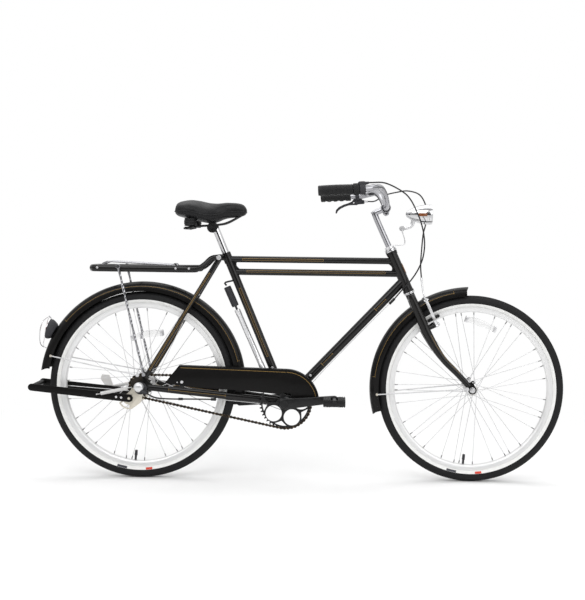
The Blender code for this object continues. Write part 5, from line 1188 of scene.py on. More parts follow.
GRIP_RUBBER = Grained("grip_rubber", "rubber", (0.006, 0.006, 0.0064), 0.5, 1400.0, 0.00003)
PLASTIC = Grained("black_plastic", "black_plastic", (0.0055, 0.0055, 0.006), 0.42, 1100.0, 0.00002)
BLACK_WIRE = Grained("black_lacquer", "black_steel", (0.005, 0.005, 0.0055), 0.3, 500.0, 0.00003)
VINYL = Grained("saddle_vinyl", "saddle_cover", (0.0045, 0.0045, 0.005), 0.36, 1500.0, 0.00003, 0.24)
CABLE_SKIN = Grained("cable_casing", "black_plastic", (0.008, 0.008, 0.0085), 0.38, 700.0, 0.00004)
RED = Lens("red_lens", "red_lens", (0.62, 0.03, 0.03), 420.0, 0.35)
CLEAR = Lens("clear_lens", "chrome", (0.97, 0.97, 0.97), 300.0, 0.96)
AMBER = Lens("amber_lens", "red_lens", (0.22, 0.07, 0.022), 520.0, 0.1)
CHAIN_STEEL = ChainSteel("chain_steel", "chain_steel", (0.05, 0.038, 0.028))
LINK_STEEL = ChainSteel("chain_outer_steel", "chain_steel", (0.022, 0.017, 0.013))


@dataclass
class Wheel(Assembly):
    """A wheel: tyre, rim, laced spokes, hub shell, valve and a clear spoke reflector."""

    end: str = "front"
    hub: tuple = FRONT_HUB
    flange_radius: float = 0.022
    flange_y: float = 0.034
    barrel: float = 0.014
    shell_end: float = 0.04
    glass: tuple = (0.231, 81.5, -19.4)

    RIM_INNER: ClassVar[float] = 0.268
    SPOKES: ClassVar[int] = 18

    def point(self, reach: float, turn: float, y: float = 0.0) -> Vector:
        """A place by its distance and angle (degrees) from the hub.

        Args:
            reach: The distance.
            turn: The angle.
            y: How far left it is.

        Returns:
            The place.
        """
        angle = radians(turn)
        x = self.hub[0] + reach * cos(angle)
        return at(x, self.hub[1] + reach * sin(angle), y)

    def round(self, name: str, profile: Sequence[tuple], steps: int = 144) -> Piece:
        """Spin a closed (radius, y) profile about the hub's axis."""
        return turned(name, profile, across(self.hub), steps, closed=True)

    def tyre(self) -> None:
        """The tyre, with a ribbed tread."""
        middle, reach, wall, rib = 0.3045, 0.022, 0.018, 9.0
        skin = []
        for step in range(61):
            turn = -118 + 236 * step / 60
            groove = 0.0011 if abs(turn) < 50 and (turn / rib) % 1 < 0.3 else 0.0
            angle = radians(turn)
            skin.append((middle + (reach - groove) * cos(angle), reach * sin(angle)))
        bead = [(0.2905, 0.0168), (0.288, 0.015), (0.2864, 0.0126), (0.2835, 0.0116)]
        inside = [(0.2835, 0.0092), (0.2885, 0.0118)]
        hollow = [
            (middle + wall * cos(radians(a)), wall * sin(radians(a)))
            for a in range(112, -113, -14)
        ]
        low = [(r, -y) for r, y in reversed(bead)]
        profile = skin + bead + inside + hollow + [(r, -y) for r, y in reversed(inside)] + low
        rubber = TyreRubber(f"{self.end}_tyre_rubber", "tyre", (0.0075, 0.0075, 0.008), self.hub)
        self.dress(self.round(f"{self.end}_tyre_casing", profile), rubber, f"{self.end}_tyre")

    def rim(self) -> None:
        """The box-section rim."""
        half = [(0.278, 0.0), (0.2782, 0.007), (0.28, 0.0106), (0.2826, 0.0126)]
        half += [(0.2862, 0.0134), (0.287, 0.0143), (0.2864, 0.0151), (0.2826, 0.015)]
        half += [(0.2745, 0.0143), (0.2705, 0.0118), (0.2686, 0.007), (self.RIM_INNER, 0.0)]
        profile = half + [(r, -y) for r, y in reversed(half[1:-1])]
        satin = Alloy(f"{self.end}_rim_alloy", "alloy", (0.74, 0.74, 0.74), self.hub, 0.36, 0.5)
        self.dress(self.round(f"{self.end}_rim_hoop", profile), satin, f"{self.end}_rim")

    def shell(self) -> None:
        """The hub shell with its two flanges."""
        reach, wide, end = self.flange_radius, self.flange_y, self.shell_end
        half = [(0.008, end), (self.barrel * 0.86, end), (self.barrel * 0.95, end - 0.002)]
        half += [(self.barrel * 0.95, wide + 0.003), (reach - 0.0015, wide + 0.002)]
        half += [(reach, wide + 0.0008), (reach, wide - 0.0008), (reach - 0.0015, wide - 0.002)]
        half += [(self.barrel + 0.0015, wide - 0.0035), (self.barrel, wide - 0.009)]
        profile = half + [(r, -y) for r, y in reversed(half)]
        piece = self.round(f"{self.end}_hub_shell", profile, 64)
        self.dress(piece, DULL_STEEL, f"{self.end}_hub")

    def lacing(self) -> None:
        """The spokes of both flanges, leading and trailing, and their nipples."""
        hole, lead_turn, rim_y, weave = self.flange_radius - 0.003, 58.0, 0.0036, 0.0011
        spokes, nipples = [], []
        step = 360 / self.SPOKES
        for side in Side:
            for index in range(self.SPOKES):
                lead = 1 if index % 2 else -1
                turn = step * (index + (0.25 if side is Side.LEFT else 0.75))
                far = turn + lead * (lead_turn + step / 4)
                start = self.point(hole, turn, side.value * self.flange_y + lead * weave)
                end = self.point(self.RIM_INNER - 0.001, far, side.value * rim_y + lead * weave)
                run = (end - start).normalized()
                spokes.append(bar("spoke", start, end - run * 0.004, 0.001, sides=8))
                nipples.append(bar("nipple", end - run * 0.01, end, 0.0015, 0.002, sides=8))
        self.fit(f"{self.end}_spokes", spokes, SPOKE_STEEL, f"{self.end}_hub")
        self.fit(f"{self.end}_nipples", nipples, NIPPLE)

    def valve(self) -> None:
        """The valve with its dust cap."""
        turn, reach = -95.0, self.RIM_INNER
        stem = bar("stem", self.point(reach, turn), self.point(reach - 0.016, turn), 0.004)
        cap = bar(
            "cap",
            self.point(reach - 0.015, turn),
            self.point(reach - 0.034, turn), 0.0054, 0.0046,
            sides=14,
            bevel=0.0008,
        )
        self.fit(f"{self.end}_valve", [stem, cap], PLASTIC)

    def reflector(self) -> None:
        """The clear reflector between the spokes, with a grey clip at each end."""
        reach, turn, tilt = self.glass
        lean = radians(tilt)
        place = self.point(reach, turn, 0.0045)
        frame = Matrix.Translation(place) @ Matrix.Rotation(-lean, 4, "Y")
        frame = frame @ Matrix.Rotation(radians(90), 4, "X")
        outline = [(-0.052, -0.012), (0.052, -0.012), (0.052, 0.004), (0.03, 0.011), (0, 0.013)]
        outline += [(-0.03, 0.011), (-0.052, 0.004)]
        lens = slab(f"{self.end}_spoke_reflector", outline, 0.009, frame, 0.0014)
        self.dress(lens, CLEAR)
        clips = []
        for end in (-0.0575, 0.0475):
            edge = [(end, -0.014), (end + 0.01, -0.014), (end + 0.01, 0.008), (end, 0.008)]
            wide = frame @ Matrix.Translation((0, 0, -0.008))
            clips.append(slab("clip", edge, 0.025, wide, 0.002))
        self.fit(f"{self.end}_reflector_clips", clips, SATIN)

    def build(self) -> None:
        """Model the wheel's pieces."""
        self.tyre()
        self.rim()
        self.shell()
        self.lacing()
        self.valve()
        self.reflector()


@dataclass
class Axles(Assembly):
    """Both wheels' axles with their cones, locknuts and chrome nuts."""

    def axle(self, name: str, hub: tuple, cone: float, locknut: float, nut: float) -> None:
        """One axle.

        Args:
            name: The CAD node's name.
            hub: The side-view point of its axis.
            cone: Where its cones begin, from the centre plane.
            locknut: Where its locknuts end.
            nut: Where its outer nuts begin.
        """
        tip = nut + 0.013
        parts = [rod("rod", hub, -tip, tip, 0.0047, sides=20, bevel=0.0008)]
        rounds = (
            (cone, locknut - 0.0035, 0.0074, 24, 0.0006),
            (locknut - 0.0034, locknut - 0.0002, 0.009, 6, 0.0006),
            (nut, nut + 0.0018, 0.01, 28, 0.0004),
            (nut + 0.0019, nut + 0.0092, 0.0085, 6, 0.001),
        )
        for y in WAYS:
            for near, far, *size in rounds:
                parts.append(rod("round", hub, y * near, y * far, size[0], None, *size[1:]))
        self.fit(f"{name}_set", parts, CHROME, name)

    def build(self) -> None:
        """Model the rear axle on the frame and the front one on the fork."""
        self.axle("rear_axle", REAR_HUB, 0.0385, 0.061, 0.07)
        self.body = "steering"
        self.axle("front_axle", FRONT_HUB, 0.0405, 0.05, 0.0557)


@dataclass
class Drive(Assembly):
    """Chainring, cranks, pedals and the rear sprocket."""

    body: str = "cranks"
    arm: float = 0.171
    arm_turn: float = 6.0

    def crank_end(self, side: Side) -> tuple:
        """The side-view point of a pedal's axle.

        Args:
            side: Which side it is on.

        Returns:
            The point.
        """
        turn = radians(self.arm_turn + (180 if side is Side.LEFT else 0))
        x = CRANK_PLACE[0] + self.arm * cos(turn)
        return x, CRANK_PLACE[1] + self.arm * sin(turn)

    def toothed(self, hub: tuple, teeth: int, rise: float, fall: float) -> list[tuple]:
        """The outline of a chain wheel.

        Args:
            hub: Its centre.
            teeth: How many teeth it has.
            rise: How far a tooth stands over the pitch circle.
            fall: How far a gap lies under it.

        Returns:
            The outline's points.
        """
        pitch = CHAIN_PITCH / (2 * sin(pi / teeth))
        outline = []
        for tooth in range(teeth):
            for share, reach in ((-0.3, -fall), (-0.1, rise), (0.1, rise), (0.3, -fall)):
                turn = tau * (tooth + 0.5 + share) / teeth
                x = hub[0] + (pitch + reach) * cos(turn)
                outline.append((x, hub[1] + (pitch + reach) * sin(turn)))
        return outline

    def chainring(self) -> None:
        """The chainring with its round holes and windows."""
        thick, centre = 0.0028, CRANK_PLACE
        frame = side_on(CHAIN_Y + thick / 2)
        outline = self.toothed(centre, RING_TEETH, 0.003, 0.0038)
        ring = slab("chainring", outline, thick, frame)
        for spoke in range(5):
            turn = -138 + 72 * spoke
            angle = radians(turn)
            hole = (centre[0] + 0.055 * cos(angle), centre[1] + 0.055 * sin(angle))
            bored(ring, hole, CHAIN_Y - 0.01, CHAIN_Y + 0.01, 0.0282, 40)
            window = arc(centre, 0.08, turn + 21, turn + 51, 7)
            middle = radians(turn + 36)
            window.append((centre[0] + 0.064 * cos(middle), centre[1] + 0.064 * sin(middle)))
            tool = slab("window", window, 0.02, side_on(CHAIN_Y + 0.01))
            cut(ring, tool)
        self.dress(eased(ring, 0.0003, 1), BLACK_WIRE, "drive_crank")

    def crank(self, side: Side, node: str) -> None:
        """A crank arm with its boss and cotter, and on the right the chainring's boss.

        Args:
            side: Which side it is on.
            node: The CAD node's name.
        """
        y, centre, tip = side.value, CRANK_PLACE, self.crank_end(side)
        lean = degrees(atan2(tip[1] - centre[1], tip[0] - centre[0]))
        outline = arc(centre, 0.0185, lean + 78, lean + 282, 16)
        outline += arc(tip, 0.0125, lean - 84, lean + 84, 12)
        frame = side_on(max(y * 0.0665, y * 0.0795))
        arm = slab("arm", outline, 0.013, frame, 0.0028, 3)
        parts = [
            arm,
            rod("spindle", centre, y * 0.035, y * 0.083, 0.0085, sides=28, bevel=0.001),
            rod("cap", centre, y * 0.0795, y * 0.0812, 0.012, bevel=0.0006),
        ]
        if side is Side.RIGHT:
            parts.append(rod("boss", centre, CHAIN_Y + 0.0014, -0.0664, 0.0245, 0.02, bevel=0.001))
        self.fit(f"{node}_arm", parts, BLACK_WIRE, node)

    def pedal(self, side: Side) -> None:
        """A pedal: axle tube, two end plates and two ribbed rubber treads.

        Args:
            side: Which side it is on.
        """
        word, y, tip = side.word, side.value, self.crank_end(side)
        body = f"{word}_pedal_block"
        steel = [
            rod("tube", tip, y * 0.0885, y * 0.1735, 0.0085, sides=24),
            rod("stub", tip, y * 0.0798, y * 0.0885, 0.0062, sides=20),
            rod("cap", tip, y * 0.1735, y * 0.1778, 0.009, bevel=0.0012),
        ]
        for near in (0.0882, 0.1712):
            plate = [(-0.033, -0.007), (-0.029, -0.011), (0.029, -0.011), (0.033, -0.007)]
            plate += [(-x, -z) for x, z in plate]
            outline = [(tip[0] + x, tip[1] + z) for x, z in plate]
            frame = side_on(max(y * near, y * (near + 0.0028)))
            steel.append(slab("plate", outline, 0.0028, frame, 0.0006))
        self.fit(f"{word}_pedal_frame", steel, BLACK_WIRE, f"{word}_pedal", body=body)
        treads = []
        for way in WAYS:
            middle = tip[0] + way * 0.025
            edge = [(-0.0125, -0.0105), (0.0125, -0.0105), (0.0125, 0.0105), (-0.0125, 0.0105)]
            outline = [(middle + x, tip[1] + z) for x, z in edge]
            frame = side_on(max(y * 0.0912, y * 0.171))
            treads.append(slab("tread", outline, 0.0798, frame, 0.0015))
            for face in WAYS:
                for rib in range(4):
                    x, z = middle - 0.009 + 0.006 * rib, tip[1] + face * 0.0112
                    treads.append(rod("rib", (x, z), y * 0.093, y * 0.1692, 0.0018, sides=10))
        self.fit(f"{word}_pedal_treads", treads, GRIP_RUBBER, f"{word}_pedal", body=body)

    def sprocket(self) -> None:
        """The rear sprocket on its driver."""
        thick = 0.0028
        outline = self.toothed(REAR_HUB, SPROCKET_TEETH, 0.003, 0.0038)
        wheel = slab("sprocket_wheel", outline, thick, side_on(CHAIN_Y + thick / 2))
        bored(wheel, REAR_HUB, CHAIN_Y - 0.01, CHAIN_Y + 0.01, 0.015)
        driver = pipe("driver", at(*REAR_HUB, -0.0385), at(*REAR_HUB, -0.056), 0.016, 0.0096)
        self.fit("sprocket_on_driver", [wheel, driver], DARK_STEEL, "rear_sprocket", body="sprocket")

    def build(self) -> None:
        """Model the drive."""
        self.chainring()
        self.crank(Side.RIGHT, "drive_crank")
        self.crank(Side.LEFT, "left_crank")
        for side in Side:
            self.pedal(side)
        self.sprocket()


@dataclass
class Chain(Assembly):
    """The roller chain: inner and outer links along a belt round both chain wheels."""

    def pins(self) -> list[Vector]:
        """Where the chain's pins are, in order round the belt.

        Returns:
            The places.
        """
        hub, crank = Vector(REAR_HUB), Vector(CRANK_PLACE)
        small = CHAIN_PITCH / (2 * sin(pi / SPROCKET_TEETH))
        large = CHAIN_PITCH / (2 * sin(pi / RING_TEETH))
        line = crank - hub
        lean, open_angle = atan2(line.y, line.x), acos((small - large) / line.length)
        run = sqrt(line.length**2 - (large - small) ** 2)
        front, back = 2 * open_angle, tau - 2 * open_angle
        lengths = (run, large * front, run, small * back)
        top, low = lean + open_angle, lean - open_angle
        starts = [
            hub + small * Vector((cos(top), sin(top))),
            crank + large * Vector((cos(low), sin(low))),
        ]
        along_top = Vector((cos(top - pi / 2), sin(top - pi / 2)))
        along_low = Vector((cos(low - pi / 2), sin(low - pi / 2)))
        links = round(sum(lengths) / CHAIN_PITCH / 2) * 2
        pins = []
        for index in range(links):
            gone = sum(lengths) * index / links
            if gone < lengths[0]:
                spot = starts[0] + along_top * gone
            elif gone < sum(lengths[:2]):
                turn = top - (gone - lengths[0]) / large
                spot = crank + large * Vector((cos(turn), sin(turn)))
            elif gone < sum(lengths[:3]):
                spot = starts[1] + along_low * (gone - sum(lengths[:2]))
            else:
                turn = low - (gone - sum(lengths[:3])) / small
                spot = hub + small * Vector((cos(turn), sin(turn)))
            pins.append(at(spot.x, spot.y, CHAIN_Y))
        return pins

    def link(self, plate_at: float, roller: bool) -> Piece:
        """One link, lying along x: two plates, and pins or rollers.

        Args:
            plate_at: Where its plates begin, from its middle.
            roller: Whether it has the rollers or the pins.

        Returns:
            The link.
        """
        half = CHAIN_PITCH / 2
        outline = arc((half, 0), 0.0047, -75, 75, 5) + [(0, 0.0022)]
        outline += arc((-half, 0), 0.0047, 105, 255, 5) + [(0, -0.0022)]
        parts = []
        for z in (plate_at, -plate_at - 0.0009):
            parts.append(slab("plate", outline, 0.0009, Matrix.Translation((0, 0, z))))
        reach, radius = (plate_at, 0.0037) if roller else (0.0044, 0.0017)
        for x in (-half, half):
            parts.append(bar("pin", (x, 0, -reach), (x, 0, reach), radius, sides=8))
        return joined("link", parts)

    def build(self) -> None:
        """Copy the two kinds of link along the belt."""
        pins = self.pins()
        frames = []
        for here, there in zip(pins, pins[1:] + pins[:1]):
            x_axis = (there - here).normalized()
            frames.append(facing((here + there) / 2, x_axis, SIDEWAYS.cross(x_axis), SIDEWAYS))
        outer = repeated("chain_outer_links", self.link(0.0031, False), frames[::2])
        inner = repeated("chain_inner_links", self.link(0.002, True), frames[1::2])
        self.dress(outer, LINK_STEEL, "chain")
        self.dress(inner, CHAIN_STEEL, "chain")


def head_x(z: float) -> float:
    """Where the steering axis is at a height."""
    return HEAD_FOOT[0] - (z - HEAD_FOOT[1]) / tan(HEAD_ANGLE)


def head_peak() -> Vector:
    """The upper end of the head tube."""
    return at(*HEAD_FOOT) + UP_HEAD * HEAD_LENGTH


def seat_x(z: float) -> float:
    """Where the seat tube's axis is at a height."""
    return CRANK_PLACE[0] - (z - CRANK_PLACE[1]) / tan(SEAT_ANGLE)


def lining(name: str, *lines: Line, gloss: float = 0.18, shine: float = 0.26) -> Enamel:
    """Black enamel with gold lines of its own."""
    return Enamel(name, "black_paint", PAINT, lines, gloss, shine)


def pair(start: tuple, end: tuple, apart: float) -> list[Line]:
    """Two lines side by side, closed at both ends.

    Args:
        start: Where both begin.
        end: Where both end.
        apart: Half their distance.

    Returns:
        The lines and the two short ones that close them.
    """
    run = heading(start, end)
    lines = [
        Line((start[0] - s * run.y, start[1] + s * run.x), (end[0] - s * run.y, end[1] + s * run.x))
        for s in (-apart, apart)
    ]
    return lines + [Line(lines[0].start, lines[1].start), Line(lines[0].end, lines[1].end)]


@dataclass
class FrameTubes(Assembly):
    """The frame: head tube, twin top tubes, down tube, seat tube and the stays."""

    upper_z: float = 0.7705
    lower_z: float = 0.726

    def head(self) -> None:
        """The head tube with a collar at each end, and its badge, left bare."""
        foot, peak = at(*HEAD_FOOT), head_peak()
        tube = pipe("head_tube_shell", foot, peak, 0.018, 0.015, 48)
        badge = foot + UP_HEAD * 0.0824 + BRAKE_AXIS * 0.015
        oval = [(0.0105 * x, 0.02 * z) for x, z in arc((0, 0), 1.0, 0, 345, 24)]
        plate = slab("head_badge", oval, 0.004, facing(badge, SIDEWAYS, UP_HEAD, BRAKE_AXIS), 0.0008)
        self.dress(plate, BRASS)
        low = pipe("collar", foot, foot + UP_HEAD * 0.007, 0.0196, 0.017, 48)
        top = pipe("collar", peak - UP_HEAD * 0.007, peak, 0.0196, 0.017, 48)
        self.fit("head_tube_shell", [tube, low, top], ENAMEL, "head_tube")

    def headset(self) -> None:
        """The two chrome bearing stacks."""
        foot, peak = at(*HEAD_FOOT), head_peak()
        cup = [(0, 0.0002), (0.0203, 0.0002), (0.0203, 0.0048), (0.019, 0.0062), (0, 0.0062)]
        stack = turned("upper_bearing_cup", cup, standing(peak, UP_HEAD))
        self.dress(stack, ENAMEL, "headset_upper")
        upper = [(0, 0.0064), (0.0213, 0.0064), (0.0215, 0.0092), (0.019, 0.0102)]
        upper += [(0.019, 0.011), (0.0207, 0.0118), (0.0205, 0.015), (0.0196, 0.0158), (0, 0.0158)]
        lower = [(0, 0.0002), (0.02, 0.0002), (0.02, 0.0034), (0.0188, 0.005)]
        lower += [(0.0188, 0.0074), (0, 0.0076)]
        stack = turned("upper_bearing_stack", upper, standing(peak, UP_HEAD))
        self.dress(stack, CHROME, "headset_upper")
        stack = turned("lower_bearing_stack", lower, standing(foot, -UP_HEAD))
        self.dress(stack, CHROME, "headset_lower")

    def top_tubes(self) -> None:
        """The twin top tubes with their gussets and gold lines."""
        gold = {
            "upper": pair((0.345, self.upper_z), (0.63, self.upper_z), 0.003),
            "lower": pair((0.361, self.lower_z + 0.003), (0.848, self.lower_z + 0.003), 0.003),
        }
        for word, z in (("upper", self.upper_z), ("lower", self.lower_z)):
            start, end = at(seat_x(z) + 0.01, z), at(head_x(z) - 0.012, z)
            tube = bar("tube", start, end, 0.0113, sides=40)
            parts = [tube]
            if word == "lower":
                parts += [self.gusset(head_x, -0.03), self.gusset(seat_x, 0.026)]
            finish = lining(f"{word}_top_tube_lining", *gold[word])
            self.fit(f"{word}_top_tube_lined", parts, finish, f"{word}_top_tube")

    def gusset(self, axis: Callable[[float], float], reach: float) -> Piece:
        """A plate between the top tubes with a hollow round edge.

        Args:
            axis: The axis of the tube that it stands on, by height.
            reach: How far it goes along the top tubes.

        Returns:
            The plate.
        """
        low, high, way = self.lower_z, self.upper_z, copysign(1, reach)
        outline = [(axis(low) + way * 0.012, low), (axis(low) + way * 0.014 + reach, low)]
        for step in range(1, 8):
            share = step / 8
            z = low + (high - low) * share
            hollow = sin(pi * share) * abs(reach) * 0.75
            outline.append((axis(z) + way * 0.014 + reach - way * hollow, z))
        outline += [(axis(high) + way * 0.014 + reach, high), (axis(high) + way * 0.012, high)]
        return slab("gusset", outline, 0.014, side_on(0.007), 0.003, 3)

    def down_tube(self) -> None:
        """The down tube with two gold arrows' shafts."""
        foot, top = CRANK_PLACE, (head_x(0.703), 0.703)
        run = heading(foot, top)
        tube = bar("tube", at(*foot), at(*top), 0.0159, sides=44)
        lines = []
        for near, far in ((0.182, 0.234), (0.45, 0.5)):
            start = (foot[0] + run.x * near, foot[1] + run.y * near)
            end = (foot[0] + run.x * far, foot[1] + run.y * far)
            lines.append(Line(start, end))
            for stop, half in ((start, 0.007), (end, 0.003)):
                tee = (-run.y * half, run.x * half)
                ends = [(stop[0] + s * tee[0], stop[1] + s * tee[1]) for s in (-1, 1)]
                lines.append(Line(ends[0], ends[1], 0.0009))
        finish = lining("down_tube_lining", *lines)
        self.fit("down_tube_lined", [tube], finish, "down_tube")
        bolt = rod("down_tube_bolt", (0.5895, 0.366), -0.0145, -0.0185, 0.0042)
        self.dress(eased(bolt, 0.0009), SATIN)

    def seat_tube(self) -> None:
        """The seat tube with its lug, clamp ear and bolt, and the bottom bracket shell."""
        foot = at(*CRANK_PLACE)
        top = foot + UP_SEAT * 0.563
        tube = pipe("tube", foot + UP_SEAT * 0.018, top, 0.0143, 0.0129, 44)
        lug = pipe("lug", top - UP_SEAT * 0.036, top, 0.0165, 0.013, 44)
        shell = pipe("shell", foot - SIDEWAYS * 0.034, foot + SIDEWAYS * 0.034, 0.0205, 0.0165, 48)
        ear = [(0.296, 0.764), (0.288, 0.786), (0.27, 0.786)]
        ear += arc(SEAT_CLUSTER, 0.01, 100, 250, 8)
        clamp = slab("ear", ear, 0.0276, side_on(0.0138), 0.002)
        hollow = stub("bore", top, UP_SEAT, -0.1, 0.02, 0.0134, sides=44)
        cut(clamp, hollow)
        finish = lining("seat_tube_lining", *pair((0.3371, 0.6691), (0.4383, 0.4306), 0.003))
        self.fit("seat_tube_lined", [tube, lug, shell, clamp], finish, "seat_tube")
        cups = []
        for y in WAYS:
            near, far = foot + SIDEWAYS * y * 0.0341, foot + SIDEWAYS * y * 0.0362
            cups.append(pipe("cup", near, far, 0.019, 0.0105, 40))
        self.fit("bottom_bracket_cups", cups, DULL_STEEL)
        bolts = []
        for y in WAYS:
            sides = 6 if y > 0 else 40
            bolts.append(rod("bolt", SEAT_CLUSTER, y * 0.049, y * 0.0535, 0.0085, None, sides, 0.0014))
        bolts.append(rod("shank", SEAT_CLUSTER, -0.049, 0.049, 0.004))
        self.fit("seat_bolt", bolts, SATIN)
        low = at(seat_x(0.391), 0.391, -0.0135)
        bolt = bar("seat_tube_bolt", low, low - SIDEWAYS * 0.0035, 0.0046, bevel=0.0009)
        self.dress(bolt, SATIN)

    def chainstay(self, side: Side) -> None:
        """A chainstay with its dropout plate, and on the right the chain guard's tab.

        Args:
            side: Which side it is on.
        """
        y = side.value
        knots = [(0.501, 0.2735, 0.024), (0.43, 0.2815, 0.03), (0.36, 0.2888, 0.0385)]
        knots += [(0.25, 0.3003, 0.047), (0.12, 0.3139, 0.058), (0.03, 0.3234, 0.064)]
        route = flowing(spots(knots, y), 0.012)
        shares = [i / (len(route) - 1) for i in range(len(route))]
        tall = [0.0105 + 0.002 * sin(pi * share) for share in shares]
        wide = [0.009 - 0.0025 * share for share in shares]
        stay = oval("stay", route, tall, wide, SIDEWAYS)
        plate = [(0.01, 0.3465), (-0.006, 0.3425), (-0.014, 0.3265), (-0.008, 0.3125)]
        plate += [(0.034, 0.3105), (0.044, 0.3305), (0.026, 0.3485), (0.024, 0.364)]
        plate += [(0.02, 0.377), (0.008, 0.377), (0.006, 0.362)]
        frame = side_on(max(y * 0.0613, y * 0.0663))
        dropout = slab("dropout", plate, 0.005, frame, 0.0012)
        bored(dropout, REAR_HUB, y * 0.06, y * 0.068, 0.0052)
        parts = [stay, dropout]
        if side is Side.RIGHT:
            tab = [(0.137, 0.313), (0.153, 0.311)] + arc((0.145, 0.343), 0.008, 0, 180, 9)
            parts.append(slab("tab", tab, 0.006, side_on(-0.0532), 0.001))
        lines = [
            Line((0.1006, 0.316), (0.2952, 0.2958)),
            Line((0.2952, 0.291), (0.2952, 0.3006)),
            Line((0.1006, 0.311), (0.1006, 0.321)),
        ]
        finish = lining(f"{side.word}_chainstay_lining", *lines)
        self.fit(f"{side.word}_chainstay_lined", parts, finish, f"{side.word}_chainstay")

    def seatstay(self, side: Side) -> None:
        """A seatstay with its eye, and on the right the brake bridge.

        Args:
            side: Which side it is on.
        """
        y = side.value
        top = Vector(SEAT_CLUSTER)
        run = (top - Vector(REAR_HUB)).normalized()
        knots = [(0.035, 0.0608), (0.09, 0.06), (0.206, 0.053), (0.335, 0.042)]
        knots += [(0.402, 0.034), (0.5157, 0.0226)]
        places = [at(run.x * d, HUB_Z + run.y * d, y * wide) for d, wide in knots]
        stay = swept("stay", flowing(places, 0.012), 0.008, 8)
        parts = [stay, rod("eye", top, y * 0.0141, y * 0.0302, 0.011, sides=36, bevel=0.0012)]
        if side is Side.RIGHT:
            bridge = at(run.x * 0.37, HUB_Z + run.y * 0.37)
            parts.append(stub("bridge", bridge, SIDEWAYS, -0.036, 0.036, 0.006, sides=24))
        finish = lining("seatstay_lining", *pair((0.2338, 0.7216), (0.034, 0.384), 0.0017))
        self.fit(f"{side.word}_seatstay_lined", parts, finish, f"{side.word}_seatstay")

    def build(self) -> None:
        """Model the frame."""
        self.head()
        self.headset()
        self.top_tubes()
        self.down_tube()
        self.seat_tube()
        for side in Side:
            self.chainstay(side)
            self.seatstay(side)


@dataclass
class Fork(Assembly):
    """The fork: crown, two curved blades, tips and the brakes' bosses."""

    body: str = "steering"
    crown: tuple = (0.9415, 0.6421)
    pivot: tuple = (1.0285, 0.5515)

    def build(self) -> None:
        """Model the fork as one painted piece."""
        foot = at(*HEAD_FOOT)
        crown = at(*self.crown)
        parts = [
            bar("steerer", crown, foot - UP_HEAD * 0.0078, 0.016, sides=40),
            stub("crown", crown, SIDEWAYS, -0.043, 0.043, 0.014, sides=36, bevel=0.0015),
        ]
        knots = [(0.97, 0.578, 0.0435), (1.0, 0.512, 0.045), (1.048, 0.437, 0.048)]
        knots += [(1.105, 0.379, 0.0515), (1.142, 0.3395, 0.0528)]
        tip = [(1.134, 0.3485)] + arc(FRONT_HUB, 0.015, 205, 400, 10) + [(1.16, 0.345), (1.152, 0.356)]
        for y in WAYS:
            places = [at(*self.crown, y * 0.043)] + spots(knots, y)
            route = flowing(places, 0.01)
            last = len(route) - 1
            shares = [max(0.0, i / last - 0.25) / 0.75 for i in range(last + 1)]
            swell = [0.0138 + 0.003 * sin(pi * min(1.0, i / last * 1.6)) for i in range(last + 1)]
            tall = [size - 0.004 * share for size, share in zip(swell, shares)]
            wide = [0.0125 - 0.0045 * share for share in shares]
            parts.append(oval("blade", route, tall, wide, SIDEWAYS))
            parts.append(bar("shoulder", places[0], places[0] + UP_HEAD * 0.013, 0.0128, 0.01))
            frame = side_on(max(y * 0.0503, y * 0.0553))
            plate = slab("tip", tip, 0.005, frame, 0.001)
            parts.append(bored(plate, FRONT_HUB, y * 0.049, y * 0.057, 0.0052))
            eye = slab("eyelet", arc((1.155, 0.352), 0.0068, 0, 345, 24), 0.005, frame, 0.001)
            parts.append(bored(eye, (1.155, 0.352), y * 0.049, y * 0.057, 0.003))
            hinge = at(*self.pivot, y * 0.04)
            parts.append(
                stub("boss", hinge, BRAKE_AXIS, -0.045, -0.0054, 0.0075, sides=28, bevel=0.0006)
            )
            parts.append(stub("stud", hinge, BRAKE_AXIS, -0.01, 0.009, 0.0039, sides=20, bevel=0.0005))
        edge = [(1.008, 0.516), (1.028, 0.478), (1.055, 0.4425), (1.084, 0.411), (1.111, 0.3835)]
        lines = [Line(a, b) for a, b in zip(edge, edge[1:])]
        self.fit("fork_blades", parts, lining("fork_lining", *lines), "fork")


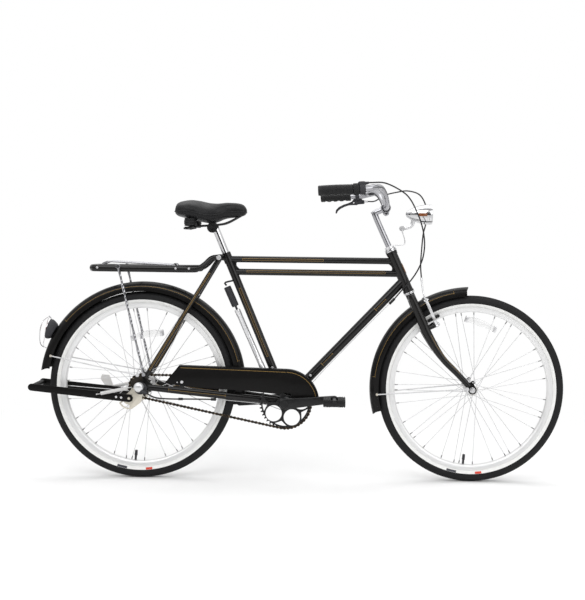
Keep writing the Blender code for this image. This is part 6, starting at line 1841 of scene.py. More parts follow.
@dataclass
class Bars(Assembly):
    """Stem, handlebar, grips, gear shifter and brake lever."""

    body: str = "steering"
    start: tuple = (0.77, 1.0115, 0.2555)
    lean: Vector = Vector((-0.99376, 0.09449, -0.0593))

    def run(self, side: Side, distance: float) -> Vector:
        """A point on the straight grip end of the bar."""
        x, z, y = self.start
        return self.mirror(side, at(x, z, y) + self.lean * distance)

    def mirror(self, side: Side, point: Vector) -> Vector:
        """A point of the left side, on the side asked for."""
        return Vector((point.x, point.y * side.value, point.z))

    def ring(self, name: str, side: Side, near: float, far: float, radius: float) -> Piece:
        """A sleeve on the bar, between two distances along its straight end."""
        return pipe(name, self.run(side, near), self.run(side, far), radius, 0.0112, 48)

    def stem(self) -> None:
        """The chrome stem with its clamp and bolt."""
        peak = head_peak()
        knee = at(head_x(0.936), 0.936)
        clamp = at(*BAR_CLAMP)
        knots = [peak - UP_HEAD * 0.06, peak, knee - UP_HEAD * 0.014, knee + Vector((0.004, 0, 0.004))]
        knots += [knee + Vector((0.016, 0, 0.01)), clamp]
        parts = [
            swept("quill", flowing(knots, 0.004), 0.0107, 9),
            stub("clamp", clamp, SIDEWAYS, -0.022, 0.022, 0.0175, sides=48, bevel=0.0025),
        ]
        ear = [(0.834, 0.948), (0.86, 0.948), (0.8575, 0.933), (0.849, 0.9285), (0.84, 0.933)]
        parts.append(slab("ear", ear, 0.026, side_on(0.013), 0.0025, 3))
        bolt = at(0.849, 0.9375)
        parts.append(stub("bolt", bolt, SIDEWAYS, -0.0185, 0.0185, 0.0052, sides=6, bevel=0.0008))
        top = standing(knee + UP_HEAD * 0.004, UP_HEAD)
        cap = [(0, 0.0), (0.0108, 0.0), (0.0108, 0.004), (0.009, 0.0062), (0, 0.0068)]
        parts.append(turned("cap", cap, top, 36))
        self.fit("stem_chromed", parts, GREY_CHROME, "stem")

    def bar(self) -> None:
        """The bent handlebar tube."""
        knots = [(0.847, 0.958, 0.028), (0.847, 0.964, 0.06), (0.842, 0.984, 0.105)]
        knots += [(0.832, 1.006, 0.15), (0.818, 1.019, 0.195), (0.798, 1.0175, 0.238)]
        half = spots(knots)
        half += [self.run(Side.LEFT, 0.0), self.run(Side.LEFT, 0.06), self.run(Side.LEFT, 0.1532)]
        full = [self.mirror(Side.RIGHT, p) for p in reversed(half)] + [at(*BAR_CLAMP)] + half
        tube = swept("handlebar_tube", flowing(full, 0.006), 0.0111, 10)
        self.dress(tube, GREY_CHROME, "handlebar")

    def grip(self, side: Side) -> None:
        """A rubber grip with ribs and four finger notches.

        Args:
            side: Which side it is on.
        """
        near, far = 0.0441, 0.1575
        length = far - near
        profile = [(0, 0), (0.0155, 0), (0.0178, 0.0018), (0.0178, 0.0042), (0.0166, 0.0056)]
        ribs = 22
        for rib in range(ribs):
            foot = 0.006 + (length - 0.016) * rib / ribs
            swell = 0.0007 * sin(pi * rib / ribs)
            for share, rise in ((0.1, 0.0), (0.35, 0.0009), (0.65, 0.0009), (0.9, 0.0)):
                profile.append((0.0166 + swell + rise, foot + share * (length - 0.016) / ribs))
        profile += [
            (0.0168, length - 0.008), (0.0172, length - 0.005), (0.0158, length - 0.0005),
            (0, length - 0.0005),
        ]
        frame = standing(self.run(side, near), self.run(side, far) - self.run(side, near))
        piece = turned(f"{side.word}_grip_ribbed", profile, frame, 48)
        notches = []
        for finger in range(4):
            spot = self.run(side, near + 0.0215 + 0.0235 * finger) - Vector((0, 0, 0.0245))
            notches.append((spot - SIDEWAYS * 0.03, spot + SIDEWAYS * 0.03, 0.0098))
        self.dress(drilled(piece, notches), GRIP_RUBBER, f"{side.word}_grip", smooth=30)

    def shifter(self) -> None:
        """The twist shifter: its body with a raised window, and the ribbed ring."""
        right = Side.RIGHT
        shell = eased(self.ring("shell", right, 0.002, 0.022, 0.0196), 0.002, 3)
        middle = self.run(right, 0.012)
        way = (self.run(right, 0.1) - middle).normalized()
        up = Vector((0, 0, 1)) - way * way.z
        axes = way, up.cross(way).normalized(), up.normalized()
        box = [(-0.0105, -0.013), (0.013, -0.013), (0.013, 0.013), (-0.0105, 0.013)]
        frame = facing(middle + up * 0.012, *axes)
        window = slab("window", box, 0.0128, frame, 0.0045, 4)
        outlet = at(0.78, 1.032, -0.2525)
        nose = bar("outlet", middle + up * 0.0165, outlet, 0.0074, 0.0036, bevel=0.0005)
        self.fit("gear_shifter_shell", [shell, window, nose], PLASTIC, "gear_shifter_body")
        mark = facing(middle + up * 0.02482, *axes)
        slot = [(-0.0055, -0.0025), (0.0055, -0.0025), (0.0055, 0.0025), (-0.0055, 0.0025)]
        self.dress(slab("gear_window", slot, 0.0006, mark, 0.0002), AMBER)
        collar = self.ring("gear_twist_collar", right, 0.0223, 0.0435, 0.0186)
        ribs = []
        spin = standing(self.run(right, 0.0245), way)
        for rib in range(20):
            turn = tau * rib / 20
            foot = spin @ Vector((0.0186 * cos(turn), 0.0186 * sin(turn), 0))
            ribs.append(bar("rib", foot, foot + way * 0.0165, 0.0011, sides=8))
        self.fit("gear_twist_collar", [collar] + ribs, GRIP_RUBBER, "gear_twist_ring", body="gear_twist")

    def lever_frame(self, thickness: float) -> Matrix:
        """Where the brake lever's plates are drawn: x along the bar, y towards it.

        Args:
            thickness: The plate's thickness.

        Returns:
            The frame.
        """
        axis = Vector((0.068776, 0.937468, 0.34121)).normalized()
        x_axis = self.lean.normalized()
        pivot = Vector((0.19082, 0.266753, 0.986969))
        return facing(pivot - axis * thickness / 2, x_axis, axis.cross(x_axis), axis)

    def lever(self) -> None:
        """The brake lever, its bracket on the bar, its pivot and the cable's adjuster."""
        blade = [(-0.024, -0.006), (-0.01, -0.012), (0.004, -0.011), (0.02, -0.0115)]
        blade += [(0.036, -0.016), (0.052, -0.0235), (0.063, -0.032), (0.068, -0.042)]
        blade += [(0.073, -0.0405), (0.07, -0.028), (0.058, -0.0165), (0.04, -0.0085)]
        blade += [(0.022, -0.0035), (0.006, 0.003), (-0.004, 0.0035), (-0.024, 0.0005)]
        piece = slab("brake_lever_blade", blade, 0.0085, self.lever_frame(0.0085), 0.0024, 3)
        self.dress(piece, PLASTIC, "brake_lever", body="lever")
        frame = self.lever_frame(0)
        ear = [(-0.04, -0.007), (-0.006, -0.008), (0.006, -0.005), (0.007, 0.004), (-0.002, 0.008)]
        ear += [(-0.008, 0.0105), (-0.02, 0.0105), (-0.028, 0.006), (-0.04, 0.004)]
        parts = [eased(self.ring("clamp", Side.LEFT, 0.012, 0.026, 0.0163), 0.0014)]
        for foot in (-0.0076, 0.0048):
            plate = frame @ Matrix.Translation((0, 0, foot))
            parts.append(slab("ear", ear, 0.0028, plate, 0.0009))
        back = [(-0.04, -0.007), (-0.0275, -0.007), (-0.0275, 0.006), (-0.04, 0.004)]
        inner = frame @ Matrix.Translation((0, 0, -0.0076))
        parts.append(slab("back", back, 0.0152, inner, 0.0015))
        bridge = [(-0.034, 0.0045), (0.005, 0.0045), (-0.003, 0.0155), (-0.026, 0.0155)]
        parts.append(slab("bridge", bridge, 0.0152, inner, 0.0015))
        self.fit("lever_bracket_body", parts, PLASTIC, "lever_bracket")
        pin = bar("pin", frame @ Vector((0, 0, -0.0082)), frame @ Vector((0, 0, 0.0082)), 0.003)
        screw = bar("barrel", frame @ Vector((-0.036, 0, 0)), frame @ Vector((-0.044, 0, 0)), 0.003)
        knob = bar("knob", frame @ Vector((-0.0435, 0, 0)), frame @ Vector((-0.0525, 0, 0)), 0.0048)
        self.fit("lever_screws", [pin, screw, eased(knob, 0.0008)], SATIN)

    def build(self) -> None:
        """Model everything at the bar."""
        self.stem()
        self.bar()
        for side in Side:
            self.grip(side)
        self.shifter()
        self.lever()


@dataclass
class RimBrake(Assembly):
    """The front rim brake: two alloy arms with their pads and bolts."""

    pivot: tuple = (1.0285, 0.5515)
    length: float = 0.1

    def reach(self, rise: float) -> float:
        """How far an arm's middle is from the centre plane at a rise over its pivot."""
        return 0.04 + 0.065 * rise + 0.01 * sin(pi * rise / self.length)

    def arm(self, side: Side) -> None:
        """One arm with its pad and bolts.

        Args:
            side: Which side it is on.
        """
        y, body = side.value, f"{side.word}_caliper_arm"
        foot = at(*self.pivot)
        rises = [self.length * i / 10 for i in range(11)]
        half = [0.0052 - 0.0014 * r / self.length for r in rises]
        outer = [(self.reach(r) + w, r) for r, w in zip(rises, half)]
        inner = [(self.reach(r) - w, r) for r, w in zip(rises, half)]
        foot_ring = arc((self.reach(0), 0), 0.0086, 205, 335, 7)
        normal = SIDEWAYS.cross(UP_HEAD)
        frame = facing(foot - normal * 0.005, SIDEWAYS, UP_HEAD, normal)
        outline = [(y * a, b) for a, b in foot_ring + outer + inner[::-1]]
        arm = slab("arm", outline, 0.01, frame, 0.0018, 3)
        self.fit(f"{side.word}_brake_arm_alloy", [arm], SATIN, f"{side.word}_brake_arm", body=body)
        hinge = foot + SIDEWAYS * y * 0.04
        steel = [stub("bolt", hinge, BRAKE_AXIS, 0.0052, 0.0104, 0.0062, sides=28, bevel=0.0008)]
        middle = foot + UP_HEAD * 0.0232
        steel.append(stub("post", middle, SIDEWAYS, y * 0.0268, y * 0.059, 0.0034, sides=18))
        near = self.reach(0.0232) + 0.0052
        steel.append(stub("nut", middle, SIDEWAYS, y * near, y * (near + 0.006), 0.0058, 6, 0.0007))
        tip = foot + UP_HEAD * 0.094 + SIDEWAYS * y * self.reach(0.094)
        steel.append(stub("anchor", tip, BRAKE_AXIS, -0.0085, 0.0085, 0.004, sides=6, bevel=0.0006))
        self.fit(f"{side.word}_brake_fixings", steel, DULL_STEEL, body=body)
        line = middle - at(*FRONT_HUB)
        run = Vector((line.z, 0, -line.x)).normalized()
        up = SIDEWAYS.cross(run)
        shoe = arc((0.0185, 0), 0.0055, -90, 90, 7) + arc((-0.0185, 0), 0.0055, 90, 270, 7)
        place = middle + SIDEWAYS * y * (0.018 if y > 0 else 0.027)
        frame = facing(place, run, up, SIDEWAYS)
        pad = slab(f"{side.word}_brake_pad", shoe, 0.009, frame, 0.001)
        self.dress(pad, GRIP_RUBBER, body=body)

    def build(self) -> None:
        """Model both arms."""
        for side in Side:
            self.arm(side)


@dataclass
class Lamp(Assembly):
    """The chrome bullet headlamp and its strip bracket."""

    body: str = "lamp"
    axle: tuple = (0.9053, 0.886)

    def build(self) -> None:
        """Model the shell, lens, neck, side lens and bracket."""
        frame = standing(at(0.918, 0.936), (1, 0, 0))
        shell = [(0, 0), (0.006, 0.001), (0.0105, 0.0045), (0.0142, 0.01), (0.0192, 0.018)]
        shell += [(0.024, 0.028), (0.029, 0.04), (0.0318, 0.05), (0.0342, 0.063), (0.035, 0.074)]
        shell += [(0.035, 0.08), (0.0338, 0.0806), (0.0338, 0.0816), (0.035, 0.0822)]
        shell += [(0.035, 0.0885), (0.034, 0.092), (0.031, 0.093), (0.029, 0.09), (0, 0.088)]
        body = turned("headlamp_shell", shell, frame, 72)
        route = flowing(
            [at(0.9053, 0.886), at(0.9233, 0.889), at(0.9393, 0.898), at(0.9453, 0.916)], 0.003
        )
        neck = swept(
            "neck", route, [0.0062 + 0.0018 * i / (len(route) - 1) for i in range(len(route))], 7
        )
        knuckle = rod("knuckle", self.axle, -0.006, 0.006, 0.0085, bevel=0.001)
        knuckle = bored(knuckle, self.axle, -0.01, 0.01, 0.0032)
        self.dress(body, CHROME, "headlamp")
        self.fit("headlamp_neck", [neck, knuckle], SATIN, "headlamp")
        dome = [(0, 0.0882), (0.0288, 0.0896), (0.0275, 0.0915), (0.0175, 0.0936), (0, 0.0948)]
        self.dress(turned("headlamp_lens", dome, frame, 60), CLEAR)
        for side in Side:
            y = side.value
            spot = [(0.961, 0.9295), (0.992, 0.9295), (0.992, 0.9405), (0.961, 0.9405)]
            near = side_on(0.035 if y > 0 else -0.0298)
            strip = slab(f"headlamp_{side.word}_glow_strip", spot, 0.0052, near, 0.0012)
            self.dress(strip, AMBER)
        screw = rod("headlamp_screw", (0.93, 0.9363), -0.014, -0.018, 0.003)
        self.dress(eased(screw, 0.0006), PLASTIC)
        self.bracket()

    def bracket(self) -> None:
        """The bent strip from the headset to the lamp, with its ring, ears and bolt."""
        knots = [(0.869, 0.8207), (0.881, 0.8262), (0.908, 0.8275), (0.916, 0.835)]
        knots += [(0.915, 0.85), (0.907, 0.874), (0.9053, 0.884)]
        route = flowing([Vector((x, z, 0)) for x, z in knots], 0.004)
        outline, back = [], []
        for before, here, after in zip([route[0]] + route, route, route[1:] + [route[-1]]):
            run = (after - before).normalized() * 0.0015
            outline.append((here.x - run.y, here.y + run.x))
            back.append((here.x + run.y, here.y - run.x))
        strip = slab("strip", outline + back[::-1], 0.02, side_on(0.01), 0.0006)
        peak = head_peak()
        ring = pipe("ring", peak + UP_HEAD * 0.0162, peak + UP_HEAD * 0.0253, 0.0165, 0.0112, 44)
        parts = [strip, ring]
        for y in WAYS:
            parts.append(rod("ear", self.axle, y * 0.0063, y * 0.0098, 0.0095, bevel=0.0006))
            parts.append(rod("nut", self.axle, y * 0.0099, y * 0.0132, 0.005, sides=6, bevel=0.0006))
        parts.append(rod("bolt", self.axle, -0.0128, 0.0128, 0.0029, sides=20))
        self.fit("lamp_bracket_strip", parts, SATIN, "lamp_bracket", body="steering")


@dataclass
class Mudguard(Assembly):
    """A rolled mudguard with its wire stays and gold lines."""

    end: str = "front"
    hub: tuple = FRONT_HUB
    radius: float = 0.357
    skirt: float = 0.325
    span: tuple = (92.0, 195.5)
    stay_turn: float = 184.0
    stay_foot: tuple = (1.135, 0.331, 0.064)
    gold: tuple = (101.0, 173.5)

    def ring(self, turn: float, slant: float) -> list[Vector]:
        """One closed section of the blade at an angle.

        Args:
            turn: The angle in degrees.
            slant: How many degrees its edge trails.

        Returns:
            The section's points.
        """
        wide, shell, depth = 0.0275, 0.0016, self.radius - self.skirt
        outer = [(0.0, wide), (0.22, wide * 0.995), (0.45, wide * 0.965), (0.66, wide * 0.87)]
        outer += [(0.82, wide * 0.7), (0.93, wide * 0.46), (0.985, wide * 0.2)]
        skin = [(self.skirt + depth * share, y) for share, y in outer]
        under = [
            (r - shell * (0.2 + (r - self.skirt) / depth), y - shell * (1 - y / wide * 0.05))
            for r, y in skin
        ]
        under = [(max(r, self.skirt), max(y, 0.002)) for r, y in under]
        profile = skin + [(r, -y) for r, y in reversed(skin)]
        profile += [(r, -y) for r, y in under] + list(reversed(under))
        places = []
        for reach, y in profile:
            lean = radians(turn + slant * (self.radius - reach) / depth)
            x = self.hub[0] + reach * cos(lean)
            places.append(at(x, self.hub[1] + reach * sin(lean), y))
        return places

    def blade(self) -> None:
        """The blade, with a rolled edge."""
        first, last = self.span
        count = 84
        rings = []
        for step in range(count + 1):
            slant = 3.0 if step == 0 else (-3.0 if step == count else 0.0)
            rings.append(self.ring(first + (last - first) * step / count, slant))
        reach = self.radius - 0.0165
        lines = [Line((reach, self.gold[0]), (reach, self.gold[1]), 0.0005, self.hub)]
        for turn in self.gold:
            out = Vector((cos(radians(turn)), sin(radians(turn))))
            ends = [tuple(Vector(self.hub) + out * (reach + s * 0.008)) for s in (-0.3, 1)]
            lines.append(Line(*ends))
        blade = loft(f"{self.end}_mudguard_blade", rings)
        finish = lining(f"{self.end}_mudguard_lining", *lines, gloss=0.26, shine=0.14)
        self.dress(blade, finish, f"{self.end}_mudguard", smooth=40)

    def stays(self) -> None:
        """A wire stay on each side, with the bolt that holds it to the blade."""
        wires, bolts = [], []
        turn = radians(self.stay_turn)
        out = Vector((cos(turn), sin(turn)))
        x, z, wide = self.stay_foot
        for y in WAYS:
            knots = [at(x, z, y * wide)]
            edge = Vector(self.hub) + out * (self.skirt + 0.006)
            half = (edge + Vector((x, z))) / 2
            knots.append(at(half.x, half.y, y * ((wide + 0.0275) / 2 + 0.003)))
            knots.append(at(edge.x, edge.y, y * 0.0285))
            wires.append(swept("stay", flowing(knots, 0.02), 0.0022, 5))
            wires.append(rod("eye", (x, z), y * (wide - 0.0016), y * (wide + 0.0016), 0.0062, sides=28))
            bolts.append(
                rod("bolt", (edge.x, edge.y), y * 0.0268, y * 0.0312, 0.0045, sides=24, bevel=0.001)
            )
        self.fit(f"{self.end}_mudguard_stays", wires, SPOKE_STEEL)
        self.fit(f"{self.end}_stay_bolts", bolts, ZINC)

    def build(self) -> None:
        """Model the mudguard."""
        self.blade()
        self.stays()


@dataclass
class Rack(Assembly):
    """The tube carrier with its spring clip and two pairs of stays."""

    def deck(self) -> None:
        """The bent tube and its cross bars."""
        near = [(0.264, 0.778, 0.0389), (0.24, 0.773, 0.043), (0.218, 0.752, 0.052)]
        near += [(0.196, 0.738, 0.06), (0.165, 0.735, 0.064), (0.02, 0.735, 0.064)]
        near += [(-0.146, 0.735, 0.064), (-0.17, 0.735, 0.052), (-0.176, 0.735, 0.034)]
        route = spots(near) + [at(-0.177, 0.735)] + spots(near[::-1], -1)
        rail = flowing(route, 0.008)
        tall = [0.009 + 0.003 * (place.z < 0.737) for place in rail]
        parts = [oval("rail", rail, tall, [0.009] * len(rail))]
        for x in (-0.13, -0.02, 0.11, 0.172):
            parts.append(rod("bar", (x, 0.735), -0.0575, 0.0575, 0.004, sides=20))
        for side in Side:
            y = side.value * 0.02
            lug = [(0.1035, 0.735), (0.1165, 0.735)] + arc(CLIP_AXLE, 0.0065, 0, 180, 10)
            plate = slab("lug", lug, 0.006, side_on(max(y - 0.003, y + 0.003)), 0.0008)
            parts.append(bored(plate, CLIP_AXLE, y - 0.01, y + 0.01, 0.0033))
        self.fit("rack_rail", parts, ENAMEL, "rack")
        screws = []
        for x in (-0.151, 0.12, 0.166):
            for y in (-0.0732, 0.0732):
                screws.append(
                    rod("screw", (x, 0.737), y * 0.97, y * 1.02, 0.004, sides=20, bevel=0.0006)
                )
        self.fit("rack_screws", screws, SATIN)

    def stays(self) -> None:
        """The twisted chrome stays, square in section, and their bolts."""
        parts, low, high = [], (0.014, 0.368), (-0.078, 0.742)
        for y in WAYS:
            foot, top = at(*low, y * 0.0711), at(*high, y * 0.0775)
            frame = standing(foot, top - foot)
            length, count = (top - foot).length, 90
            rings = []
            for step in range(count + 1):
                share = step / count
                turn = radians(1080) * min(1.0, max(0.0, (share - 0.06) / 0.88))
                wide, thin = 0.0048, 0.0036
                corner = [(wide, 0), (wide * 0.7, thin * 0.7), (0, thin), (-wide * 0.7, thin * 0.7)]
                corner += [(-x, -z) for x, z in corner]
                spin = frame @ Matrix.Translation((0, 0, length * share)) @ Matrix.Rotation(turn, 4, "Z")
                rings.append([spin @ Vector((x, z, 0)) for x, z in corner])
            parts.append(loft("stay", rings))
            for point, wide, size in ((low, 0.0711, 0.0062), (high, 0.0775, 0.0078)):
                parts.append(
                    rod("eye", point, y * (wide - 0.004), y * (wide + 0.004), size, bevel=0.001)
                )
        self.fit("rack_twisted_stays", parts, GREY_CHROME, "rack")

    def clip(self) -> None:
        """The sprung wire clip that holds luggage down."""
        half = [(0.11, 0.7475, 0.01), (0.11, 0.7475, 0.033), (0.104, 0.7475, 0.043)]
        half += [(0.06, 0.7502, 0.0432), (-0.02, 0.7535, 0.0432), (-0.11, 0.7575, 0.043)]
        half += [(-0.126, 0.756, 0.04), (-0.14, 0.7505, 0.031)]
        loop = spots(half[1:]) + [at(-0.143, 0.749)] + spots(half[:0:-1], -1)
        wire = swept("clip", flowing(loop, 0.006), 0.0028, 6)
        shaft = rod("shaft", CLIP_AXLE, -0.034, 0.034, 0.0026, sides=20)
        coil = []
        for step in range(97):
            turn = tau * 6 * step / 96
            y = -0.01 + 0.02 * step / 96
            coil.append(at(CLIP_AXLE[0] + 0.0054 * cos(turn), CLIP_AXLE[1] + 0.0054 * sin(turn), y))
        spring = swept("coil", coil, 0.0013, 3)
        self.fit(
            "rack_clip_wire", [wire, shaft, spring], GREY_CHROME, "rack_clip", body="rack_spring_clip"
        )

    def build(self) -> None:
        """Model the carrier."""
        self.deck()
        self.stays()
        self.clip()


@dataclass
class TailLamp(Assembly):
    """The round tail lamp on the mudguard, in a wire guard."""

    face: tuple = (-0.335, 0.517)
    tilt: float = 14.8

    def build(self) -> None:
        """Model the housing, lens and guard."""
        lean = radians(self.tilt)
        out = Vector((-cos(lean), 0, sin(lean)))
        frame = standing(at(*self.face), out)
        shell = [(0, -0.03), (0.015, -0.03), (0.025, -0.024), (0.0325, -0.012)]
        shell += [(0.035, -0.006), (0.035, 0.001), (0.033, 0.0016), (0.032, -0.002), (0, -0.002)]
        body = turned("tail_lamp_housing", shell, frame, 56)
        body = bored(body, REAR_HUB, -0.1, 0.1, 0.3623, 160)
        self.dress(body, PLASTIC, "tail_lamp")
        dome = [(0, -0.0018), (0.0318, -0.0018), (0.0312, 0.0012), (0.024, 0.0058), (0.012, 0.0084)]
        dome += [(0, 0.0092)]
        self.dress(turned("tail_lamp_lens", dome, frame, 56), RED)
        half = [(-0.3435, 0.449, 0.0022), (-0.353, 0.454, 0.006), (-0.3585, 0.466, 0.02)]
        half += [(-0.358, 0.49, 0.033), (-0.3545, 0.518, 0.0375), (-0.348, 0.544, 0.032)]
        half += [(-0.337, 0.558, 0.016)]
        top = at(-0.333, 0.5615)
        route = spots(half) + [top] + spots(half[::-1], -1)
        wires = [
            swept("hoop", flowing(route, 0.004), 0.0015, 5),
            bar("stub", top, at(-0.321, 0.544), 0.0022, sides=16),
        ]
        bezel = [(0.0318, 0.0008), (0.0338, 0.0008), (0.0338, 0.003), (0.0318, 0.003)]
        wires.append(turned("bezel", bezel, frame, 56, closed=True))
        self.fit("tail_lamp_guard", wires, CHROME)


@dataclass
class Seat(Assembly):
    """The seat post, the sprung saddle frame and the padded cover."""

    body: str = "saddle_assembly"
    clamp: tuple = (0.239, 0.881)

    STATIONS: ClassVar[tuple] = (
        (0.1135, 0.066, 0.959, 0.919), (0.117, 0.08, 0.968, 0.916), (0.127, 0.092, 0.9745, 0.913),
        (0.16, 0.104, 0.98, 0.907), (0.196, 0.098, 0.975, 0.898), (0.228, 0.078, 0.968, 0.892),
        (0.256, 0.054, 0.9665, 0.898), (0.275, 0.042, 0.969, 0.907), (0.29, 0.036, 0.971, 0.912),
        (0.325, 0.03, 0.972, 0.916), (0.344, 0.0285, 0.9685, 0.918), (0.352, 0.0255, 0.962, 0.921),
        (0.357, 0.02, 0.953, 0.927),
    )

    def post(self) -> None:
        """The chrome seat post."""
        foot = at(seat_x(0.64), 0.64)
        top = at(seat_x(0.879), 0.879)
        piece = bar("seat_post_tube", foot, top, 0.0126, sides=48, bevel=0.0012)
        self.dress(piece, CHROME, "seat_post", body="seat_pillar")

    def under(self) -> None:
        """The clamp, rails and cross bar."""
        spot = at(*self.clamp)
        parts = []
        for y in WAYS:
            parts.append(
                stub("cheek", spot, SIDEWAYS, y * 0.0175, y * 0.027, 0.018, sides=48, bevel=0.0016)
            )
            for tooth in range(24):
                turn = tau * tooth / 24
                edge = spot + Vector((0.0177 * cos(turn), 0, 0.0177 * sin(turn)))
                parts.append(stub("tooth", edge, SIDEWAYS, y * 0.0185, y * 0.0262, 0.0011, sides=6))
            parts.append(
                stub("nut", spot, SIDEWAYS, y * 0.0265, y * 0.033, 0.0068, sides=6, bevel=0.0009)
            )
        parts.append(stub("block", spot, SIDEWAYS, -0.0178, 0.0178, 0.0129, sides=40))
        self.fit("saddle_clamp", parts, BLACK_WIRE, "saddle_frame")
        rails = []
        for y in WAYS:
            knots = [(0.15, 0.878, 0.047), (0.19, 0.885, 0.03), (0.239, 0.889, 0.0225)]
            knots += [(0.285, 0.896, 0.02), (0.33, 0.919, 0.009), (0.342, 0.926, 0.007)]
            route = flowing(spots(knots, y), 0.006)
            rails.append(swept("rail", route, 0.0035, 7))
        rails.append(rod("bar", (0.15, 0.876), -0.079, 0.079, 0.0035, sides=24, bevel=0.0006))
        for side in Side:
            foot = at(0.168, 0.8798, side.value * 0.06)
            rails.append(bar("seat", foot, foot + Vector((0, 0, 0.0022)), 0.0205, sides=40))
            arm = at(0.15, 0.876, side.value * 0.06)
            rails.append(bar("arm", arm, foot + Vector((0.004, 0, 0.001)), 0.004, sides=20))
        self.fit("saddle_rails", rails, BLACK_WIRE, "saddle_frame")

    def spring(self, side: Side) -> None:
        """A coil spring under the saddle's rear.

        Args:
            side: Which side it is on.
        """
        wire, curls, foot, height = 0.003, 5, 0.885, 0.0262
        count = curls * 20
        route = []
        for step in range(count + 1):
            turn = tau * curls * step / count
            reach = 0.0176 + 0.0024 * sin(pi * step / count)
            spot = reach * cos(turn), reach * sin(turn)
            route.append(at(0.168 + spot[0], foot + height * step / count, side.value * 0.06 + spot[1]))
        piece = swept(f"{side.word}_saddle_coil", route, wire, 6)
        self.dress(piece, BLACK_WIRE, f"{side.word}_saddle_spring")

    def ring(self, station: tuple, inset: float) -> list[Vector]:
        """One section of the saddle, drawn in by an inset.

        Args:
            station: Its x, half width, top and bottom.
            inset: How far it lies inside.

        Returns:
            The section's points.
        """
        x, wide, top, low = station
        wide, top, low = wide - inset, top - inset, low + inset
        places = []
        for step in range(28):
            turn = tau * step / 28
            across_share, up = cos(turn), sin(turn)
            y = wide * copysign(abs(across_share) ** 0.72, across_share)
            middle = low + (top - low) * 0.46
            lift = (top - middle) if up > 0 else (middle - low)
            z = middle + lift * copysign(abs(up) ** (0.9 if up > 0 else 0.62), up)
            places.append(at(x, z, y))
        return places

    def cover(self) -> None:
        """The padded cover: a shell filled out by a cloth simulation."""
        inset = 0.0042
        rings = [self.ring(station, inset) for station in self.STATIONS]
        middle = [sum(ring, Vector()) / len(ring) for ring in (rings[0], rings[-1])]
        for ring, centre, shift in ((rings[0], middle[0], -0.002), (rings[-1], middle[1], 0.002)):
            cap = [centre + (p - centre) * 0.8 + Vector((shift, 0, 0)) for p in ring]
            rings.insert(0 if shift < 0 else len(rings), cap)
        piece = loft("saddle_cover", rings)
        shape = piece.modifiers.new("skin", "REMESH")
        shape.mode = "VOXEL"
        shape.voxel_size = 0.005
        apply(piece, shape)
        self.fill_out(piece)
        relax = piece.modifiers.new("relax", "SMOOTH")
        relax.iterations = 6
        relax.factor = 0.5
        apply(piece, relax)
        finer = piece.modifiers.new("finer", "SUBSURF")
        finer.levels = finer.render_levels = 1
        apply(piece, finer)
        self.dress(piece, VINYL, "saddle", smooth=60)

    def fill_out(self, piece: Piece) -> None:
        """Let the padding press the cover out, and keep where it comes to rest.

        Args:
            piece: The cover.
        """
        cloth = piece.modifiers.new("cloth", "CLOTH")
        cloth.settings.use_pressure = True
        cloth.settings.uniform_pressure_force = 4.0
        cloth.settings.effector_weights.gravity = 0.0
        cloth.settings.tension_stiffness = 60.0
        cloth.settings.compression_stiffness = 60.0
        cloth.settings.bending_stiffness = 6.0
        cloth.settings.quality = 6
        cloth.point_cache.frame_start, cloth.point_cache.frame_end = 1, 12
        scene = bpy.context.scene
        before = [v.co.copy() for v in piece.data.vertices]
        for step in range(1, 13):
            scene.frame_set(step)
        apply(piece, cloth)
        scene.frame_set(1)
        most = 0.003
        for vertex, rest in zip(piece.data.vertices, before):
            moved = vertex.co - rest
            if moved.length > most:
                vertex.co = rest + moved.normalized() * most

    def piping(self) -> None:
        """The seam cord on each side of the saddle."""
        seam = []
        for x, wide, top, low in self.STATIONS:
            middle = low + (top - low) * 0.46
            seam.append(Vector((x, middle - 0.004, wide - 0.0006)))
        for side in Side:
            route = flowing([at(p.x, p.y, side.value * p.z) for p in seam], 0.006)
            cord = swept(f"{side.word}_saddle_piping", route, 0.0013, 4)
            self.dress(cord, VINYL)

    def build(self) -> None:
        """Model the seat."""
        self.post()
        self.under()
        for side in Side:
            self.spring(side)
        self.cover()
        self.piping()


@dataclass
class ChainGuard(Assembly):
    """The pressed chain guard with its gold lines and bolts."""

    outer_y: float = -0.061
    depth: float = 0.025

    def outline(self, inset: float = 0.0) -> list[tuple]:
        """The guard's side view, drawn in by an inset.

        Args:
            inset: The inset.

        Returns:
            The outline's points.
        """
        crank = CRANK_PLACE
        ring = [(0.085 + inset, 0.338), (0.1345 + inset * 0.6, 0.4002 - inset)]
        ring += arc(crank, 0.1175 - inset, 88, 8, 18)
        if inset:
            return ring + [(0.6225 - inset, 0.25), (0.0883 + inset, 0.25)]
        ring += [(0.556, 0.29)]
        ring += arc(crank, 0.037, 28, 122, 10)
        return ring + [(0.479, 0.3052), (0.36, 0.316), (0.245, 0.3215), (0.137, 0.3305)]

    def build(self) -> None:
        """Model the guard, hollow on its inside."""
        guard = slab(
            "chain_guard_pressing", self.outline(), self.depth, side_on(self.outer_y + self.depth)
        )
        hollow = slab(
            "hollow",
            self.outline(0.0015),
            self.depth + 0.02,
            side_on(self.outer_y + self.depth + 0.0215),
        )
        cut(guard, hollow)
        eased(guard, 0.0006, 2)
        lines = [
            Line((0.14, 0.3925), (0.506, 0.3815), 0.0008),
            Line((0.108, 11.0), (0.108, 88.0), 0.0008, hub=CRANK_PLACE),
        ]
        finish = lining("chain_guard_lining", *lines, gloss=0.34, shine=0.1)
        self.dress(guard, finish, "chain_guard", smooth=30)
        bolts = []
        near = self.outer_y - 0.0002
        for point, size in (((0.145, 0.343), 0.0052), ((0.129, 0.342), 0.0022)):
            bolts.append(rod("bolt", point, near, near - 0.0028, size, sides=28, bevel=0.0008))
        self.fit("chain_guard_bolts", bolts, SATIN)


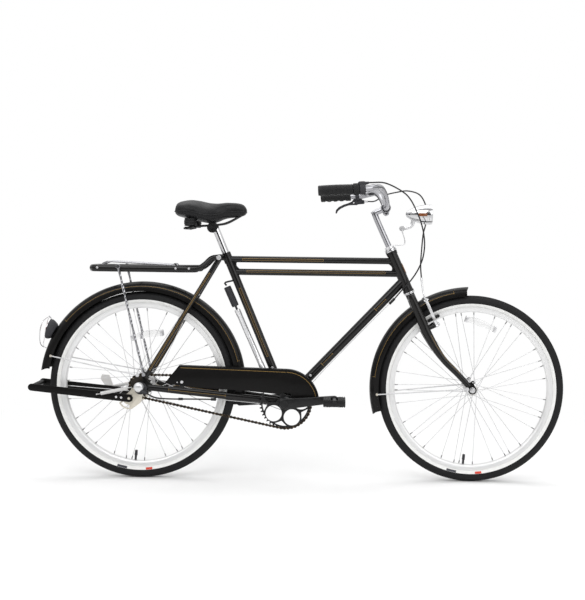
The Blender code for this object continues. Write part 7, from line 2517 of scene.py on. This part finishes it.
@dataclass
class HubFittings(Assembly):
    """The hub gear's click box, the coaster brake's arm and the stand's brackets."""

    def click_box(self) -> None:
        """The silver box on the axle's right end, with its cable nose and a black ring set off to its
        lower right as the box's painted shadow.
        """
        hub = REAR_HUB
        dome = [(0, 0), (0.0165, 0), (0.0165, 0.0105), (0.015, 0.015), (0.011, 0.0185), (0, 0.02)]
        frame = standing(at(*hub, -0.0795), -SIDEWAYS)
        shell = turned("shell", dome, frame, 52)
        nose = [at(0.004, 0.318, -0.0895), at(0.03, 0.305, -0.0895)]
        tip = bar("nose", *nose, 0.0065, 0.0048, sides=28, bevel=0.0008)
        self.dress(shell, SATIN, "bell_crank_box")
        # The black ring is centred off the axle, towards the box's lower right: it is the box's cast
        # shadow, painted as a dark plate.
        plate = slab("collar", arc((0.0055, 0.3215), 0.0212, 0, 352, 44), 0.004, side_on(-0.0752), 0.001)
        plate = bored(plate, hub, -0.06, -0.09, 0.011)
        self.fit("click_box_collar", [plate, tip], PLASTIC, "bell_crank_box")

    def coaster_arm(self) -> None:
        """The brake anchor along the left chainstay."""
        outline = arc(REAR_HUB, 0.013, 60, 300, 14)
        outline += [(0.05, 0.301), (0.15, 0.289), (0.156, 0.296), (0.15, 0.303), (0.05, 0.316)]
        arm = slab("coaster_arm_plate", outline, 0.003, side_on(0.0465), 0.0005)
        bored(arm, REAR_HUB, 0.03, 0.06, 0.0052)
        self.dress(arm, ZINC, "coaster_brake_arm")

    def bracket(self, side: Side) -> None:
        """The stand's zinc bracket, with its curved slot.

        Args:
            side: Which side it is on.
        """
        y, pivot = side.value, STAND_PIVOT
        outline = [(0.02, 0.3225), (0.006, 0.3385), (-0.01, 0.3345), (-0.038, 0.3065)]
        outline += arc(pivot, 0.016, 135, 192, 6) + arc(pivot, 0.0385, 205, 285, 10) + [(0.004, 0.2705)]
        frame = side_on(max(y * 0.0666, y * 0.0696))
        plate = slab("plate", outline, 0.003, frame, 0.0006)
        slot = arc(pivot, 0.0335, 212, 272, 9) + arc(pivot, 0.0225, 272, 212, 9)
        tool = slab("slot", slot, 0.02, side_on(y * 0.068 + 0.01))
        cut(plate, tool)
        bored(plate, REAR_HUB, y * 0.06, y * 0.075, 0.0052)
        parts = [
            plate,
            rod("pin", pivot, y * 0.0696, y * 0.0785, 0.0044, sides=28, bevel=0.0008),
            rod("anchor", (-0.024, 0.32), y * 0.069, y * 0.0825, 0.0024, sides=16, bevel=0.0004),
        ]
        self.fit(f"{side.word}_stand_bracket_plate", parts, ZINC, f"{side.word}_stand_bracket")

    def build(self) -> None:
        """Model the fittings."""
        self.click_box()
        self.coaster_arm()
        for side in Side:
            self.bracket(side)


@dataclass
class Stand(Assembly):
    """The double-legged stand with its rivets, kick tab and two pull springs."""

    body: str = "kickstand"

    def legs(self) -> None:
        """The two legs, the foot bar, the rivets and the kick tab."""
        start, end, half = STAND_PIVOT, (-0.373, 0.3202), 0.01325
        run = heading(start, end)
        lean = degrees(atan2(run.y, run.x))
        outline = arc(start, half, lean + 90, lean + 270, 12)
        outline += arc(end, half * 0.92, lean - 90, lean + 90, 10)
        parts, rivets = [], []
        for y in WAYS:
            leg = slab("leg", outline, 0.005, side_on(max(y * 0.07, y * 0.075)), 0.0012)
            parts.append(bored(leg, start, y * 0.065, y * 0.08, 0.0048))
            for near in (0.0268, 0.0444):
                spot = at(start[0] + run.x * near, start[1] + run.y * near)
                rivets.append(
                    stub("rivet", spot, SIDEWAYS, y * 0.0752, y * 0.0772, 0.0042, sides=20, bevel=0.0009)
                )
            hook = at(-0.145, 0.3)
            rivets.append(stub("hook", hook, SIDEWAYS, y * 0.0745, y * 0.0825, 0.0024, sides=16))
        parts.append(rod("foot", end, -0.0745, 0.0745, 0.009, bevel=0.001))
        self.fit("stand_legs", parts, DULL_ENAMEL, "stand")
        tab = [(-0.118, 0.3), (-0.146, 0.302), (-0.168, 0.334), (-0.162, 0.35), (-0.136, 0.348)]
        self.dress(slab("stand_kick_tab", tab, 0.006, side_on(0.0795), 0.0022, 3), PALE)
        self.fit("stand_rivets", rivets, SATIN)

    def spring(self, side: Side) -> None:
        """A pull spring with a hook at each end.

        Args:
            side: Which side it is on.
        """
        y = side.value * 0.0836
        start, end = at(-0.024, 0.326, y), at(-0.1445, 0.3, y)
        run = (end - start).normalized()
        frame = standing(start, run)
        route = [start, start + run * 0.014]
        length, curls = (end - start).length - 0.03, 34
        for step in range(curls * 10 + 1):
            turn = tau * step / 10
            height = 0.015 + length * step / (curls * 10)
            route.append(frame @ Vector((0.005 * cos(turn), 0.005 * sin(turn), height)))
        route += [end - run * 0.014, end]
        piece = swept(f"{side.word}_stand_coil", route, 0.0013, 3)
        piece.data.materials.append(PALE.material())
        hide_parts(f"{side.word}_stand_spring")
        pick(piece)
        bpy.ops.object.shade_smooth()
        tuple(end)
        tuple(start)
        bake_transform(piece)

    def build(self) -> None:
        """Model the stand."""
        self.legs()
        for side in Side:
            self.spring(side)


@dataclass
class Pump(Assembly):
    """The frame pump: its barrel on two pegs, and the sprung grip."""

    top: tuple = (0.2915, 0.673)
    bottom: tuple = (0.4253, 0.3775)

    def build(self) -> None:
        """Model the barrel and the grip."""
        start, end = at(*self.top), at(*self.bottom)
        run = (end - start).normalized()
        length = (end - start).length
        frame = standing(start, run)
        profile = [
            (0, 0.103), (0.0046, 0.103), (0.0046, 0.0873), (0.009, 0.0873), (0.0105, 0.0885),
            (0.0105, 0.11), (0.0098, 0.111),
        ]
        profile += [
            (0.0098, length - 0.03), (0.0105, length - 0.029), (0.0105, length - 0.0006), (0, length)
        ]
        self.dress(turned("pump_tube", profile, frame, 36), SATIN, "pump_barrel")
        grip = [(0, 0), (0.0105, 0.0), (0.0128, 0.002)]
        for rib in range(14):
            foot = 0.004 + 0.0046 * rib
            grip += [
                (0.012, foot), (0.013, foot + 0.0012), (0.013, foot + 0.0032), (0.012, foot + 0.0044)
            ]
        grip += [(0.0126, 0.072), (0.011, 0.075), (0.004, 0.075), (0.004, 0.087), (0, 0.087)]
        piece = turned("pump_grip", grip, frame, 36)
        self.dress(piece, PLASTIC, "pump_handle", body="pump_plunger")
        pegs = []
        for stop, way in ((start - run * 0.0045, -1), (end + run * 0.0035, 1)):
            bend = stop + run * way * 0.0115
            root = Vector(
                (at(seat_x(bend.z + 0.01), 0).x, 0, bend.z + 0.01 * (way < 0) - 0.004 * (way > 0))
            )
            pegs.append(swept("peg", flowing([stop, bend, root], 0.004), 0.0032, 5))
        self.fit("pump_pegs", pegs, BLACK_WIRE)


@dataclass
class Cables(Assembly):
    """The gear cable down to the hub and the brake cable down to the front brake."""

    thick: float = 0.005

    GEAR: ClassVar[tuple] = (
        (0.7808, 1.0322, -0.2525), (0.8337, 1.033, -0.225), (0.8924, 1.0106, -0.16),
        (0.9259, 0.984, -0.118), (0.9545, 0.9348, -0.086), (0.9697, 0.8977, -0.068),
        (0.979, 0.86, -0.054), (0.982, 0.822, -0.044), (0.9763, 0.78, -0.036), (0.96, 0.74, -0.031),
        (0.936, 0.703, -0.0275), (0.912, 0.676, -0.0235), (0.88, 0.6365, -0.008),
    )
    GEAR_LOW: ClassVar[tuple] = (
        (0.88, 0.6365, -0.008), (0.7756, 0.5301, -0.006), (0.6378, 0.3852, -0.008),
        (0.556, 0.292, -0.014), (0.534, 0.262, -0.018), (0.514, 0.247, -0.022), (0.488, 0.2465, -0.027),
        (0.43, 0.265, -0.0315), (0.33, 0.2765, -0.04), (0.265, 0.2815, -0.045), (0.18, 0.284, -0.059),
        (0.104, 0.286, -0.074), (0.06, 0.292, -0.09), (0.0305, 0.3047, -0.0895),
    )
    BRAKE: ClassVar[tuple] = (
        (0.79119, 0.99012, 0.26173), (0.818, 0.992, 0.264), (0.853, 1.012, 0.215), (0.895, 1.021, 0.15),
        (0.9316, 1.024, 0.108), (0.9697, 1.01, 0.07), (0.9905, 0.976, 0.056), (0.996, 0.935, 0.054),
        (0.9916, 0.8998, 0.043), (0.9828, 0.8668, 0.03), (0.9759, 0.8078, 0.008),
        (0.9715, 0.757, -0.015), (0.9735, 0.709, -0.04), (0.9765, 0.675, -0.06), (0.98, 0.656, -0.07),
        (0.9845, 0.643, -0.068), (0.9891, 0.63795, -0.0538),
    )

    @staticmethod
    def length(route: Sequence[Vector]) -> float:
        """How long a route is."""
        return sum((b - a).length for a, b in zip(route, route[1:]))

    def declare(self, piece: Piece, route: Sequence[Vector]) -> None:
        """Work out a cord's first point, its length and its points; none of them is kept.

        Args:
            piece: The cord; not used.
            route: Its middle line.
        """
        tuple(route[0])
        self.length(route)
        [tuple(p) for p in route]

    def gear(self) -> None:
        """The gear cable: an arc of casing down from the shifter, and its run to the hub."""
        route = flowing(spots(self.GEAR), 0.006)
        casing = swept("gear_cable_casing", route, self.thick / 2, 5)
        casing.data.materials.append(CABLE_SKIN.material())
        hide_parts("gear_cable")
        pick(casing)
        bpy.ops.object.shade_smooth()
        tuple(at(0.955, 0.93, -0.085))
        tuple(at(0.89, 0.648, -0.012))
        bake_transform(casing)
        self.declare(casing, route)
        low = flowing(spots(self.GEAR_LOW), 0.008)
        split = next(i for i, place in enumerate(low) if place.x < at(0.253, 0).x)
        wire = swept("gear_wire", low[: split + 1], 0.0012, 4)
        self.dress(wire, SPOKE_STEEL, "gear_cable")
        tail = swept("gear_cable_tail", low[split:], self.thick / 2, 5)
        self.dress(tail, CABLE_SKIN, "gear_cable")
        stops = [
            bar("stop", low[0] + Vector((0.002, 0, 0.002)), low[3], 0.0046, sides=28),
            bar("ferrule", at(0.263, 0.2816, -0.0452), at(0.245, 0.2824, -0.0478), 0.0048, sides=24),
            bar("clip", at(0.15, 0.2848, -0.0648), at(0.135, 0.2852, -0.0682), 0.0045, sides=24),
        ]
        self.fit("gear_cable_stops", stops, CABLE_SKIN)

    def brake(self) -> None:
        """The brake cable, with the silver guide pipe at its lower end."""
        route = flowing(spots(self.BRAKE), 0.006)
        split = next(i for i, place in enumerate(route) if place.z < 0.716)
        casing = swept("brake_cable_casing", route[: split + 1], self.thick / 2, 5)
        self.dress(casing, CABLE_SKIN, "brake_cable", body="steering")
        self.declare(casing, route[: split + 1])
        low = route[split:]
        radius = self.thick / 2 + 0.0004
        pipe = swept("brake_guide_pipe", low, radius, 6)
        ferrule = bar("ferrule", low[0], low[2], 0.004, sides=24, bevel=0.0006)
        self.fit("brake_guide_pipe", [pipe, ferrule], SATIN, "brake_cable", body="steering")

    def build(self) -> None:
        """Model both cables."""
        self.gear()
        self.brake()


@dataclass
class Studio:
    """The pale floor, the soft lights, the white surround and the photo's camera."""

    lens: float = 62.96
    spot: tuple = (0.1328, -3.7, 0.8357)
    roll: float = 0.744
    shift: tuple = (-0.0758, -0.0967)

    def camera(self) -> None:
        """Stand the camera where the photograph was taken from."""
        bpy.ops.object.camera_add()
        made = bpy.context.object
        made.name = "photo_camera"
        turn = radians(self.roll)
        right = Vector((cos(turn), 0, sin(turn)))
        up = Vector((-sin(turn), 0, cos(turn)))
        made.matrix_world = facing(self.spot, right, up, Vector((0, -1, 0)))
        made.data.lens = self.lens
        made.data.sensor_width = 36.0
        made.data.shift_x, made.data.shift_y = self.shift
        bpy.context.scene.camera = made

    def lamp(self, name: str, spot: tuple, aim: tuple, size: tuple, power: float) -> None:
        """A soft area light.

        Args:
            name: Its name.
            spot: Where it hangs.
            aim: What it points at.
            size: Its width and height.
            power: Its watts.
        """
        bpy.ops.object.light_add(type="AREA", location=spot)
        made = bpy.context.object
        made.name = name
        made.data.shape = "RECTANGLE"
        made.data.size, made.data.size_y = size
        made.data.energy = power
        made.rotation_euler = (Vector(aim) - Vector(spot)).to_track_quat("-Z", "Y").to_euler()

    def floor(self) -> None:
        """A pale floor that takes the shadow near the bicycle and fades into white."""
        bpy.ops.mesh.primitive_plane_add(size=14.0)
        made = bpy.context.object
        made.name = "floor"
        sheet = Sheet("studio_floor")
        shader = sheet.shader
        far = (sheet.x * sheet.x + sheet.y * sheet.y * 1.6).root()
        share = sheet.span(far, 1.0, 2.2, 0.0, 1.0)
        tree = sheet.material.node_tree
        glow = tree.nodes.new("ShaderNodeEmission")
        glow.inputs["Color"].default_value = (1.0, 1.0, 1.0, 1.0)
        glow.inputs["Strength"].default_value = 1.0
        blend = tree.nodes.new("ShaderNodeMixShader")
        cloud = sheet.noise(3.0)
        sheet.surface(
            base_color=sheet.mix(cloud, (0.84, 0.84, 0.84), (0.86, 0.86, 0.86)), roughness=0.75
        )
        sheet.feed(blend.inputs["Fac"], share)
        output = next(n for n in tree.nodes if n.bl_idname == "ShaderNodeOutputMaterial")
        tree.links.new(shader.outputs["BSDF"], blend.inputs[1])
        tree.links.new(glow.outputs["Emission"], blend.inputs[2])
        tree.links.new(blend.outputs["Shader"], output.inputs["Surface"])
        made.data.materials.append(sheet.material)

    def world(self) -> None:
        """White for the camera and reflections, and an even soft light for all else."""
        world = bpy.data.worlds.new("studio")
        bpy.context.scene.world = world
        world.use_nodes = True
        tree = world.node_tree
        tree.nodes.clear()
        kinds = ("LightPath", "TexCoord", "SeparateXYZ", "ValToRGB", "OutputWorld")
        rays, where, split, ramp, output = (tree.nodes.new(f"ShaderNode{kind}") for kind in kinds)
        plain, shiny, seen = (tree.nodes.new("ShaderNodeBackground") for _ in range(3))
        for glow, strength in ((plain, 0.72), (seen, 1.0), (shiny, 1.0)):
            glow.inputs["Color"].default_value = (1.0, 1.0, 1.0, 1.0)
            glow.inputs["Strength"].default_value = strength
        bands = (
            (0.0, 0.7), (0.3, 0.5), (0.44, 0.26), (0.5, 0.2), (0.56, 0.45), (0.64, 0.9), (0.82, 1.0),
            (1.0, 0.3),
        )
        ramp.color_ramp.elements[0].position = bands[0][0]
        ramp.color_ramp.elements[1].position = bands[-1][0]
        for place, _ in bands[1:-1]:
            ramp.color_ramp.elements.new(place)
        for element, (_, grey) in zip(ramp.color_ramp.elements, bands):
            element.color = (grey, grey, grey, 1.0)
        half = tree.nodes.new("ShaderNodeMath")
        half.operation = "MULTIPLY_ADD"
        half.inputs[1].default_value = 0.5
        half.inputs[2].default_value = 0.5
        dark = tree.nodes.new("ShaderNodeMapRange")
        dark.interpolation_type = "SMOOTHSTEP"
        spans = (("From Min", -0.98), ("From Max", -0.66), ("To Min", 0.16), ("To Max", 1.0))
        for socket, value in spans:
            dark.inputs[socket].default_value = value
        first, second = (tree.nodes.new("ShaderNodeMixShader") for _ in range(2))
        either = tree.nodes.new("ShaderNodeMath")
        either.operation = "MAXIMUM"
        links = (
            (where, "Generated", split, 0),
            (split, "Z", half, 0),
            (half, 0, ramp, "Fac"),
            (ramp, "Color", shiny, "Color"),
            (split, "Y", dark, "Value"),
            (dark, "Result", shiny, "Strength"),
            (rays, "Is Glossy Ray", first, "Fac"),
            (plain, 0, first, 1),
            (shiny, 0, first, 2),
            (rays, "Is Camera Ray", either, 0),
            (rays, "Is Transmission Ray", either, 1),
            (either, 0, second, "Fac"),
            (first, 0, second, 1),
            (seen, 0, second, 2),
            (second, 0, output, "Surface"),
        )
        for giver, result, taker, socket in links:
            tree.links.new(giver.outputs[result], taker.inputs[socket])

    def build(self) -> None:
        """Set up the studio."""
        self.floor()
        self.world()
        self.lamp("key_light", (-1.1, -2.6, 2.9), (0, 0, 0.45), (3.2, 2.4), 56.0)
        self.lamp("fill_light", (2.0, -2.4, 2.0), (0, 0, 0.5), (2.6, 2.6), 32.0)
        self.lamp("top_light", (0.0, 0.6, 3.2), (0, 0, 0.4), (4.0, 2.4), 55.0)
        self.camera()
        bpy.context.scene.view_settings.view_transform = "Standard"


def main() -> None:
    """Load the frame, dress it piece by piece, and set up the studio."""
    logging.basicConfig(level=logging.INFO, format="%(message)s")
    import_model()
    rear = {
        "end": "rear",
        "hub": REAR_HUB,
        "flange_radius": 0.038,
        "flange_y": 0.029,
        "barrel": 0.031,
        "shell_end": 0.038,
        "glass": (0.1748, 86.2, 10.4),
    }
    rear_guard = {
        "end": "rear",
        "hub": REAR_HUB,
        "radius": 0.362,
        "skirt": 0.328,
        "span": (-8.0, 173.0),
        "stay_turn": 163.0,
        "stay_foot": (-0.008, 0.366, 0.069),
        "gold": (14.6, 140.6),
    }
    assemblies = [
        Wheel("front_wheel"),
        Wheel("rear_wheel", **rear),
        Axles(),
        FrameTubes(),
        Fork(),
        Bars(),
        RimBrake(),
        Lamp(),
        Mudguard("steering"),
        Mudguard("frame", **rear_guard),
        Rack(),
        TailLamp(),
        ChainGuard(),
        Drive(),
        Chain(),
        HubFittings(),
        Stand(),
        Pump(),
        Seat(),
        Cables(),
    ]
    for assembly in assemblies:
        LOG.info("building %s", type(assembly).__name__)
        assembly.build()
    Studio().build()


if __name__ == "__main__":
    main()
